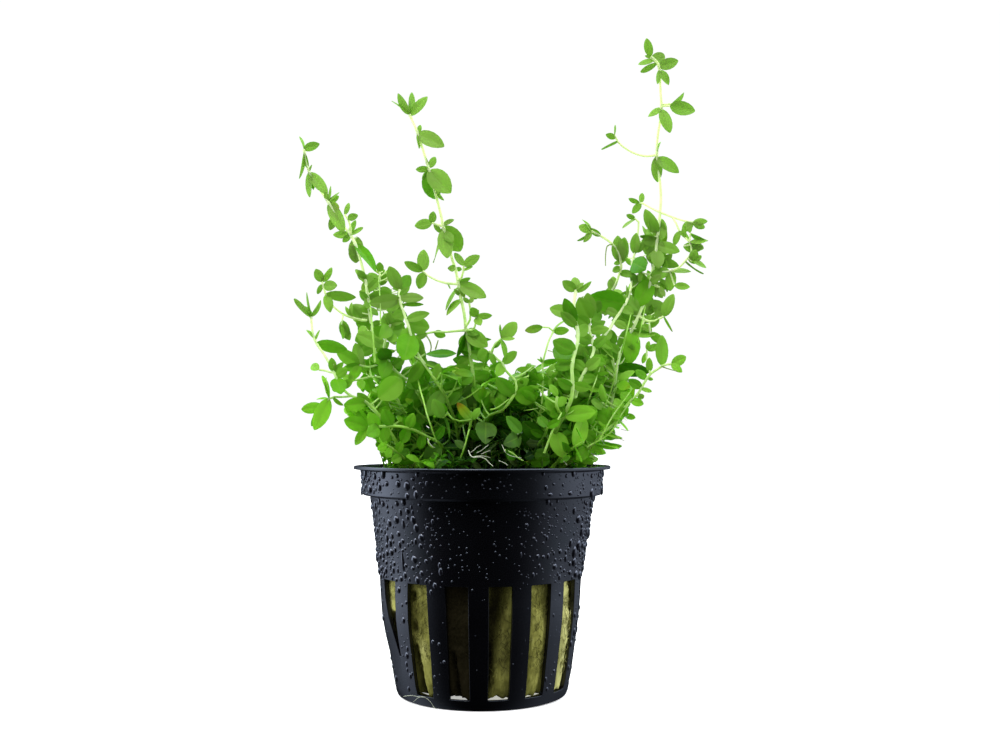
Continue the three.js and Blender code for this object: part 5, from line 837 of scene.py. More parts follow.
# The largest drops and the long ones that have run down the wall:
# bearing, height, radius, and length for width
DRIPS = [
    (-136.5, 29.2, 0.42, 5.2), (-136, 26.4, 0.5, 1.5), (-132.9, 36.8, 0.46, 2.4), (-138, 44.8, 0.58, 1.1),
    (-130.4, 44.9, 0.68, 1.3), (-125.2, 44.6, 0.8, 1.4), (-143.8, 45.6, 0.46, 1.1),
    (-150, 44.7, 0.5, 1.1), (-121.9, 45.9, 0.5, 1), (-117.9, 45.1, 0.4, 1), (-134.1, 46.1, 0.4, 1),
    (-155, 45.5, 0.5, 1.2), (-160, 44, 0.5, 1.1), (-166, 45.6, 0.55, 1.1), (-174, 44.6, 0.5, 1.1),
    (-135.9, 40.8, 0.6, 1.1), (-129, 39.5, 0.6, 1.35), (-121.3, 40.8, 0.42, 1), (-144.4, 39, 0.46, 1.1),
    (-137.5, 34.7, 0.56, 1.2), (-160, 38.1, 0.5, 1.2), (-156.5, 36, 0.5, 1.1), (-127.9, 29.8, 0.76, 1.15),
    (-122.9, 32.6, 0.5, 1.2), (-129.5, 28, 0.5, 1), (-134.6, 28.4, 0.45, 1.1), (-161, 29.4, 0.56, 1.2),
    (-164.7, 33.2, 0.5, 1.1), (-170, 37.5, 0.5, 1.1), (-172, 30.4, 0.5, 1.2), (-168, 26, 0.5, 1.2),
    (-150, 32, 0.5, 1.2), (-147, 35.6, 0.42, 1.3), (-126, 33.4, 0.4, 1.8), (-142, 31.4, 0.46, 1.4),
    (-47.1, 43, 0.62, 0.9), (-58.8, 42.9, 0.62, 0.75), (-53, 42.8, 0.36, 0.9), (-57, 44.9, 0.36, 1),
    (-48.1, 28.2, 0.6, 1.1), (-56.8, 30.4, 0.4, 1), (-59.3, 38.8, 0.4, 1), (-55.6, 38.2, 0.34, 1),
    (-25.2, 40.4, 0.5, 1), (-19.1, 36.6, 0.5, 1.1), (-22, 33.4, 0.4, 1.2), (-15, 39, 0.5, 1.1),
    (-18, 30, 0.45, 1.2), (-70, 31, 0.25, 2.6), (-68, 36.9, 0.45, 1), (-63.5, 34.2, 0.4, 0.8),
    (-2, 29.5, 0.42, 4.2), (2, 36.5, 0.5, 1.4),
]

# The plug's radius by height, its lowest point and how finely it is drawn by height
WOOL_RADII = [
    (1.8, WOOL_FOOT_RADIUS), (WOOL_LOW_EDGE - 0.6, 5), (WOOL_LOW_EDGE, 17.2), (7, 17.8),
    (9.8, 18.4), (17, 19.3), (25, 19.6), (40, 21.8), (WOOL_TOP - 0.8, 22.2), (WOOL_TOP, 21),
]
WOOL_FOOT_CLEARANCE = 0.3
WOOL_FINE_BELOW = 27
WOOL_FINE_STEP = 0.3
WOOL_COARSE_STEP = 1.2
# Fold depth at which the painted shade in folds and dents is darkest
WOOL_SHADE_DEPTH = 3
WOOL_LEAST_RADIUS = 1.5

# Lumps and mat of the wool: how fine they are, how deep, and how far the surface may stand out
LUMP_GRAIN = 0.16
LUMP_DEPTH = 0.5
LUMP_LEVEL = 0.3
MAT_GRAIN = 1.6
MAT_DEPTH = 0.16
MOST_OUT = 0.05

# The ragged lower edge: how far up and in it reaches, and how it varies round the plug
SKIRT_REACH = 5
SKIRT_INNER_RADIUS = 12.5
RAGGED_LEVEL = 0.4
RAGGED_DEPTH = 1.3
RAGGED_GRAIN = 0.17

# Loose fibres on the wool
FIBRE_COUNT = 6500
FIBRE_LENGTHS = (0.8, 2.6)
FIBRE_RADII = [0.03, 0.045, 0.02]
FIBRE_LOWEST = 3
FIBRE_HEIGHTS = (WOOL_LOW_EDGE - 0.5, 26)
FIBRE_SINK = (0.0, 0.4)
FIBRE_SLANT = 1.3
FIBRE_LIFT = (0.05, 0.35)

# Folds of the rolled wool at its slots: bearing, half width, low, high, how deep, and how far it slants
WOOL_FOLDS = [
    (-157, 9, 7, 18.5, 4, 0.6), (-137.5, 3.6, 20.6, 23.4, 3, 0), (-137.5, 3.4, 14, 17.4, 3, 0),
    (-137, 4.4, 1, 12.6, 4, -0.2), (-107, 1.6, 4, 12, 2.2, -0.5), (-84.6, 6, 5, 27, 2.8, 0.5),
    (-44.6, 2.2, 8, 27, 3, 0.05), (-21.8, 3.6, 17.5, 29, 3.4, -0.6), (-22.5, 3, 3, 6.5, 2.4, 0),
    (-8, 3, 5, 26, 0.6, 0.1), (20, 3.5, 8, 24, 2.4, 0), (66, 3, 5, 20, 2.8, 0.2),
    (104, 2.6, 4, 23, 2.2, 0), (150, 3.2, 6, 25, 2.8, -0.2), (178, 2.4, 4, 9, 2, 0),
]

# Painted shade at the slots in front, darker patches behind: bearing, half width, low, high, how dark
WOOL_PAINTED_SHADE_AND_PATCHES = [
    (-107, 12, 0, 30, 1.3), (-90, 7, 0, 30, 0.72), (-79, 7, 7, 30, 0.62), (-79, 7, -5, 9, 0.5),
    (-133, 3, 16.6, 21.4, 0.75), (-131, 10, -5, 30, 0.35), (-54, 9, -5, 30, 0.3), (-157, 5, 0, 16, 1),
    (-131, 4, 21, 25, 0.55), (-126, 2, 3, 10, 0.4), (-130, 6, -1, 7, 0.45), (40, 9, 0, 30, 0.6),
    (115, 8, 0, 30, 0.5),
]

# Lighter wool, painted light where the slots are lit, in the same way
WOOL_PAINTED_LIGHTS = [(-28, 10, 0, 30, 0.45), (-160, 8, 14, 30, 0.2), (-129, 4, 9, 14.5, 0.3)]

# Where the wool is pressed out, in the same way, in millimetres
WOOL_SWELLS = [
    (-156, 12, 3, 27, 0.45), (-128, 6, 3, 26, 0.25), (-80, 5, 3, 26, 0.15), (-54, 10, 3, 27, 0.45),
    (-27, 13, 3, 27, 0.45), (-56.5, 6.6, 3, 23, 0.95), (-31.8, 6.6, 3, 21, 1.25),
]

# Leaf: greens from dark to bright, the colours of its marks, and how strong and where they are
LEAF_GREENS = [
    (0.0, (0.008, 0.045, 0.001)), (0.3, (0.06, 0.265, 0.003)), (0.6, (0.17, 0.48, 0.012)),
    (1.0, (0.32, 0.64, 0.05)),
]
LEAF_PALE = (0.32, 0.48, 0.12)
LEAF_RIB = (0.3, 0.5, 0.06)
LEAF_YELLOW = (0.44, 0.52, 0.02)
LEAF_BROWN = (0.3, 0.1, 0.012)
LEAF_MOTTLE = 0.35
RIB_HALF_WIDTH = 0.035
RIB_STRENGTH = 0.22
VEIN_STRENGTH = 0.05
VEIN_SPACING = 38
VEIN_SLANT = -46
VEIN_EDGE = 0.86
YELLOW_FROM = (0.2, 0.7)
BROWN_FROM = (0.68, 0.95)
LEAF_ROUGHNESS = (0.34, 0.5)
LEAF_LIGHT_THROUGH = 0.5

# Stem, root, pot and drops
STEM_GREENS = [
    (0.0, (0.04, 0.13, 0.008)), (0.18, (0.18, 0.4, 0.022)), (0.45, (0.42, 0.7, 0.1)),
    (1.0, (0.84, 0.93, 0.56)),
]
STEM_BROWN = (0.16, 0.1, 0.03)
STEM_MOTTLE = 0.6
STEM_LIGHT_THROUGH = 0.45
ROOT_TONES = [(0.3, (0.34, 0.37, 0.25)), (0.7, (0.6, 0.62, 0.46))]
POT_BLACKS = [(0.3, (0.0008, 0.0008, 0.0014)), (0.7, (0.0018, 0.0018, 0.0028))]
POT_ROUGHNESS = (0.2, 0.3)
DROP_BLACKS = [(0.3, (0.004, 0.004, 0.006)), (0.7, (0.009, 0.009, 0.012))]

# Wool and its fibres, with the colours of painted light and of painted shade and darker patches
WOOL_OLIVES = [(0.3, (0.08, 0.075, 0.014)), (0.5, (0.27, 0.265, 0.055)), (0.7, (0.5, 0.49, 0.13))]
WOOL_PAINTED_LIGHT_COLOUR = (0.85, 0.84, 0.36)
WOOL_SHADE_AND_PATCH_COLOUR = (0.012, 0.009, 0.002)
FIBRE_OLIVES = [(0.0, (0.06, 0.055, 0.01)), (0.6, (0.24, 0.235, 0.055)), (1.0, (0.6, 0.58, 0.26))]
FIBRE_SHADE_AND_PATCH_COLOUR = (0.012, 0.009, 0.001)

FLOOR_WHITES = [(0.0, (0.92, 0.92, 0.92)), (1.0, (0.94, 0.94, 0.94))]
FLOOR_REACH = 3.0

# Camera
LENS_MM = 40
SENSOR_MM = 36
EYE_TILT = 0.0557
EYE_TURN = -0.0158

# Soft lamps, in metres: name, place, the point they face, width, height, power, colour, seen in gloss
LAMPS = [
    ("box_left", (-0.55, 0.05, 0.2), (0, 0, 0.05), 0.5, 0.7, 2.4, (0.9, 0.95, 1), False),
    ("box_right", (0.55, -0.02, 0.2), (0, 0, 0.05), 0.4, 0.7, 1.6, (0.9, 0.95, 1), False),
    ("box_top", (-0.1, -0.3, 0.55), (0, 0, 0.06), 0.22, 0.14, 1.4, (1, 1, 1), True),
]
WORLD_COLOUR = (0.95, 0.98, 1)
BAND_COLOUR = (0.66, 0.77, 1)
BACKGROUND_COLOUR = (1, 1, 1)
BACKGROUND_STRENGTH = 1.02

# Spans of direction and the strength at each end, for light on matt parts and for the mirrored bands
WORLD_DEPTH = (-0.95, 0.15, 0.55, 2.3)
WORLD_HEIGHT = (-0.5, 0.0, 0.35, 1.0)
BAND_LEFT = (-0.04, -0.78, 0.0, 0.86)
BAND_LEFT_FRONT = (-0.6, 0.15, 0.03, 1.6)
BAND_LEFT_BACK = (0.15, 0.9, 1.0, 0.08)
BAND_RIGHT = (0.0, 0.8, 0.0, 0.86)
BAND_RIGHT_FRONT = (-0.75, 0.0, 0.05, 0.78)
BAND_RIGHT_BACK = (0.0, 0.85, 1.0, 0.3)
BAND_HEIGHT = (-0.4, -0.03, 0.6, 2.8)
GLOSS_TOP = (0.3, 0.65, 0.0, 4.0)


def between(rng, low, high):
    """A random number in a span."""
    return low + (high - low) * rng.random()


def clamp(value):
    """The value held between 0 and 1."""
    return max(0, min(1, value))


def half_turn(degrees):
    """The same direction, given as -180 to 180 degrees."""
    return (degrees + 180) % 360 - 180


def between_marks(marks, value):
    """A number that runs straight from mark to mark."""
    for (v0, n0), (v1, n1) in zip(marks, marks[1:]):
        if value <= v1:
            return n0 + (n1 - n0) * max(0, value - v0) / (v1 - v0)
    return marks[-1][1]


def tapered(radius, count, share):
    """Radii that shrink along a tube by about the given share."""
    return [radius * (1 - share * i / count) for i in range(count)]


def arc(start, bend, end, count):
    """Points of a curve from start to end that is drawn towards the bend."""
    points = []
    for i in range(count):
        t = i / (count - 1)
        points.append(start * (1 - t) ** 2 + bend * (2 * t * (1 - t)) + end * t ** 2)
    return points


def spot(across, up, depth):
    """A plant point in millimetres from its seen place and its depth."""
    grow = 1 + depth / EYE_DISTANCE
    return Vector((across * grow, depth, EYE_HEIGHT + (up - EYE_HEIGHT) * grow))


def seen(point):
    """Where a point shows in the upright plane through the pot's axis."""
    grow = 1 + point.y / EYE_DISTANCE
    return point.x / grow, EYE_HEIGHT + (point.z - EYE_HEIGHT) / grow


def smooth_route(points, step):
    """A smooth route through the points, in steps of about the given length."""
    ends = [points[0] * 2 - points[1], *points, points[-1] * 2 - points[-2]]
    route = []
    for a, b, c, d in zip(ends, ends[1:], ends[2:], ends[3:]):
        count = max(1, round((c - b).length / step))
        for k in range(count):
            t = k / count
            bend = (a * 2 - b * 5 + c * 4 - d) * t ** 2 + (b * 3 - a - c * 3 + d) * t ** 3
            route.append((b * 2 + (c - a) * t + bend) * 0.5)
    route.append(points[-1].copy())
    return route


class Growth:
    """The points and faces of one piece while it is built, and what its materials read from them."""

    def __init__(self):
        self.points = []
        self.faces = []
        self.slots = []
        self.blade = []
        self.tone = []

    def point(self, place, blade=(0, 0, 0), tone=PLAIN_TONE):
        """Adds a point, given in millimetres, and gives its number."""
        self.points.append(place * MM)
        self.blade.append((*blade, 1))
        self.tone.append((*tone, 1))
        return len(self.points) - 1

    def face(self, corners, slot=0):
        """Adds a face from the numbers of its corners."""
        self.faces.append(corners)
        self.slots.append(slot)

    def join_rings(self, rings, slot=0):
        """Adds the faces between each closed ring of points and the next."""
        for low, high in zip(rings, rings[1:]):
            for k in range(len(low)):
                nearby = (k + 1) % len(low)
                self.face((low[k], low[nearby], high[nearby], high[k]), slot)

    def piece(self, name, materials, sharp_degrees=70, slot=None, instead_of=None):
        """Makes the mesh, rides it on the pot and hides the solid that it stands in for."""
        mesh = bpy.data.meshes.new(name)
        mesh.from_pydata(self.points, [], self.faces)
        for material in materials:
            mesh.materials.append(material)
        mesh.polygons.foreach_set("material_index", self.slots)
        mesh.polygons.foreach_set("use_smooth", [True] * len(self.faces))
        for label, values in (("blade", self.blade), ("tone", self.tone)):
            layer = mesh.color_attributes.new(label, "FLOAT_COLOR", "POINT")
            layer.data.foreach_set("color", [number for row in values for number in row])
        mesh.update()
        mesh.set_sharp_from_angle(angle=math.radians(sharp_degrees))
        made = bpy.data.objects.new(name, mesh)
        bpy.context.scene.collection.objects.link(made)
        if instead_of:
            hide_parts(instead_of)
        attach(made, "root")
        return made


# Round pieces

def add_tube(growth, route, radii, sides, tone=PLAIN_TONE, slot=0):
    """A closed round tube with a radius at each point of its route, and one tone or a tone by place."""
    side = TUBE_SEAM
    rings = []
    for i, place in enumerate(route):
        along = (route[min(len(route) - 1, i + 1)] - route[max(0, i - 1)]).normalized()
        side = (side - along * side.dot(along)).normalized()
        other = along.cross(side)
        ring = []
        here = tone(place) if callable(tone) else tone
        for k in range(sides):
            turn = 2 * math.pi * k / sides
            rim = side * math.cos(turn) + other * math.sin(turn)
            ring.append(growth.point(place + rim * radii[i], (i / len(route), 0.5, 1), here))
        rings.append(ring)
    growth.join_rings(rings, slot)
    growth.face(tuple(reversed(rings[0])), slot)
    growth.face(tuple(rings[-1]), slot)


# Leaves

def leaf_half_width(turn, u):
    """Half the blade's width beside its full half width, widest a little below the middle."""
    least = BLADE_FOOT_WIDTH if u < 0.5 else BLADE_TIP_WIDTH
    sharp = LEAF_SHARPNESS[0] + LEAF_SHARPNESS[1] * u
    full = LEAF_FULLNESS[0] - LEAF_FULLNESS[1] * u
    return max(math.sin(turn) ** sharp * full, least)


def add_leaf(growth, base, tip, width, normal, tone, rng, rows=9, columns=FINE_COLUMNS):
    """A thin closed blade with a creased midrib, a slight cup, an arch and a wavy edge."""
    along = tip - base
    length = along.length
    along = along / length
    normal = (normal - along * normal.dot(along)).normalized()
    across = normal.cross(along)
    arch = between(rng, *LEAF_ARCH) * length
    cup = between(rng, *LEAF_CUP) * width
    wave = between(rng, *LEAF_WAVE) * length
    phase = between(rng, 0, 6.3)
    upper = []
    under = []
    for i in range(rows):
        turn = math.pi * i / (rows - 1)
        u = (1 - math.cos(turn)) / 2
        wide = leaf_half_width(turn, u)
        end = i in (0, rows - 1)
        upper_row = []
        under_row = []
        for v in columns:
            lift = arch * 4 * u * (1 - u) + cup * v * v * wide
            lift -= CREASE_DEPTH * width * max(0, 1 - abs(v) / CREASE_HALF_WIDTH) * wide
            lift += wave * math.sin(WAVES_IN_LEAF * u + phase) * v
            middle = base + along * (u * length) + across * (v * wide * width / 2) + normal * lift
            blade = (u, v * 0.5 + 0.5, 0)
            if end or abs(v) == 1:
                corner = growth.point(middle, blade, tone)
                upper_row.append(corner)
                under_row.append(corner)
                continue
            thick = normal * (LEAF_THICKNESS / 2 * (1 - v * v * EDGE_THINNING))
            upper_row.append(growth.point(middle + thick, blade, tone))
            under_row.append(growth.point(middle - thick, blade, tone))
        upper.append(upper_row)
        under.append(under_row)
    for i in range(rows - 1):
        for j in range(len(columns) - 1):
            growth.face((upper[i][j], upper[i + 1][j], upper[i + 1][j + 1], upper[i][j + 1]))
            growth.face((under[i][j], under[i][j + 1], under[i + 1][j + 1], under[i + 1][j]))


def leaf_pose(seen_length, seen_width, side):
    """How far a seen leaf leans in depth, its full width and its roll."""
    if seen_width > FULL_LEAF_RATIO * seen_length:
        length = seen_width / FULL_LEAF_RATIO
        return side * math.sqrt(length ** 2 - seen_length ** 2), seen_width, WIDE_LEAF_ROLL * side
    if seen_width < NARROW_LEAF_RATIO * seen_length:
        width = max(seen_width, min(NATURAL_LEAF_RATIO * seen_length, seen_width * MOST_WIDENING))
        return NARROW_LEAF_LEAN * side * seen_length, width, side * math.acos(seen_width / width)
    return PLAIN_LEAF_LEAN * side * seen_length, seen_width, PLAIN_LEAF_ROLL * side


def facing_normal(base, tip, roll):
    """The blade's upper side, turned to the eye and then rolled about the midrib."""
    along = (tip - base).normalized()
    to_eye = (Vector((0, -EYE_DISTANCE, EYE_HEIGHT)) - base).normalized()
    facing = (to_eye - along * to_eye.dot(along)).normalized()
    return Quaternion(along, roll) @ facing


def nearest_on_runs(runs, across, up):
    """The nearest place on a stem's runs to a seen place, with its depth."""
    best = None
    for run in runs:
        for (x0, z0, d0), (x1, z1, d1) in zip(run, run[1:]):
            span = (x1 - x0) ** 2 + (z1 - z0) ** 2
            t = max(0, min(1, ((across - x0) * (x1 - x0) + (up - z0) * (z1 - z0)) / span))
            x = x0 + t * (x1 - x0)
            z = z0 + t * (z1 - z0)
            gap = math.hypot(across - x, up - z)
            if best is None or gap < best[0]:
                best = (gap, x, z, d0 + t * (d1 - d0))
    return best


def lightness(place):
    """How far a place has come out of the shaded growth, by height and towards its sides."""
    across, _ = seen(place)
    above = (place.z - OPEN_HEIGHT) / OPEN_HEIGHT_SPAN
    return clamp(max(above, (abs(across) - OPEN_SIDE) / OPEN_SIDE_SPAN))


def hollow_shade(place):
    """How dark a hollow in the front of the growth makes a place."""
    across, up = seen(place)
    if place.y > HOLLOW_BACK:
        return 0
    shade = 0
    for x, z, wide, tall, deep in HOLLOWS:
        off = ((across - x) / wide) ** 2 + ((up - z) / tall) ** 2
        shade += deep * math.exp(-off ** 1.5)
    return shade


def top_paleness(place):
    """How far a place lies in the paler tops."""
    return clamp((place.z - PALE_HEIGHT) / PALE_HEIGHT_SPAN)


def leaf_tone(rng, place):
    """Brightness, browning and paleness of a leaf: painted shade low down, deep inside the growth and in
    its hollows, and painted light higher up and towards the sides.
    """
    reach = math.hypot(place.x, place.y)
    depth_in = max(0, 1 - reach / DEEP_REACH) * clamp((DEEP_HEIGHT - place.z) / DEEP_HEIGHT_SPAN)
    # Painted shade inside the growth and in its hollows, painted light higher up and at the sides
    bright = between(rng, *LEAF_BRIGHTNESS) - DEEP_SHADE * depth_in
    bright = bright + OPEN_LIGHT * lightness(place) - hollow_shade(place)
    brown = between(rng, *BROWNING) if rng.random() < BROWNED_SHARE else 0
    pale = between(rng, *PALENESS) if rng.random() < PALED_SHARE else 0
    pale = min(1, pale + TOP_PALENESS * top_paleness(place))
    return (max(LEAST_BRIGHTNESS, min(1, bright)), brown, pale)


def stem_tone(place):
    """Stems carry painted light, whiter towards their tops and sides, and painted shade, dark green in
    the shaded hollows.
    """
    across, _ = seen(place)
    # Painted light towards the sides and higher up, painted shade in the hollows
    beside = STEM_SIDE_LIGHT * clamp((abs(across) - OPEN_SIDE) / OPEN_SIDE_SPAN)
    above = STEM_BRIGHTNESS + (place.z - STEM_MIDDLE_HEIGHT) / STEM_LIGHT_SPAN
    return (clamp(above + beside - STEM_HOLLOW_SHADE * hollow_shade(place)), 0, 0)


def traced_tone(across, up):
    """The tone of a leaf by its tip, where the photograph shows it clearly."""
    for x, z, tone in NAMED_TONES:
        if math.hypot(across - x, up - z) < TONE_REACH:
            return tone
    return None


def dressed_radius(place, radius, joints):
    """The stem swells a little where leaves join it."""
    near = min((place - joint).length for joint in joints)
    return radius * (1 + JOINT_SWELL * math.exp(-(near / JOINT_REACH) ** 2))


def traced_stem(name, radius, runs, leaves):
    """One traced stem with its side shoots and all its leaves."""
    rng = random.Random(name)
    growth = Growth()
    joints = []
    for base_x, base_z, *_ in leaves:
        _, x, z, depth = nearest_on_runs(runs, base_x, base_z)
        joints.append(spot(x, z, depth))
    routes = []
    for index, run in enumerate(runs):
        points = [spot(*place) for place in run]
        if index == 0 and points[0].z < WOOL_TOP + 1:
            points[0].z = WOOL_TOP - FOOT_DEPTH
        route = smooth_route(points, STEM_STEP)
        size = STEM_ROUND_SCALE * radius * (1 if index == 0 else SIDE_SHOOT_SCALE)
        last = len(route) - 1
        radii = []
        for i, place in enumerate(route):
            radii.append(dressed_radius(place, size * (1 - STEM_TAPER * i / last), joints))
        add_tube(growth, route, radii, STEM_SIDES, stem_tone, slot=1)
        routes.append(route)
    for index, (base_x, base_z, tip_x, tip_z, wide, *shade) in enumerate(leaves):
        gap, x, z, depth = nearest_on_runs(runs, base_x, base_z)
        side = -1 if index % 2 == 0 else 1
        seen_length = math.hypot(tip_x - base_x, tip_z - base_z)
        lean, width, roll = leaf_pose(seen_length, wide, side)
        root = spot(x, z, depth)
        tip = spot(tip_x, tip_z, depth + lean)
        base = root
        if gap > STALK_GAP:
            base = spot(base_x, base_z, depth + lean * STALK_LEAN)
            stalk = smooth_route([root, (root + base) / 2, base], STALK_GAP)
            add_tube(growth, stalk, [STALK_RADIUS] * len(stalk), STALK_SIDES, stem_tone, slot=1)
        tone = traced_tone(tip_x, tip_z) or leaf_tone(rng, tip)
        if shade:
            # Painted light higher up and towards the sides, added to the listed brightness
            bright = shade[0] + TRACED_OPEN_LIGHT * lightness(tip)
            bright += between(rng, -TONE_SPREAD, TONE_SPREAD)
            pale = shade[1] * 0.5 + TRACED_TOP_PALENESS * top_paleness(tip)
            tone = (min(1, bright), 0, min(1, pale))
        width *= (1 + depth / EYE_DISTANCE) * TRACED_WIDENING
        add_leaf(growth, base, tip, width, facing_normal(base, tip, roll), tone, rng)
    return growth, routes


# The dense growth

def inside(outline, across, up):
    """True if a seen place lies within an outline."""
    within = False
    for (x0, z0), (x1, z1) in zip(outline, outline[1:] + outline[:1]):
        if (z0 > up) != (z1 > up) and across < x0 + (up - z0) * (x1 - x0) / (z1 - z0):
            within = not within
    return within


def may_grow(point, margin=0.0):
    """True if a point lies in the growth as seen from the front, off its open places and the pot."""
    across, up = seen(point)
    if not any(inside(outline, across, up) for outline in (BUSH_OUTLINE, LEFT_MASS, RIGHT_MASS)):
        return False
    if point.z < POT_HEIGHT + MOUTH_CLEARANCE and math.hypot(point.x, point.y) > MOUTH_RADIUS:
        return False
    if point.z < WOOL_TOP + WOOL_CLEARANCE:
        return False
    return all(math.hypot(across - x, up - z) > size + margin for x, z, size in OPEN_PLACES)


def show_stems(grown):
    """Marks where the drawn stems are seen and how deep they lie."""
    for _, routes in grown.values():
        for route in routes:
            for place in route:
                across, up = seen(place)
                if up < SHOWN_FROM_HEIGHT:
                    continue
                for i in range(-1, 2):
                    for k in range(-1, 2):
                        cell = (round(across / SIGHT_CELL) + i, round(up / SIGHT_CELL) + k)
                        SHOWN_STEMS[cell] = max(SHOWN_STEMS.get(cell, NOTHING_SHOWN), place.y)


def hides_stem(base, tip):
    """True if a leaf would lie in front of a drawn stem."""
    for share in HIDING_PLACES:
        place = base.lerp(tip, share)
        across, up = seen(place)
        cell = (round(across / SIGHT_CELL), round(up / SIGHT_CELL))
        depth = SHOWN_STEMS.get(cell, NOTHING_SHOWN)
        if place.y < depth - HIDING_GAP:
            return True
    return False


def add_pair(growth, rng, at, along, turn, length, rows, columns):
    """Two opposite leaves at a node; gives how many had room."""
    flat = along.orthogonal().normalized()
    made = 0
    for k in range(2):
        out = Quaternion(along, turn + k * math.pi + between(rng, -PAIR_TURN, PAIR_TURN)) @ flat
        size = length * between(rng, *PAIR_SIZES)
        climb = between(rng, *PAIR_CLIMBS)
        way = (out + along * climb).normalized()
        tip = at + way * size
        normal = along - out * climb
        normal = Quaternion(way, between(rng, -PAIR_ROLL, PAIR_ROLL)) @ normal
        if may_grow(tip) and may_grow((at + tip) / 2) and not hides_stem(at, tip):
            width = size * between(rng, *PAIR_WIDTHS)
            add_leaf(growth, at, tip, width, normal, leaf_tone(rng, tip), rng, rows, columns)
            made += 1
    return made


def add_twig(growth, rng, start, target, pairs, leaf_length, radius, rows):
    """A thin twig that curves up from a stem and carries opposite pairs, each turned a quarter."""
    gap = target - start
    bend = start + Vector([share * size for share, size in zip(TWIG_BEND, gap)])
    route = arc(start, bend, target, TWIG_POINTS)
    turn = between(rng, 0, 3)
    last = 0
    for pair in range(pairs):
        place = TWIG_BARE + TWIG_LEAFY * (pair + 1) / pairs
        i = min(TWIG_POINTS - 1, round(place * (TWIG_POINTS - 1)))
        along = (route[i] - route[i - 1]).normalized()
        size = leaf_length * (TWIG_FIRST_LEAVES - TWIG_LEAVES_SHRINK * place)
        if add_pair(growth, rng, route[i], along, turn + pair * math.pi / 2, size, rows, PLAIN_COLUMNS):
            last = i
    if last:
        radii = tapered(radius, TWIG_POINTS, TWIG_TAPER)
        add_tube(growth, route[:last + 1], radii, TWIG_SIDES, stem_tone, slot=1)


def bush_route(stem):
    """The main run of a bush stem, bent over from upright towards its tip."""
    _, foot_x, foot_y, tip_x, tip_y, tip_z, _ = stem
    foot = Vector((foot_x, foot_y, WOOL_TOP - FOOT_DEPTH))
    tip = Vector((tip_x, tip_y, tip_z))
    near, far = BUSH_BEND_SHARES
    rise = BUSH_BEND_FOOT + (tip_z - BUSH_BEND_FOOT) * BUSH_BEND_RISE
    bend = Vector((foot_x * near + tip_x * far, foot_y * near + tip_y * far, rise))
    return arc(foot, bend, tip, BUSH_STEM_POINTS)


def bush_stem(stem):
    """One of the inner stems, with pairs of leaves up its length."""
    rng = random.Random(stem[6])
    growth = Growth()
    route = bush_route(stem)
    start_turn = between(rng, 0, 3)
    last = BUSH_FIRST_PAIR
    for pair, i in enumerate(range(BUSH_FIRST_PAIR, BUSH_STEM_POINTS, 2)):
        along = (route[i] - route[i - 1]).normalized()
        turn = start_turn + pair * math.pi / 2
        length = between(rng, *BUSH_LEAVES)
        if add_pair(growth, rng, route[i], along, turn, length, BUSH_LEAF_ROWS, FINE_COLUMNS):
            last = i
    route = route[:last + 1]
    radii = tapered(BUSH_STEM_RADIUS, len(route), TWIG_TAPER)
    add_tube(growth, route, radii, BUSH_STEM_SIDES, stem_tone, slot=1)
    return growth, [route]


def fill_growth(grown):
    """Side twigs that start on the nearest stem and fill the bush."""
    rng = random.Random(FILL_SEED)
    anchors = []
    for name, (_, routes) in grown.items():
        for route in routes:
            anchors += [(place, name) for place in route if place.z < FILL_TOP_ANCHOR]
    shortest, longest = FILL_TWIG_LENGTHS
    made = 0
    tries = 0
    while made < FILL_TWIGS and tries < FILL_TRIES:
        tries += 1
        height = between(rng, *FILL_HEIGHTS)
        reach = between_marks(GROWTH_REACH, height) * math.sqrt(rng.random())
        turn = between(rng, 0, 2 * math.pi)
        target = Vector((reach * math.cos(turn), reach * math.sin(turn), height))
        target.y = max(target.y * FRONT_SHARE, FRONT_LIMIT) if target.y < 0 else target.y
        if not may_grow(target, 0.6):
            continue
        below = [(place, name) for place, name in anchors if place.z < height - FILL_TWIG_RISE]
        start, name = min(below, key=lambda entry: (entry[0] - target).length)
        length = (start - target).length
        if not shortest < length < longest:
            continue
        pairs = 2 + int(length > FILL_LONG_TWIG) + rng.randrange(2)
        leaf = between(rng, *FILL_LEAVES)
        add_twig(grown[name][0], rng, start, target, pairs, leaf, FILL_TWIG_RADIUS, FILL_LEAF_ROWS)
        made += 1


def fill_mass(grown, outline, names, depths, seed):
    """Short side twigs of the looser growth above the bush."""
    rng = random.Random(seed)
    anchors = [(place, name) for name in names for route in grown[name][1] for place in route]
    sides = [x for x, _ in outline]
    heights = [z for _, z in outline]
    shortest, longest = MASS_TWIG_LENGTHS
    made = 0
    tries = 0
    while made < MASS_TWIGS and tries < MASS_TRIES:
        tries += 1
        across = between(rng, min(sides), max(sides))
        up = between(rng, min(heights), max(heights))
        target = spot(across, up, between(rng, *depths))
        if not inside(outline, across, up) or not may_grow(target, 0.5):
            continue
        near = [(place, name) for place, name in anchors if place.z < target.z - 0.5]
        start, name = min(near, key=lambda entry: (entry[0] - target).length)
        if not shortest < (start - target).length < longest:
            continue
        pairs = 1 + rng.randrange(2)
        leaf = between(rng, *MASS_LEAVES)
        add_twig(grown[name][0], rng, start, target, pairs, leaf, MASS_TWIG_RADIUS, FILL_LEAF_ROWS)
        made += 1


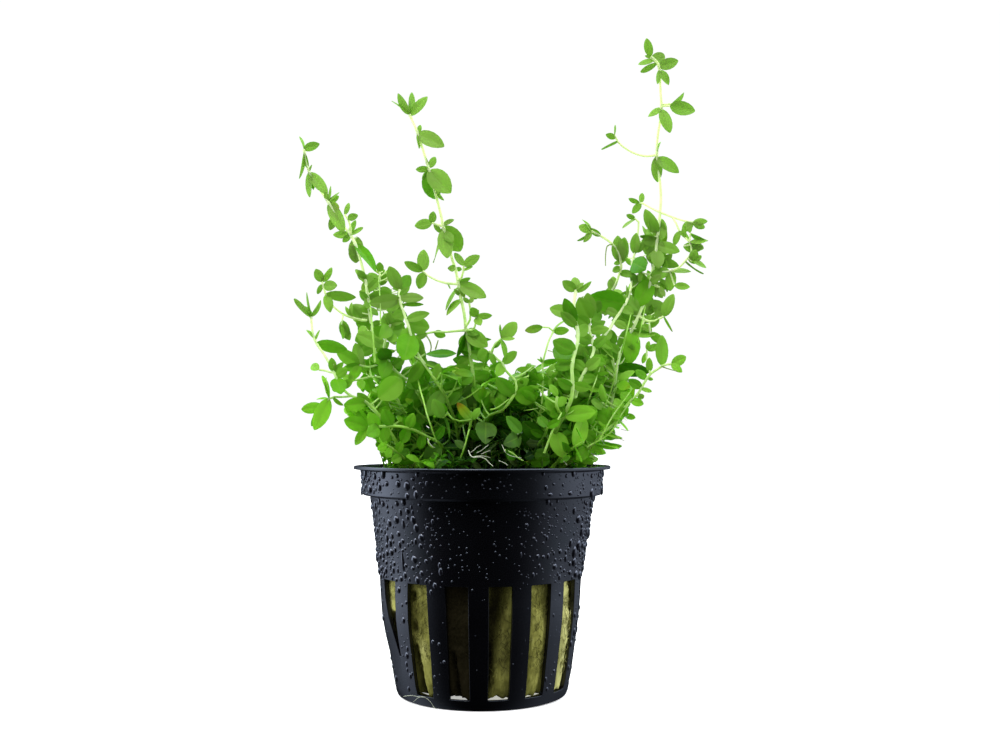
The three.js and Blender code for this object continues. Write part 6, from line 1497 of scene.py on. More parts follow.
def low_growth(plant_materials):
    """Fine short shoots that cover the mouth of the pot."""
    rng = random.Random(LOW_SEED)
    parts = {"left": Growth(), "middle": Growth(), "right": Growth(), "back": Growth()}
    made = 0
    tries = 0
    while made < LOW_TWIGS and tries < LOW_TRIES:
        tries += 1
        reach = LOW_REACH * math.sqrt(rng.random())
        turn = between(rng, 0, 2 * math.pi)
        foot = Vector((reach * math.cos(turn), reach * math.sin(turn), WOOL_TOP - 0.6))
        height = between(rng, *LOW_HEIGHTS)
        spread = 1 + between(rng, 0, LOW_SPREAD)
        target = Vector((foot.x * spread, foot.y * spread, height))
        if not may_grow(target):
            continue
        side = "middle"
        if foot.y > LOW_BACK_FROM:
            side = "back"
        elif abs(foot.x) > LOW_SIDE_FROM:
            side = "left" if foot.x < 0 else "right"
        leaf = between(rng, *LOW_LEAVES)
        add_twig(parts[side], rng, foot, target, LOW_PAIRS, leaf, MASS_TWIG_RADIUS, LOW_LEAF_ROWS)
        made += 1
    for side, growth in parts.items():
        growth.piece("low_growth_" + side, plant_materials, slot="plant")


def add_thread(growth, radius, places, step, brown=0):
    """A thin tapering thread through seen places."""
    route = smooth_route([spot(*place) for place in places], step)
    radii = tapered(radius, len(route), THREAD_TAPER)
    add_tube(growth, route, radii, THREAD_SIDES, (0.5, brown, 0))


def root_threads(stalk_colour, root_colour):
    """The stalks and curls that stand off the growth, and the pale roots."""
    growth = Growth()
    for radius, brown, places in THREADS:
        add_thread(growth, radius, places, 0.5, brown)
    growth.piece("fine_stalks", [stalk_colour], slot="plant")
    growth = Growth()
    for radius, places in PALE_ROOTS:
        add_thread(growth, radius, places, 0.4)
    rng = random.Random(HAIR_SEED)
    across, level, slope = HAIR_ROOT_LINE
    for _ in range(HAIR_ROOTS):
        up = between(rng, *HAIR_ROOT_HEIGHTS)
        start = spot(across + (up - level) * slope, up, HAIR_ROOT_DEPTH)
        way = Vector([between(rng, *span) for span in HAIR_ROOT_WAYS])
        way = way * between(rng, *HAIR_ROOT_LENGTHS)
        bend = Vector((0, 0, between(rng, *HAIR_ROOT_SAG)))
        route = [start, start + way * 0.5 + bend, start + way]
        add_tube(growth, route, HAIR_ROOT_RADII, HAIR_ROOT_SIDES)
    growth.piece("pale_roots", [root_colour], slot="plant")


# The pot

def on_axis(radius, height, degrees):
    """A point at a radius, height and bearing from the pot's axis."""
    angle = math.radians(degrees)
    return Vector((radius * math.cos(angle), radius * math.sin(angle), height))


def pot_section():
    """The closed section of the pot's wall, and where its slot levels begin outside and inside."""
    under = POT_HEIGHT - FLANGE_THICKNESS
    inner = [(radius - WALL_THICKNESS, height) for radius, height in SLOT_LEVELS]
    collar_inner = COLLAR_RADIUS - WALL_THICKNESS
    section = [
        (FLANGE_RADIUS - FLANGE_ROUNDING, POT_HEIGHT),
        (FLANGE_RADIUS, POT_HEIGHT - FLANGE_ROUNDING),
        (FLANGE_RADIUS, under + FLANGE_UNDER_ROUNDING),
        (FLANGE_RADIUS - FLANGE_UNDER_ROUNDING, under),
        (COLLAR_RADIUS + COLLAR_FILLET, under),
        (COLLAR_RADIUS, under - COLLAR_FILLET),
        COLLAR_MIDDLE,
        (COLLAR_FOOT_RADIUS, COLLAR_FOOT_HEIGHT + COLLAR_FOOT_ROUNDING),
        (COLLAR_FOOT_RADIUS - COLLAR_FOOT_ROUNDING, COLLAR_FOOT_HEIGHT),
        (WALL_TOP_RADIUS + SHOULDER_FILLET, COLLAR_FOOT_HEIGHT),
        (WALL_TOP_RADIUS, COLLAR_FOOT_HEIGHT - SHOULDER_FILLET),
        WALL_MIDDLE,
    ]
    first_outer = len(section)
    section += SLOT_LEVELS
    section += [*BASE_OUTER_EDGE, (BASE_RING_INNER_RADIUS, 0)]
    section += [(BASE_RING_INNER_RADIUS, BASE_THICKNESS), BASE_INNER_EDGE]
    first_inner = len(section)
    section += reversed(inner)
    section += [(WALL_MIDDLE[0] - WALL_THICKNESS, WALL_MIDDLE[1])]
    section += [(WALL_TOP_RADIUS - WALL_THICKNESS, COLLAR_FOOT_HEIGHT - 0.7)]
    section += [(COLLAR_FOOT_RADIUS - WALL_THICKNESS, COLLAR_FOOT_HEIGHT + 0.3)]
    section += [(collar_inner, POT_HEIGHT - 0.1), (collar_inner + 0.2, POT_HEIGHT)]
    return section, first_outer, first_inner


def side_bulge(degrees, height):
    """How far the wall stands out where the pot is pressed out of round."""
    bearing, half, rise = SIDE_BULGE
    off = half_turn(degrees - bearing)
    return rise * between_marks(BULGE_SHARES, height) * math.exp(-(off / half) ** 2)


def pot_columns():
    """Columns round the pot: degrees, sideways bow, whether a slot follows, and its lean."""
    columns = []
    for bar in range(BAR_COUNT):
        centre = FIRST_BAR_DEG + bar * BAR_PITCH
        bow = BAR_BOWS_DEG[bar]
        next_bow = BAR_BOWS_DEG[(bar + 1) % BAR_COUNT]
        for k in range(BAR_COLUMNS):
            columns.append((centre + BAR_WIDTH_DEG * (k / BAR_COLUMNS - 0.5), bow, False, 0))
        slot_width = BAR_PITCH - BAR_WIDTH_DEG
        for k in range(SLOT_COLUMNS):
            share = k / SLOT_COLUMNS
            edge = centre + BAR_WIDTH_DEG / 2
            lean = 1 - share if bar == BENT_BAR else 0
            columns.append((edge + slot_width * share, bow + (next_bow - bow) * share, True, lean))
    return columns


def centre_bar(index, count):
    """The bar that a column belongs to, or that its slot follows."""
    return index * BAR_COUNT // count


def pot_wall(growth):
    """The pot's wall with its slots: the section at each column, and faces between the columns."""
    section, first_outer, first_inner = pot_section()
    columns = pot_columns()
    levels = len(SLOT_LEVELS)
    last_outer = first_outer + levels - 1
    last_inner = first_inner + levels - 1
    count = len(section)
    grid = []
    for degrees, bow, _, lean in columns:
        row = []
        for level, (radius, height) in enumerate(section):
            bowed = first_outer < level < last_outer or first_inner < level < last_inner
            shift = bow * math.sin(math.pi * height / BOW_HEIGHT) if bowed else 0
            shift += lean * between_marks(BENT_BAR_LEAN, height) if bowed else 0
            wide = radius + side_bulge(degrees, height)
            row.append(growth.point(on_axis(wide, height, degrees + shift)))
        grid.append(row)
    for index, column in enumerate(columns):
        here = grid[index]
        there = grid[(index + 1) % len(columns)]
        is_slot = column[2]
        steps = levels - 1
        if centre_bar(index, len(columns)) == BENT_BAR:
            steps = BENT_SLOT_STEPS
        sill_outer = first_outer + steps
        sill_inner = last_inner - steps
        for level in range(count):
            above = (level + 1) % count
            hole = first_outer <= level < sill_outer or sill_inner <= level < last_inner
            if not (is_slot and hole):
                growth.face((here[level], here[above], there[above], there[level]))
        if not is_slot:
            continue
        growth.face((here[first_outer], here[last_inner], there[last_inner], there[first_outer]))
        growth.face((here[sill_inner], here[sill_outer], there[sill_outer], there[sill_inner]))
        opens = not columns[index - 1][2]
        closes = not columns[(index + 1) % len(columns)][2]
        for step in range(steps):
            high = first_outer + step
            inner_high = last_inner - step
            if opens:
                growth.face((here[high], here[high + 1], here[inner_high - 1], here[inner_high]))
            if closes:
                growth.face((there[high], there[inner_high], there[inner_high - 1], there[high + 1]))


def flat_plate(growth, outline, low, high):
    """A closed plate from an outline of points, counter-clockwise from above."""
    lower = [growth.point(Vector((x, y, low))) for x, y in outline]
    upper = [growth.point(Vector((x, y, high))) for x, y in outline]
    growth.face(tuple(reversed(lower)))
    growth.face(tuple(upper))
    for i in range(len(outline)):
        k = (i + 1) % len(outline)
        growth.face((lower[i], lower[k], upper[k], upper[i]))


def net_pot(material):
    """The whole pot: wall, hub disc and spokes, with its edges rounded."""
    growth = Growth()
    pot_wall(growth)
    hub = []
    for i in range(HUB_SIDES):
        turn = i * math.pi / (HUB_SIDES / 2)
        hub.append((HUB_RADIUS * math.cos(turn), HUB_RADIUS * math.sin(turn)))
    flat_plate(growth, hub, 0, BASE_THICKNESS)
    reach = BASE_RING_INNER_RADIUS + SPOKE_INTO_RING
    half = SPOKE_WIDTH / 2
    start = HUB_RADIUS - SPOKE_INTO_HUB
    for x, y in ((1, 0), (0, 1), (-1, 0), (0, -1)):
        corners = [(start, -half), (reach, -half), (reach, half), (start, half)]
        spoke = [(a * x - b * y, a * y + b * x) for a, b in corners]
        flat_plate(growth, spoke, SPOKE_INSET, BASE_THICKNESS - SPOKE_INSET)
    pot = growth.piece("pot_body", [material], 35, "pot", "net_pot")
    bevel = pot.modifiers.new("edge_rounding", "BEVEL")
    bevel.width = EDGE_ROUNDING * MM
    bevel.segments = 2
    bevel.limit_method = "ANGLE"
    bevel.angle_limit = math.radians(40)


def wall_radius(height, degrees):
    """Outside radius of the pot at a height and bearing."""
    section, _, _ = pot_section()
    outer = [(h, r) for r, h in section[OUTWARD_POINTS]]
    for (h0, r0), (h1, r1) in zip(outer, outer[1:]):
        if h1 <= height <= h0 and h0 > h1:
            return r1 + (r0 - r1) * (height - h1) / (h0 - h1) + side_bulge(degrees, height)
    return None


def bead_share(degrees):
    """How thickly the pot is beaded at a bearing: thick on the left, thin in the middle."""
    turn = half_turn(degrees + 90)
    least, rise, start, run = LEFT_DROPS if turn < 0 else RIGHT_DROPS
    return least + rise * clamp((abs(turn) - start) / run)


def bead_size(rng, degrees):
    """Radius of a drop: the largest hang on the left, fine specks in the middle."""
    share = bead_share(degrees)
    _, least, wide, rare = next(row for row in DROP_SIZES if share < row[0])
    return least + wide * rng.random() ** rare


def on_slot(degrees, height):
    """True over a slot or at the edge of one, where no drop hangs."""
    low, high = SLOT_HEIGHTS
    if not low < height < high:
        return False
    off = (degrees - FIRST_BAR_DEG + BAR_PITCH / 2) % BAR_PITCH - BAR_PITCH / 2
    return abs(off) > BAR_WIDTH_DEG / 2 - SLOT_MARGIN_DEG


def add_bead(growth, place, out, size, tall):
    """A clinging drop: a low dome, fuller towards its foot."""
    up = Vector((0, 0, 1))
    up = (up - out * up.dot(out)).normalized()
    side = up.cross(out)
    sides = DROP_SIDES[size > ROUND_DROP_FROM]
    rings = []
    for share, rise in DROP_RINGS:
        ring = []
        for k in range(sides):
            turn = 2 * math.pi * k / sides
            long = math.sin(turn)
            reach = share * (1 - DROP_SAG * long)
            flat = side * (math.cos(turn) * reach) + up * (long * tall * share - DROP_SAG * rise)
            ring.append(growth.point(place + flat * size + out * (rise * size)))
        rings.append(ring)
    crown = growth.point(place + out * (DROP_RISE * size) - up * (DROP_SAG * size))
    growth.join_rings(rings)
    for k in range(sides):
        growth.face((rings[-1][k], rings[-1][(k + 1) % sides], crown))
    growth.face(tuple(reversed(rings[0])))


def facing_out(degrees, height, slant):
    """The way out from the wall, which leans down below the collar."""
    out = on_axis(1, 0, degrees)
    if height < WALL_SLANT_BELOW:
        out = (out + Vector((0, 0, -slant))).normalized()
    return out


def beads(material):
    """The wet finish of the pot: drops that cling to its collar, wall and bars."""
    rng = random.Random(DROP_SEED)
    growth = Growth()
    kept = []
    for degrees, height, size, tall in DRIPS:
        radius = wall_radius(height, degrees)
        place = on_axis(radius, height, degrees)
        add_bead(growth, place, facing_out(degrees, height, DRIP_SLANT), size, tall)
        for step in range(-1, 2):
            kept.append((on_axis(radius, height + step * size * (tall - 1) * 0.7, degrees), size))
    for _ in range(DROP_TRIES):
        degrees = between(rng, -180, 180)
        height = between(rng, *DROP_HEIGHTS)
        on_bars = height <= BARS_BELOW
        share = bead_share(degrees) * (BAR_DROP_SHARE if on_bars else 1)
        if rng.random() > share or on_slot(degrees, height):
            continue
        radius = wall_radius(height, degrees)
        if radius is None or COLLAR_EDGE[0] < height < COLLAR_EDGE[1]:
            continue
        size = bead_size(rng, degrees) * (BAR_DROP_SIZE if on_bars else 1)
        place = on_axis(radius, height, degrees)
        if any((place - other).length < (size + gap) * DROP_GAP for other, gap in kept):
            continue
        kept.append((place, size))
        tall = between(rng, *(LONG_DROPS if size > LONG_DROP_FROM else SHORT_DROPS))
        add_bead(growth, place, facing_out(degrees, height, DROP_SLANT), size, tall)
    growth.piece("clinging_drops", [material], 60, "pot")


# The wool

def wool_radius(height):
    """The plug's radius against the inside of the wall."""
    return between_marks(WOOL_RADII, height)


def fold_depth(degrees, height):
    """How deep the folds of the wool lie at a place."""
    depth = 0
    for bearing, half, low, high, deep, slant in WOOL_FOLDS:
        off = half_turn(degrees - bearing - slant * (height - (low + high) / 2))
        along = clamp((height - low) / 2) * clamp((high - height) / 2)
        depth += deep * along * math.exp(-((off / half) ** 4))
    return depth


def wool_share(marks, degrees, height):
    """The strongest of the marked patches at a place."""
    strongest = 0
    for bearing, half, low, high, share in marks:
        off = half_turn(degrees - bearing)
        along = clamp((height - low) / 3) * clamp((high - height) / 3)
        strongest = max(strongest, share * along * math.exp(-((off / half) ** 4)))
    return strongest


def wool_swell(degrees, height):
    """How far the wool is pressed out against the wall and its slots."""
    return side_bulge(degrees, height) + wool_share(WOOL_SWELLS, degrees, height)


def notch_rise(degrees):
    """How much higher the plug's edge lies where a piece of it is missing."""
    bearing, half, rise = WOOL_NOTCH
    off = half_turn(degrees - bearing)
    return rise * math.exp(-((off / half) ** 4))


def wool_levels():
    """The heights of the plug's rings, close together where the slots show it."""
    levels = [1.8, 3.0, WOOL_LOW_EDGE - 1.2, WOOL_LOW_EDGE - 0.6, WOOL_LOW_EDGE - 0.2]
    height = WOOL_LOW_EDGE
    while height < WOOL_FINE_BELOW:
        levels.append(height)
        height += WOOL_FINE_STEP
    while height < WOOL_TOP:
        levels.append(height)
        height += WOOL_COARSE_STEP
    return [*levels, WOOL_TOP]


def skirt_drop(degrees, height, radius):
    """How far the ragged lower edge hangs down, less above it and not at all near the axis."""
    if height >= WOOL_LOW_EDGE + SKIRT_REACH or radius <= SKIRT_INNER_RADIUS:
        return 0
    varied = noise.noise(Vector((degrees * RAGGED_GRAIN, 3, 0)))
    ragged = RAGGED_LEVEL + RAGGED_DEPTH * varied - notch_rise(degrees)
    return (WOOL_SKIRT_DROP + ragged) * max(0, 1 - (height - WOOL_LOW_EDGE) / SKIRT_REACH)


def wool_point(growth, degrees, height):
    """A point of the plug's surface, with its painted shade, darker patches and painted light there."""
    plain = wool_radius(height)
    place = on_axis(plain, height, degrees)
    lump = noise.fractal(place * LUMP_GRAIN, 1.0, 2.0, 3)
    mat = noise.fractal(place * MAT_GRAIN, 0.9, 2.2, 3)
    inward = fold_depth(degrees, height) + LUMP_DEPTH * max(0, lump + LUMP_LEVEL)
    outward = wool_swell(degrees, height)
    radius = min(plain + outward - inward + MAT_DEPTH * mat, plain + outward + MOST_OUT)
    # Painted shade in folds, dents and shaded slots, darker patches, and painted light at lit slots
    shade = clamp(max(inward / WOOL_SHADE_DEPTH, wool_share(WOOL_PAINTED_SHADE_AND_PATCHES, degrees, height)))
    painted_light = wool_share(WOOL_PAINTED_LIGHTS, degrees, height)
    low = height - skirt_drop(degrees, height, radius)
    moved = on_axis(max(WOOL_LEAST_RADIUS, radius), low, degrees)
    moved.z = max(moved.z, BASE_THICKNESS + WOOL_FOOT_CLEARANCE)
    return growth.point(moved, (shade, painted_light, 0))


def rockwool(material):
    """The rolled plug, with folds, lumps and a matted surface."""
    growth = Growth()
    rings = []
    for height in wool_levels():
        rings.append([wool_point(growth, k * 360 / WOOL_COLUMNS, height) for k in range(WOOL_COLUMNS)])
    growth.join_rings(rings)
    foot = growth.point(Vector((0, 0, BASE_THICKNESS + WOOL_FOOT_CLEARANCE + 0.05)))
    crown = growth.point(Vector((0, 0, WOOL_TOP)))
    for k in range(WOOL_COLUMNS):
        nearby = (k + 1) % WOOL_COLUMNS
        growth.face((rings[0][nearby], rings[0][k], foot))
        growth.face((rings[-1][k], rings[-1][nearby], crown))
    growth.piece("wool_plug", [material], 80, "wool", "rockwool")


def wool_fibres(material):
    """Loose fibres that lie on the plug where the slots show it."""
    rng = random.Random(FIBRE_SEED)
    growth = Growth()
    for _ in range(FIBRE_COUNT):
        height = between(rng, *FIBRE_HEIGHTS)
        degrees = between(rng, -180, 180)
        inward = fold_depth(degrees, height)
        sink = between(rng, *FIBRE_SINK)
        radius = wool_radius(height) + wool_swell(degrees, height) - inward - sink
        place = on_axis(radius, height, degrees)
        out = on_axis(1, 0, degrees)
        flat = Quaternion(out, between(rng, -FIBRE_SLANT, FIBRE_SLANT)) @ Vector((0, 0, 1))
        length = between(rng, *FIBRE_LENGTHS)
        lift = out * between(rng, *FIBRE_LIFT)
        route = [place - flat * length / 2, place + lift, place + flat * length / 2]
        if route[0].z < FIBRE_LOWEST or route[2].z < FIBRE_LOWEST:
            continue
        # Painted shade: fibres in folds, in shaded slots and on darker patches are darkened like the wool
        dark = max(inward / WOOL_SHADE_DEPTH, wool_share(WOOL_PAINTED_SHADE_AND_PATCHES, degrees, height))
        tone = (rng.random() * max(0, 1 - dark), clamp(dark), 0)
        add_tube(growth, route, FIBRE_RADII, 3, tone)
    growth.piece("wool_fibres", [material], 60, "wool")


# Materials

def new_material(name):
    """A material with an empty tree but for its shader, and that shader."""
    material = bpy.data.materials.new(name)
    material.use_nodes = True
    tree = material.node_tree
    tree.nodes.clear()
    out = tree.nodes.new("ShaderNodeOutputMaterial")
    shader = tree.nodes.new("ShaderNodeBsdfPrincipled")
    tree.links.new(shader.outputs["BSDF"], out.inputs["Surface"])
    return material, shader


def add_node(material, kind, inputs=None, **settings):
    """A node with its settings, and inputs that are either values or sockets to link."""
    tree = material.node_tree
    node = tree.nodes.new(kind)
    for key, value in settings.items():
        setattr(node, key, value)
    for key, value in (inputs or {}).items():
        if isinstance(value, bpy.types.NodeSocket):
            tree.links.new(value, node.inputs[key])
        else:
            node.inputs[key].default_value = value
    return node


def link(material, source, target):
    """Joins two sockets of a material."""
    material.node_tree.links.new(source, target)


def attribute_parts(material, name):
    """The three numbers that each point of the mesh carries under a name."""
    whole = add_node(material, "ShaderNodeAttribute", attribute_name=name)
    return add_node(material, "ShaderNodeSeparateColor", {"Color": whole.outputs["Color"]}).outputs


def object_noise(material, scale, detail=3.0, rough=0.5):
    """Noise that is fixed to the object."""
    place = add_node(material, "ShaderNodeTexCoord")
    inputs = {"Vector": place.outputs["Object"], "Scale": scale, "Detail": detail, "Roughness": rough}
    return add_node(material, "ShaderNodeTexNoise", inputs).outputs["Fac"]


def spread(material, value, low, high):
    """A value from 0 to 1 spread over another span."""
    return add_node(material, "ShaderNodeMapRange", {"Value": value, 3: low, 4: high}).outputs[0]


def rise_over(material, value, low, high):
    """0 below a span, 1 above it and straight between."""
    return add_node(material, "ShaderNodeMapRange", {"Value": value, 1: low, 2: high}).outputs[0]


def ramp(material, value, stops):
    """A colour ramp over a value: stops are (place, colour)."""
    node = add_node(material, "ShaderNodeValToRGB", {"Fac": value})
    elements = node.color_ramp.elements
    while len(elements) < len(stops):
        elements.new(0.5)
    for element, (place, colour) in zip(elements, stops):
        element.position = place
        element.color = (*colour, 1)
    return node.outputs["Color"]


def mix_colour(material, share, first, second):
    """A colour between two others, each a socket or three numbers."""
    node = add_node(material, "ShaderNodeMix", data_type="RGBA")
    for index, value in ((0, share), (6, first), (7, second)):
        if isinstance(value, bpy.types.NodeSocket):
            link(material, value, node.inputs[index])
        elif index == 0:
            node.inputs[0].default_value = value
        else:
            node.inputs[index].default_value = (*value, 1)
    return node.outputs[2]


def sums(material, operation, first, second=0):
    """The result of one step of arithmetic."""
    return add_node(material, "ShaderNodeMath", {0: first, 1: second}, operation=operation).outputs[0]


def mottled(material, value, grain, strength):
    """A value that the grain moves up and down."""
    shift = sums(material, "MULTIPLY", sums(material, "SUBTRACT", grain, 0.5), strength)
    return sums(material, "ADD", value, shift)


def surface_bump(material, shader, height, strength, distance):
    """Fine relief, with its distance in metres."""
    inputs = {"Height": height, "Strength": strength, "Distance": distance}
    bump = add_node(material, "ShaderNodeBump", inputs)
    link(material, bump.outputs["Normal"], shader.inputs["Normal"])


def let_light_through(material, shader, colour, share):
    """Mixes in light that passes through the thin tissue from behind."""
    tree = material.node_tree
    out = next(node for node in tree.nodes if node.type == "OUTPUT_MATERIAL")
    through = add_node(material, "ShaderNodeBsdfTranslucent", {"Color": colour})
    inputs = {0: share, 1: shader.outputs[0], 2: through.outputs[0]}
    mixed = add_node(material, "ShaderNodeMixShader", inputs)
    tree.links.new(mixed.outputs[0], out.inputs["Surface"])


def leaf_material():
    """Thin green blade: tone by leaf, whose brightness carries painted light and shade, lighter midrib
    and veins, browner edge and tip.
    """
    material, shader = new_material("leaf_green")
    bright, brown, pale = attribute_parts(material, "tone")
    along, across, _ = attribute_parts(material, "blade")
    grain = object_noise(material, 420, 2)
    green = ramp(material, mottled(material, bright, grain, LEAF_MOTTLE), LEAF_GREENS)
    paled = mix_colour(material, pale, green, LEAF_PALE)
    off_middle = sums(material, "ABSOLUTE", sums(material, "SUBTRACT", across, 0.5))
    rib = sums(material, "LESS_THAN", off_middle, RIB_HALF_WIDTH)
    spacing = sums(material, "MULTIPLY", along, VEIN_SPACING)
    slant = sums(material, "MULTIPLY", off_middle, VEIN_SLANT)
    waves = sums(material, "SINE", sums(material, "ADD", spacing, slant))
    veins = sums(material, "GREATER_THAN", waves, VEIN_EDGE)
    rib_share = sums(material, "MULTIPLY", rib, RIB_STRENGTH)
    vein_share = sums(material, "MULTIPLY", veins, VEIN_STRENGTH)
    lines = sums(material, "MAXIMUM", rib_share, vein_share)
    veined = mix_colour(material, lines, paled, LEAF_RIB)
    outer = sums(material, "MULTIPLY", rise_over(material, along, *YELLOW_FROM), brown)
    yellowed = mix_colour(material, outer, veined, LEAF_YELLOW)
    end = sums(material, "MULTIPLY", rise_over(material, along, *BROWN_FROM), brown)
    colour = mix_colour(material, end, yellowed, LEAF_BROWN)
    link(material, colour, shader.inputs["Base Color"])
    link(material, spread(material, grain, *LEAF_ROUGHNESS), shader.inputs["Roughness"])
    shader.inputs["Specular IOR Level"].default_value = 0.1
    relief = sums(material, "ADD", sums(material, "MULTIPLY", lines, -1), grain)
    surface_bump(material, shader, relief, 0.2, 0.0001)
    let_light_through(material, shader, colour, LEAF_LIGHT_THROUGH)
    return material


def stem_material():
    """Pale yellow-green stem, lighter and darker by the painted light and shade in its tone, mottled and
    browner where its tone says so.
    """
    material, shader = new_material("stem_green")
    bright, brown, _ = attribute_parts(material, "tone")
    grain = object_noise(material, 600, 3)
    green = ramp(material, mottled(material, bright, grain, STEM_MOTTLE), STEM_GREENS)
    colour = mix_colour(material, brown, green, STEM_BROWN)
    link(material, colour, shader.inputs["Base Color"])
    shader.inputs["Roughness"].default_value = 0.4
    surface_bump(material, shader, grain, 0.3, 0.0001)
    let_light_through(material, shader, colour, STEM_LIGHT_THROUGH)
    return material


def root_material():
    """Pale root, slightly uneven in colour and surface."""
    material, shader = new_material("root_pale")
    grain = object_noise(material, 500, 3)
    link(material, ramp(material, grain, ROOT_TONES), shader.inputs["Base Color"])
    shader.inputs["Roughness"].default_value = 0.45
    surface_bump(material, shader, grain, 0.2, 0.00005)
    return material


def pot_material():
    """Black moulded plastic with a soft gloss and a fine moulding texture."""
    material, shader = new_material("pot_black")
    fine = object_noise(material, 900, 4)
    broad = object_noise(material, 60, 3)
    link(material, ramp(material, broad, POT_BLACKS), shader.inputs["Base Color"])
    link(material, spread(material, broad, *POT_ROUGHNESS), shader.inputs["Roughness"])
    surface_bump(material, shader, fine, 0.1, 0.00008)
    return material


def drop_material():
    """Smooth glossy drops in the dark colour of the pot."""
    material, shader = new_material("drop_clear")
    tint = object_noise(material, 80, 2)
    link(material, ramp(material, tint, DROP_BLACKS), shader.inputs["Base Color"])
    shader.inputs["Roughness"].default_value = 0.04
    shader.inputs["IOR"].default_value = 1.65
    return material


def wool_material():
    """Olive mineral wool: matted streaks, with painted shade in its folds and shaded slots, darker
    patches, and painted light at lit slots.
    """
    material, shader = new_material("wool_olive")
    painted_shade_and_patches, painted_light, _ = attribute_parts(material, "blade")
    broad = object_noise(material, 130, 5, 0.6)
    place = add_node(material, "ShaderNodeTexCoord")
    inputs = {"Vector": place.outputs["Object"], "Scale": (1, 1, 0.3)}
    stretch = add_node(material, "ShaderNodeMapping", inputs)
    inputs = {"Vector": stretch.outputs["Vector"], "Scale": 1500, "Detail": 5}
    streaks = add_node(material, "ShaderNodeTexNoise", inputs).outputs["Fac"]
    broad_share = sums(material, "MULTIPLY", broad, 0.6)
    streak_share = sums(material, "MULTIPLY", streaks, 0.4)
    value = sums(material, "ADD", broad_share, streak_share)
    # Painted light, then painted shade and darker patches, from the points' blade numbers
    olive = mix_colour(material, painted_light, ramp(material, value, WOOL_OLIVES), WOOL_PAINTED_LIGHT_COLOUR)
    colour = mix_colour(material, painted_shade_and_patches, olive, WOOL_SHADE_AND_PATCH_COLOUR)
    link(material, colour, shader.inputs["Base Color"])
    shader.inputs["Roughness"].default_value = 0.85
    shader.inputs["Specular IOR Level"].default_value = 0.1
    surface_bump(material, shader, value, 0.9, 0.0006)
    return material


def fibre_material():
    """Loose olive fibres, some paler, with the painted shade and darker patches of the wool under them.
    """
    material, shader = new_material("wool_fibre")
    bright, painted_shade_and_patches, _ = attribute_parts(material, "tone")
    colour = mix_colour(material, painted_shade_and_patches, ramp(material, bright, FIBRE_OLIVES), FIBRE_SHADE_AND_PATCH_COLOUR)
    link(material, colour, shader.inputs["Base Color"])
    shader.inputs["Roughness"].default_value = 0.7
    shader.inputs["Specular IOR Level"].default_value = 0.1
    return material


def floor_material():
    """White ground that glows a little, so that it stays white."""
    material, shader = new_material("floor_white")
    grain = object_noise(material, 30, 2)
    link(material, ramp(material, grain, FLOOR_WHITES), shader.inputs["Base Color"])
    shader.inputs["Roughness"].default_value = 0.9
    shader.inputs["Specular IOR Level"].default_value = 0
    shader.inputs["Emission Color"].default_value = (1, 1, 1, 1)
    shader.inputs["Emission Strength"].default_value = 0.45
    return material


# The stage

def floor():
    """The ground under the pot, which is neither mirrored in it nor lights it."""
    mesh = bpy.data.meshes.new("floor")
    far = FLOOR_REACH
    mesh.from_pydata([(-far, -far, 0), (far, -far, 0), (far, far, 0), (-far, far, 0)], [], [(0, 1, 2, 3)])
    mesh.materials.append(floor_material())
    plane = bpy.data.objects.new("floor", mesh)
    bpy.context.scene.collection.objects.link(plane)
    plane.visible_glossy = False
    plane.visible_diffuse = False


def soft_box(name, place, target, wide, high, power, colour, mirrored):
    """A large rectangular lamp that faces a point."""
    lamp = bpy.data.lights.new(name, "AREA")
    lamp.shape = "RECTANGLE"
    lamp.size = wide
    lamp.size_y = high
    lamp.energy = power
    lamp.color = colour
    made = bpy.data.objects.new(name, lamp)
    made.location = place
    made.rotation_euler = (Vector(target) - Vector(place)).to_track_quat("-Z", "Y").to_euler()
    made.visible_glossy = mirrored
    bpy.context.scene.collection.objects.link(made)


def map_range(tree, value, marks):
    """Leads a value smoothly from one span to another: from low, from high, to low, to high."""
    node = tree.nodes.new("ShaderNodeMapRange")
    node.interpolation_type = "SMOOTHSTEP"
    for index, mark in enumerate(marks):
        node.inputs[index + 1].default_value = mark
    tree.links.new(value, node.inputs[0])
    return node.outputs[0]


def combine(tree, operation, first, *others):
    """Multiplies or adds sockets, one after the other."""
    result = first
    for other in others:
        node = tree.nodes.new("ShaderNodeMath")
        node.operation = operation
        tree.links.new(result, node.inputs[0])
        tree.links.new(other, node.inputs[1])
        result = node.outputs[0]
    return result


def glow(tree, strength, colour):
    """A background light whose strength is a number or a socket."""
    node = tree.nodes.new("ShaderNodeBackground")
    node.inputs["Color"].default_value = (*colour, 1)
    if isinstance(strength, bpy.types.NodeSocket):
        tree.links.new(strength, node.inputs["Strength"])
    else:
        node.inputs["Strength"].default_value = strength
    return node.outputs[0]


def choose(tree, share, first, second):
    """The first light where the share is 0, the second where it is 1."""
    node = tree.nodes.new("ShaderNodeMixShader")
    tree.links.new(share, node.inputs[0])
    tree.links.new(first, node.inputs[1])
    tree.links.new(second, node.inputs[2])
    return node.outputs[0]


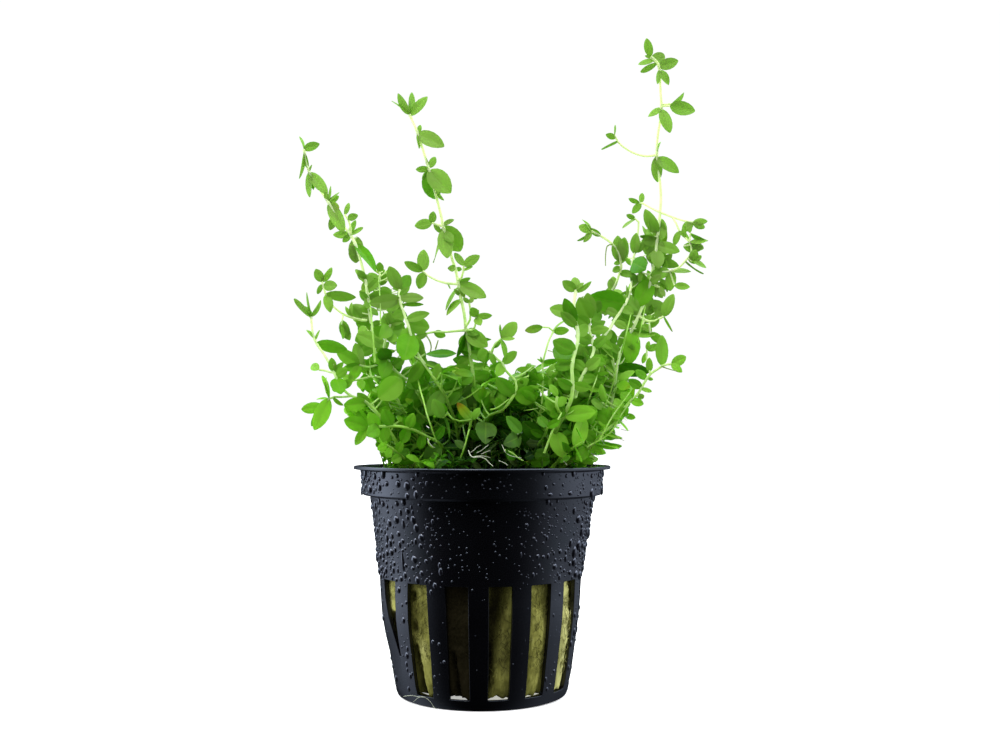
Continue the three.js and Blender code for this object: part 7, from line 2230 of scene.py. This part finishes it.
def surroundings():
    """A white studio, bright behind and above, with two soft bands that glossy parts mirror."""
    world = bpy.data.worlds.new("studio")
    bpy.context.scene.world = world
    world.use_nodes = True
    tree = world.node_tree
    tree.nodes.clear()
    out = tree.nodes.new("ShaderNodeOutputWorld")
    place = tree.nodes.new("ShaderNodeTexCoord")
    split = tree.nodes.new("ShaderNodeSeparateXYZ")
    tree.links.new(place.outputs["Generated"], split.inputs[0])
    side, depth, height = split.outputs

    def product(*spans):
        return combine(tree, "MULTIPLY", *[map_range(tree, value, marks) for value, marks in spans])

    lit = product((depth, WORLD_DEPTH), (height, WORLD_HEIGHT))
    left = product((side, BAND_LEFT), (depth, BAND_LEFT_FRONT), (depth, BAND_LEFT_BACK))
    right = product((side, BAND_RIGHT), (depth, BAND_RIGHT_FRONT), (depth, BAND_RIGHT_BACK))
    both = combine(tree, "ADD", left, right)
    bands = combine(tree, "MULTIPLY", both, map_range(tree, height, BAND_HEIGHT))
    mirrored = combine(tree, "ADD", bands, map_range(tree, height, GLOSS_TOP))
    rays = tree.nodes.new("ShaderNodeLightPath")
    matt_light = glow(tree, lit, WORLD_COLOUR)
    gloss_light = glow(tree, mirrored, BAND_COLOUR)
    soft = choose(tree, rays.outputs["Is Glossy Ray"], matt_light, gloss_light)
    background = glow(tree, BACKGROUND_STRENGTH, BACKGROUND_COLOUR)
    whole = choose(tree, rays.outputs["Is Camera Ray"], soft, background)
    tree.links.new(whole, out.inputs["Surface"])


def camera():
    """The eye stands in front of the pot, a little above its rim."""
    lens = bpy.data.cameras.new("camera")
    lens.lens = LENS_MM
    lens.sensor_width = SENSOR_MM
    lens.clip_start = 0.01
    lens.clip_end = 20
    made = bpy.data.objects.new("camera", lens)
    made.location = (0, -EYE_DISTANCE * MM, EYE_HEIGHT * MM)
    made.rotation_euler = (math.pi / 2 + EYE_TILT, 0, EYE_TURN)
    bpy.context.scene.collection.objects.link(made)
    bpy.context.scene.camera = made


def studio():
    """Light and colour settings."""
    scene = bpy.context.scene
    scene.view_settings.view_transform = "Standard"
    scene.view_settings.look = "None"
    surroundings()
    for lamp in LAMPS:
        soft_box(*lamp)


def plants():
    """Every stem with its leaves, and the growth that fills the bush."""
    leaf = leaf_material()
    stem = stem_material()
    plant_materials = [leaf, stem]
    grown = {}
    for name, radius, runs, leaves in STEMS:
        grown[name] = traced_stem(name, radius, runs, leaves + MORE_LEAVES.get(name, []))
    show_stems(grown)
    for entry in BUSH_STEMS:
        grown[entry[0]] = bush_stem(entry)
    fill_growth(grown)
    for mass in MASSES:
        fill_mass(grown, *mass)
    for name, (growth, _) in grown.items():
        growth.piece(name + "_grown", plant_materials, slot="plant", instead_of=name)
    low_growth(plant_materials)
    root_threads(stem, root_material())


def main():
    """Builds the plant and its pot on the frame, and the stage round them."""
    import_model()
    plants()
    net_pot(pot_material())
    beads(drop_material())
    rockwool(wool_material())
    wool_fibres(fibre_material())
    floor()
    camera()
    studio()


main()
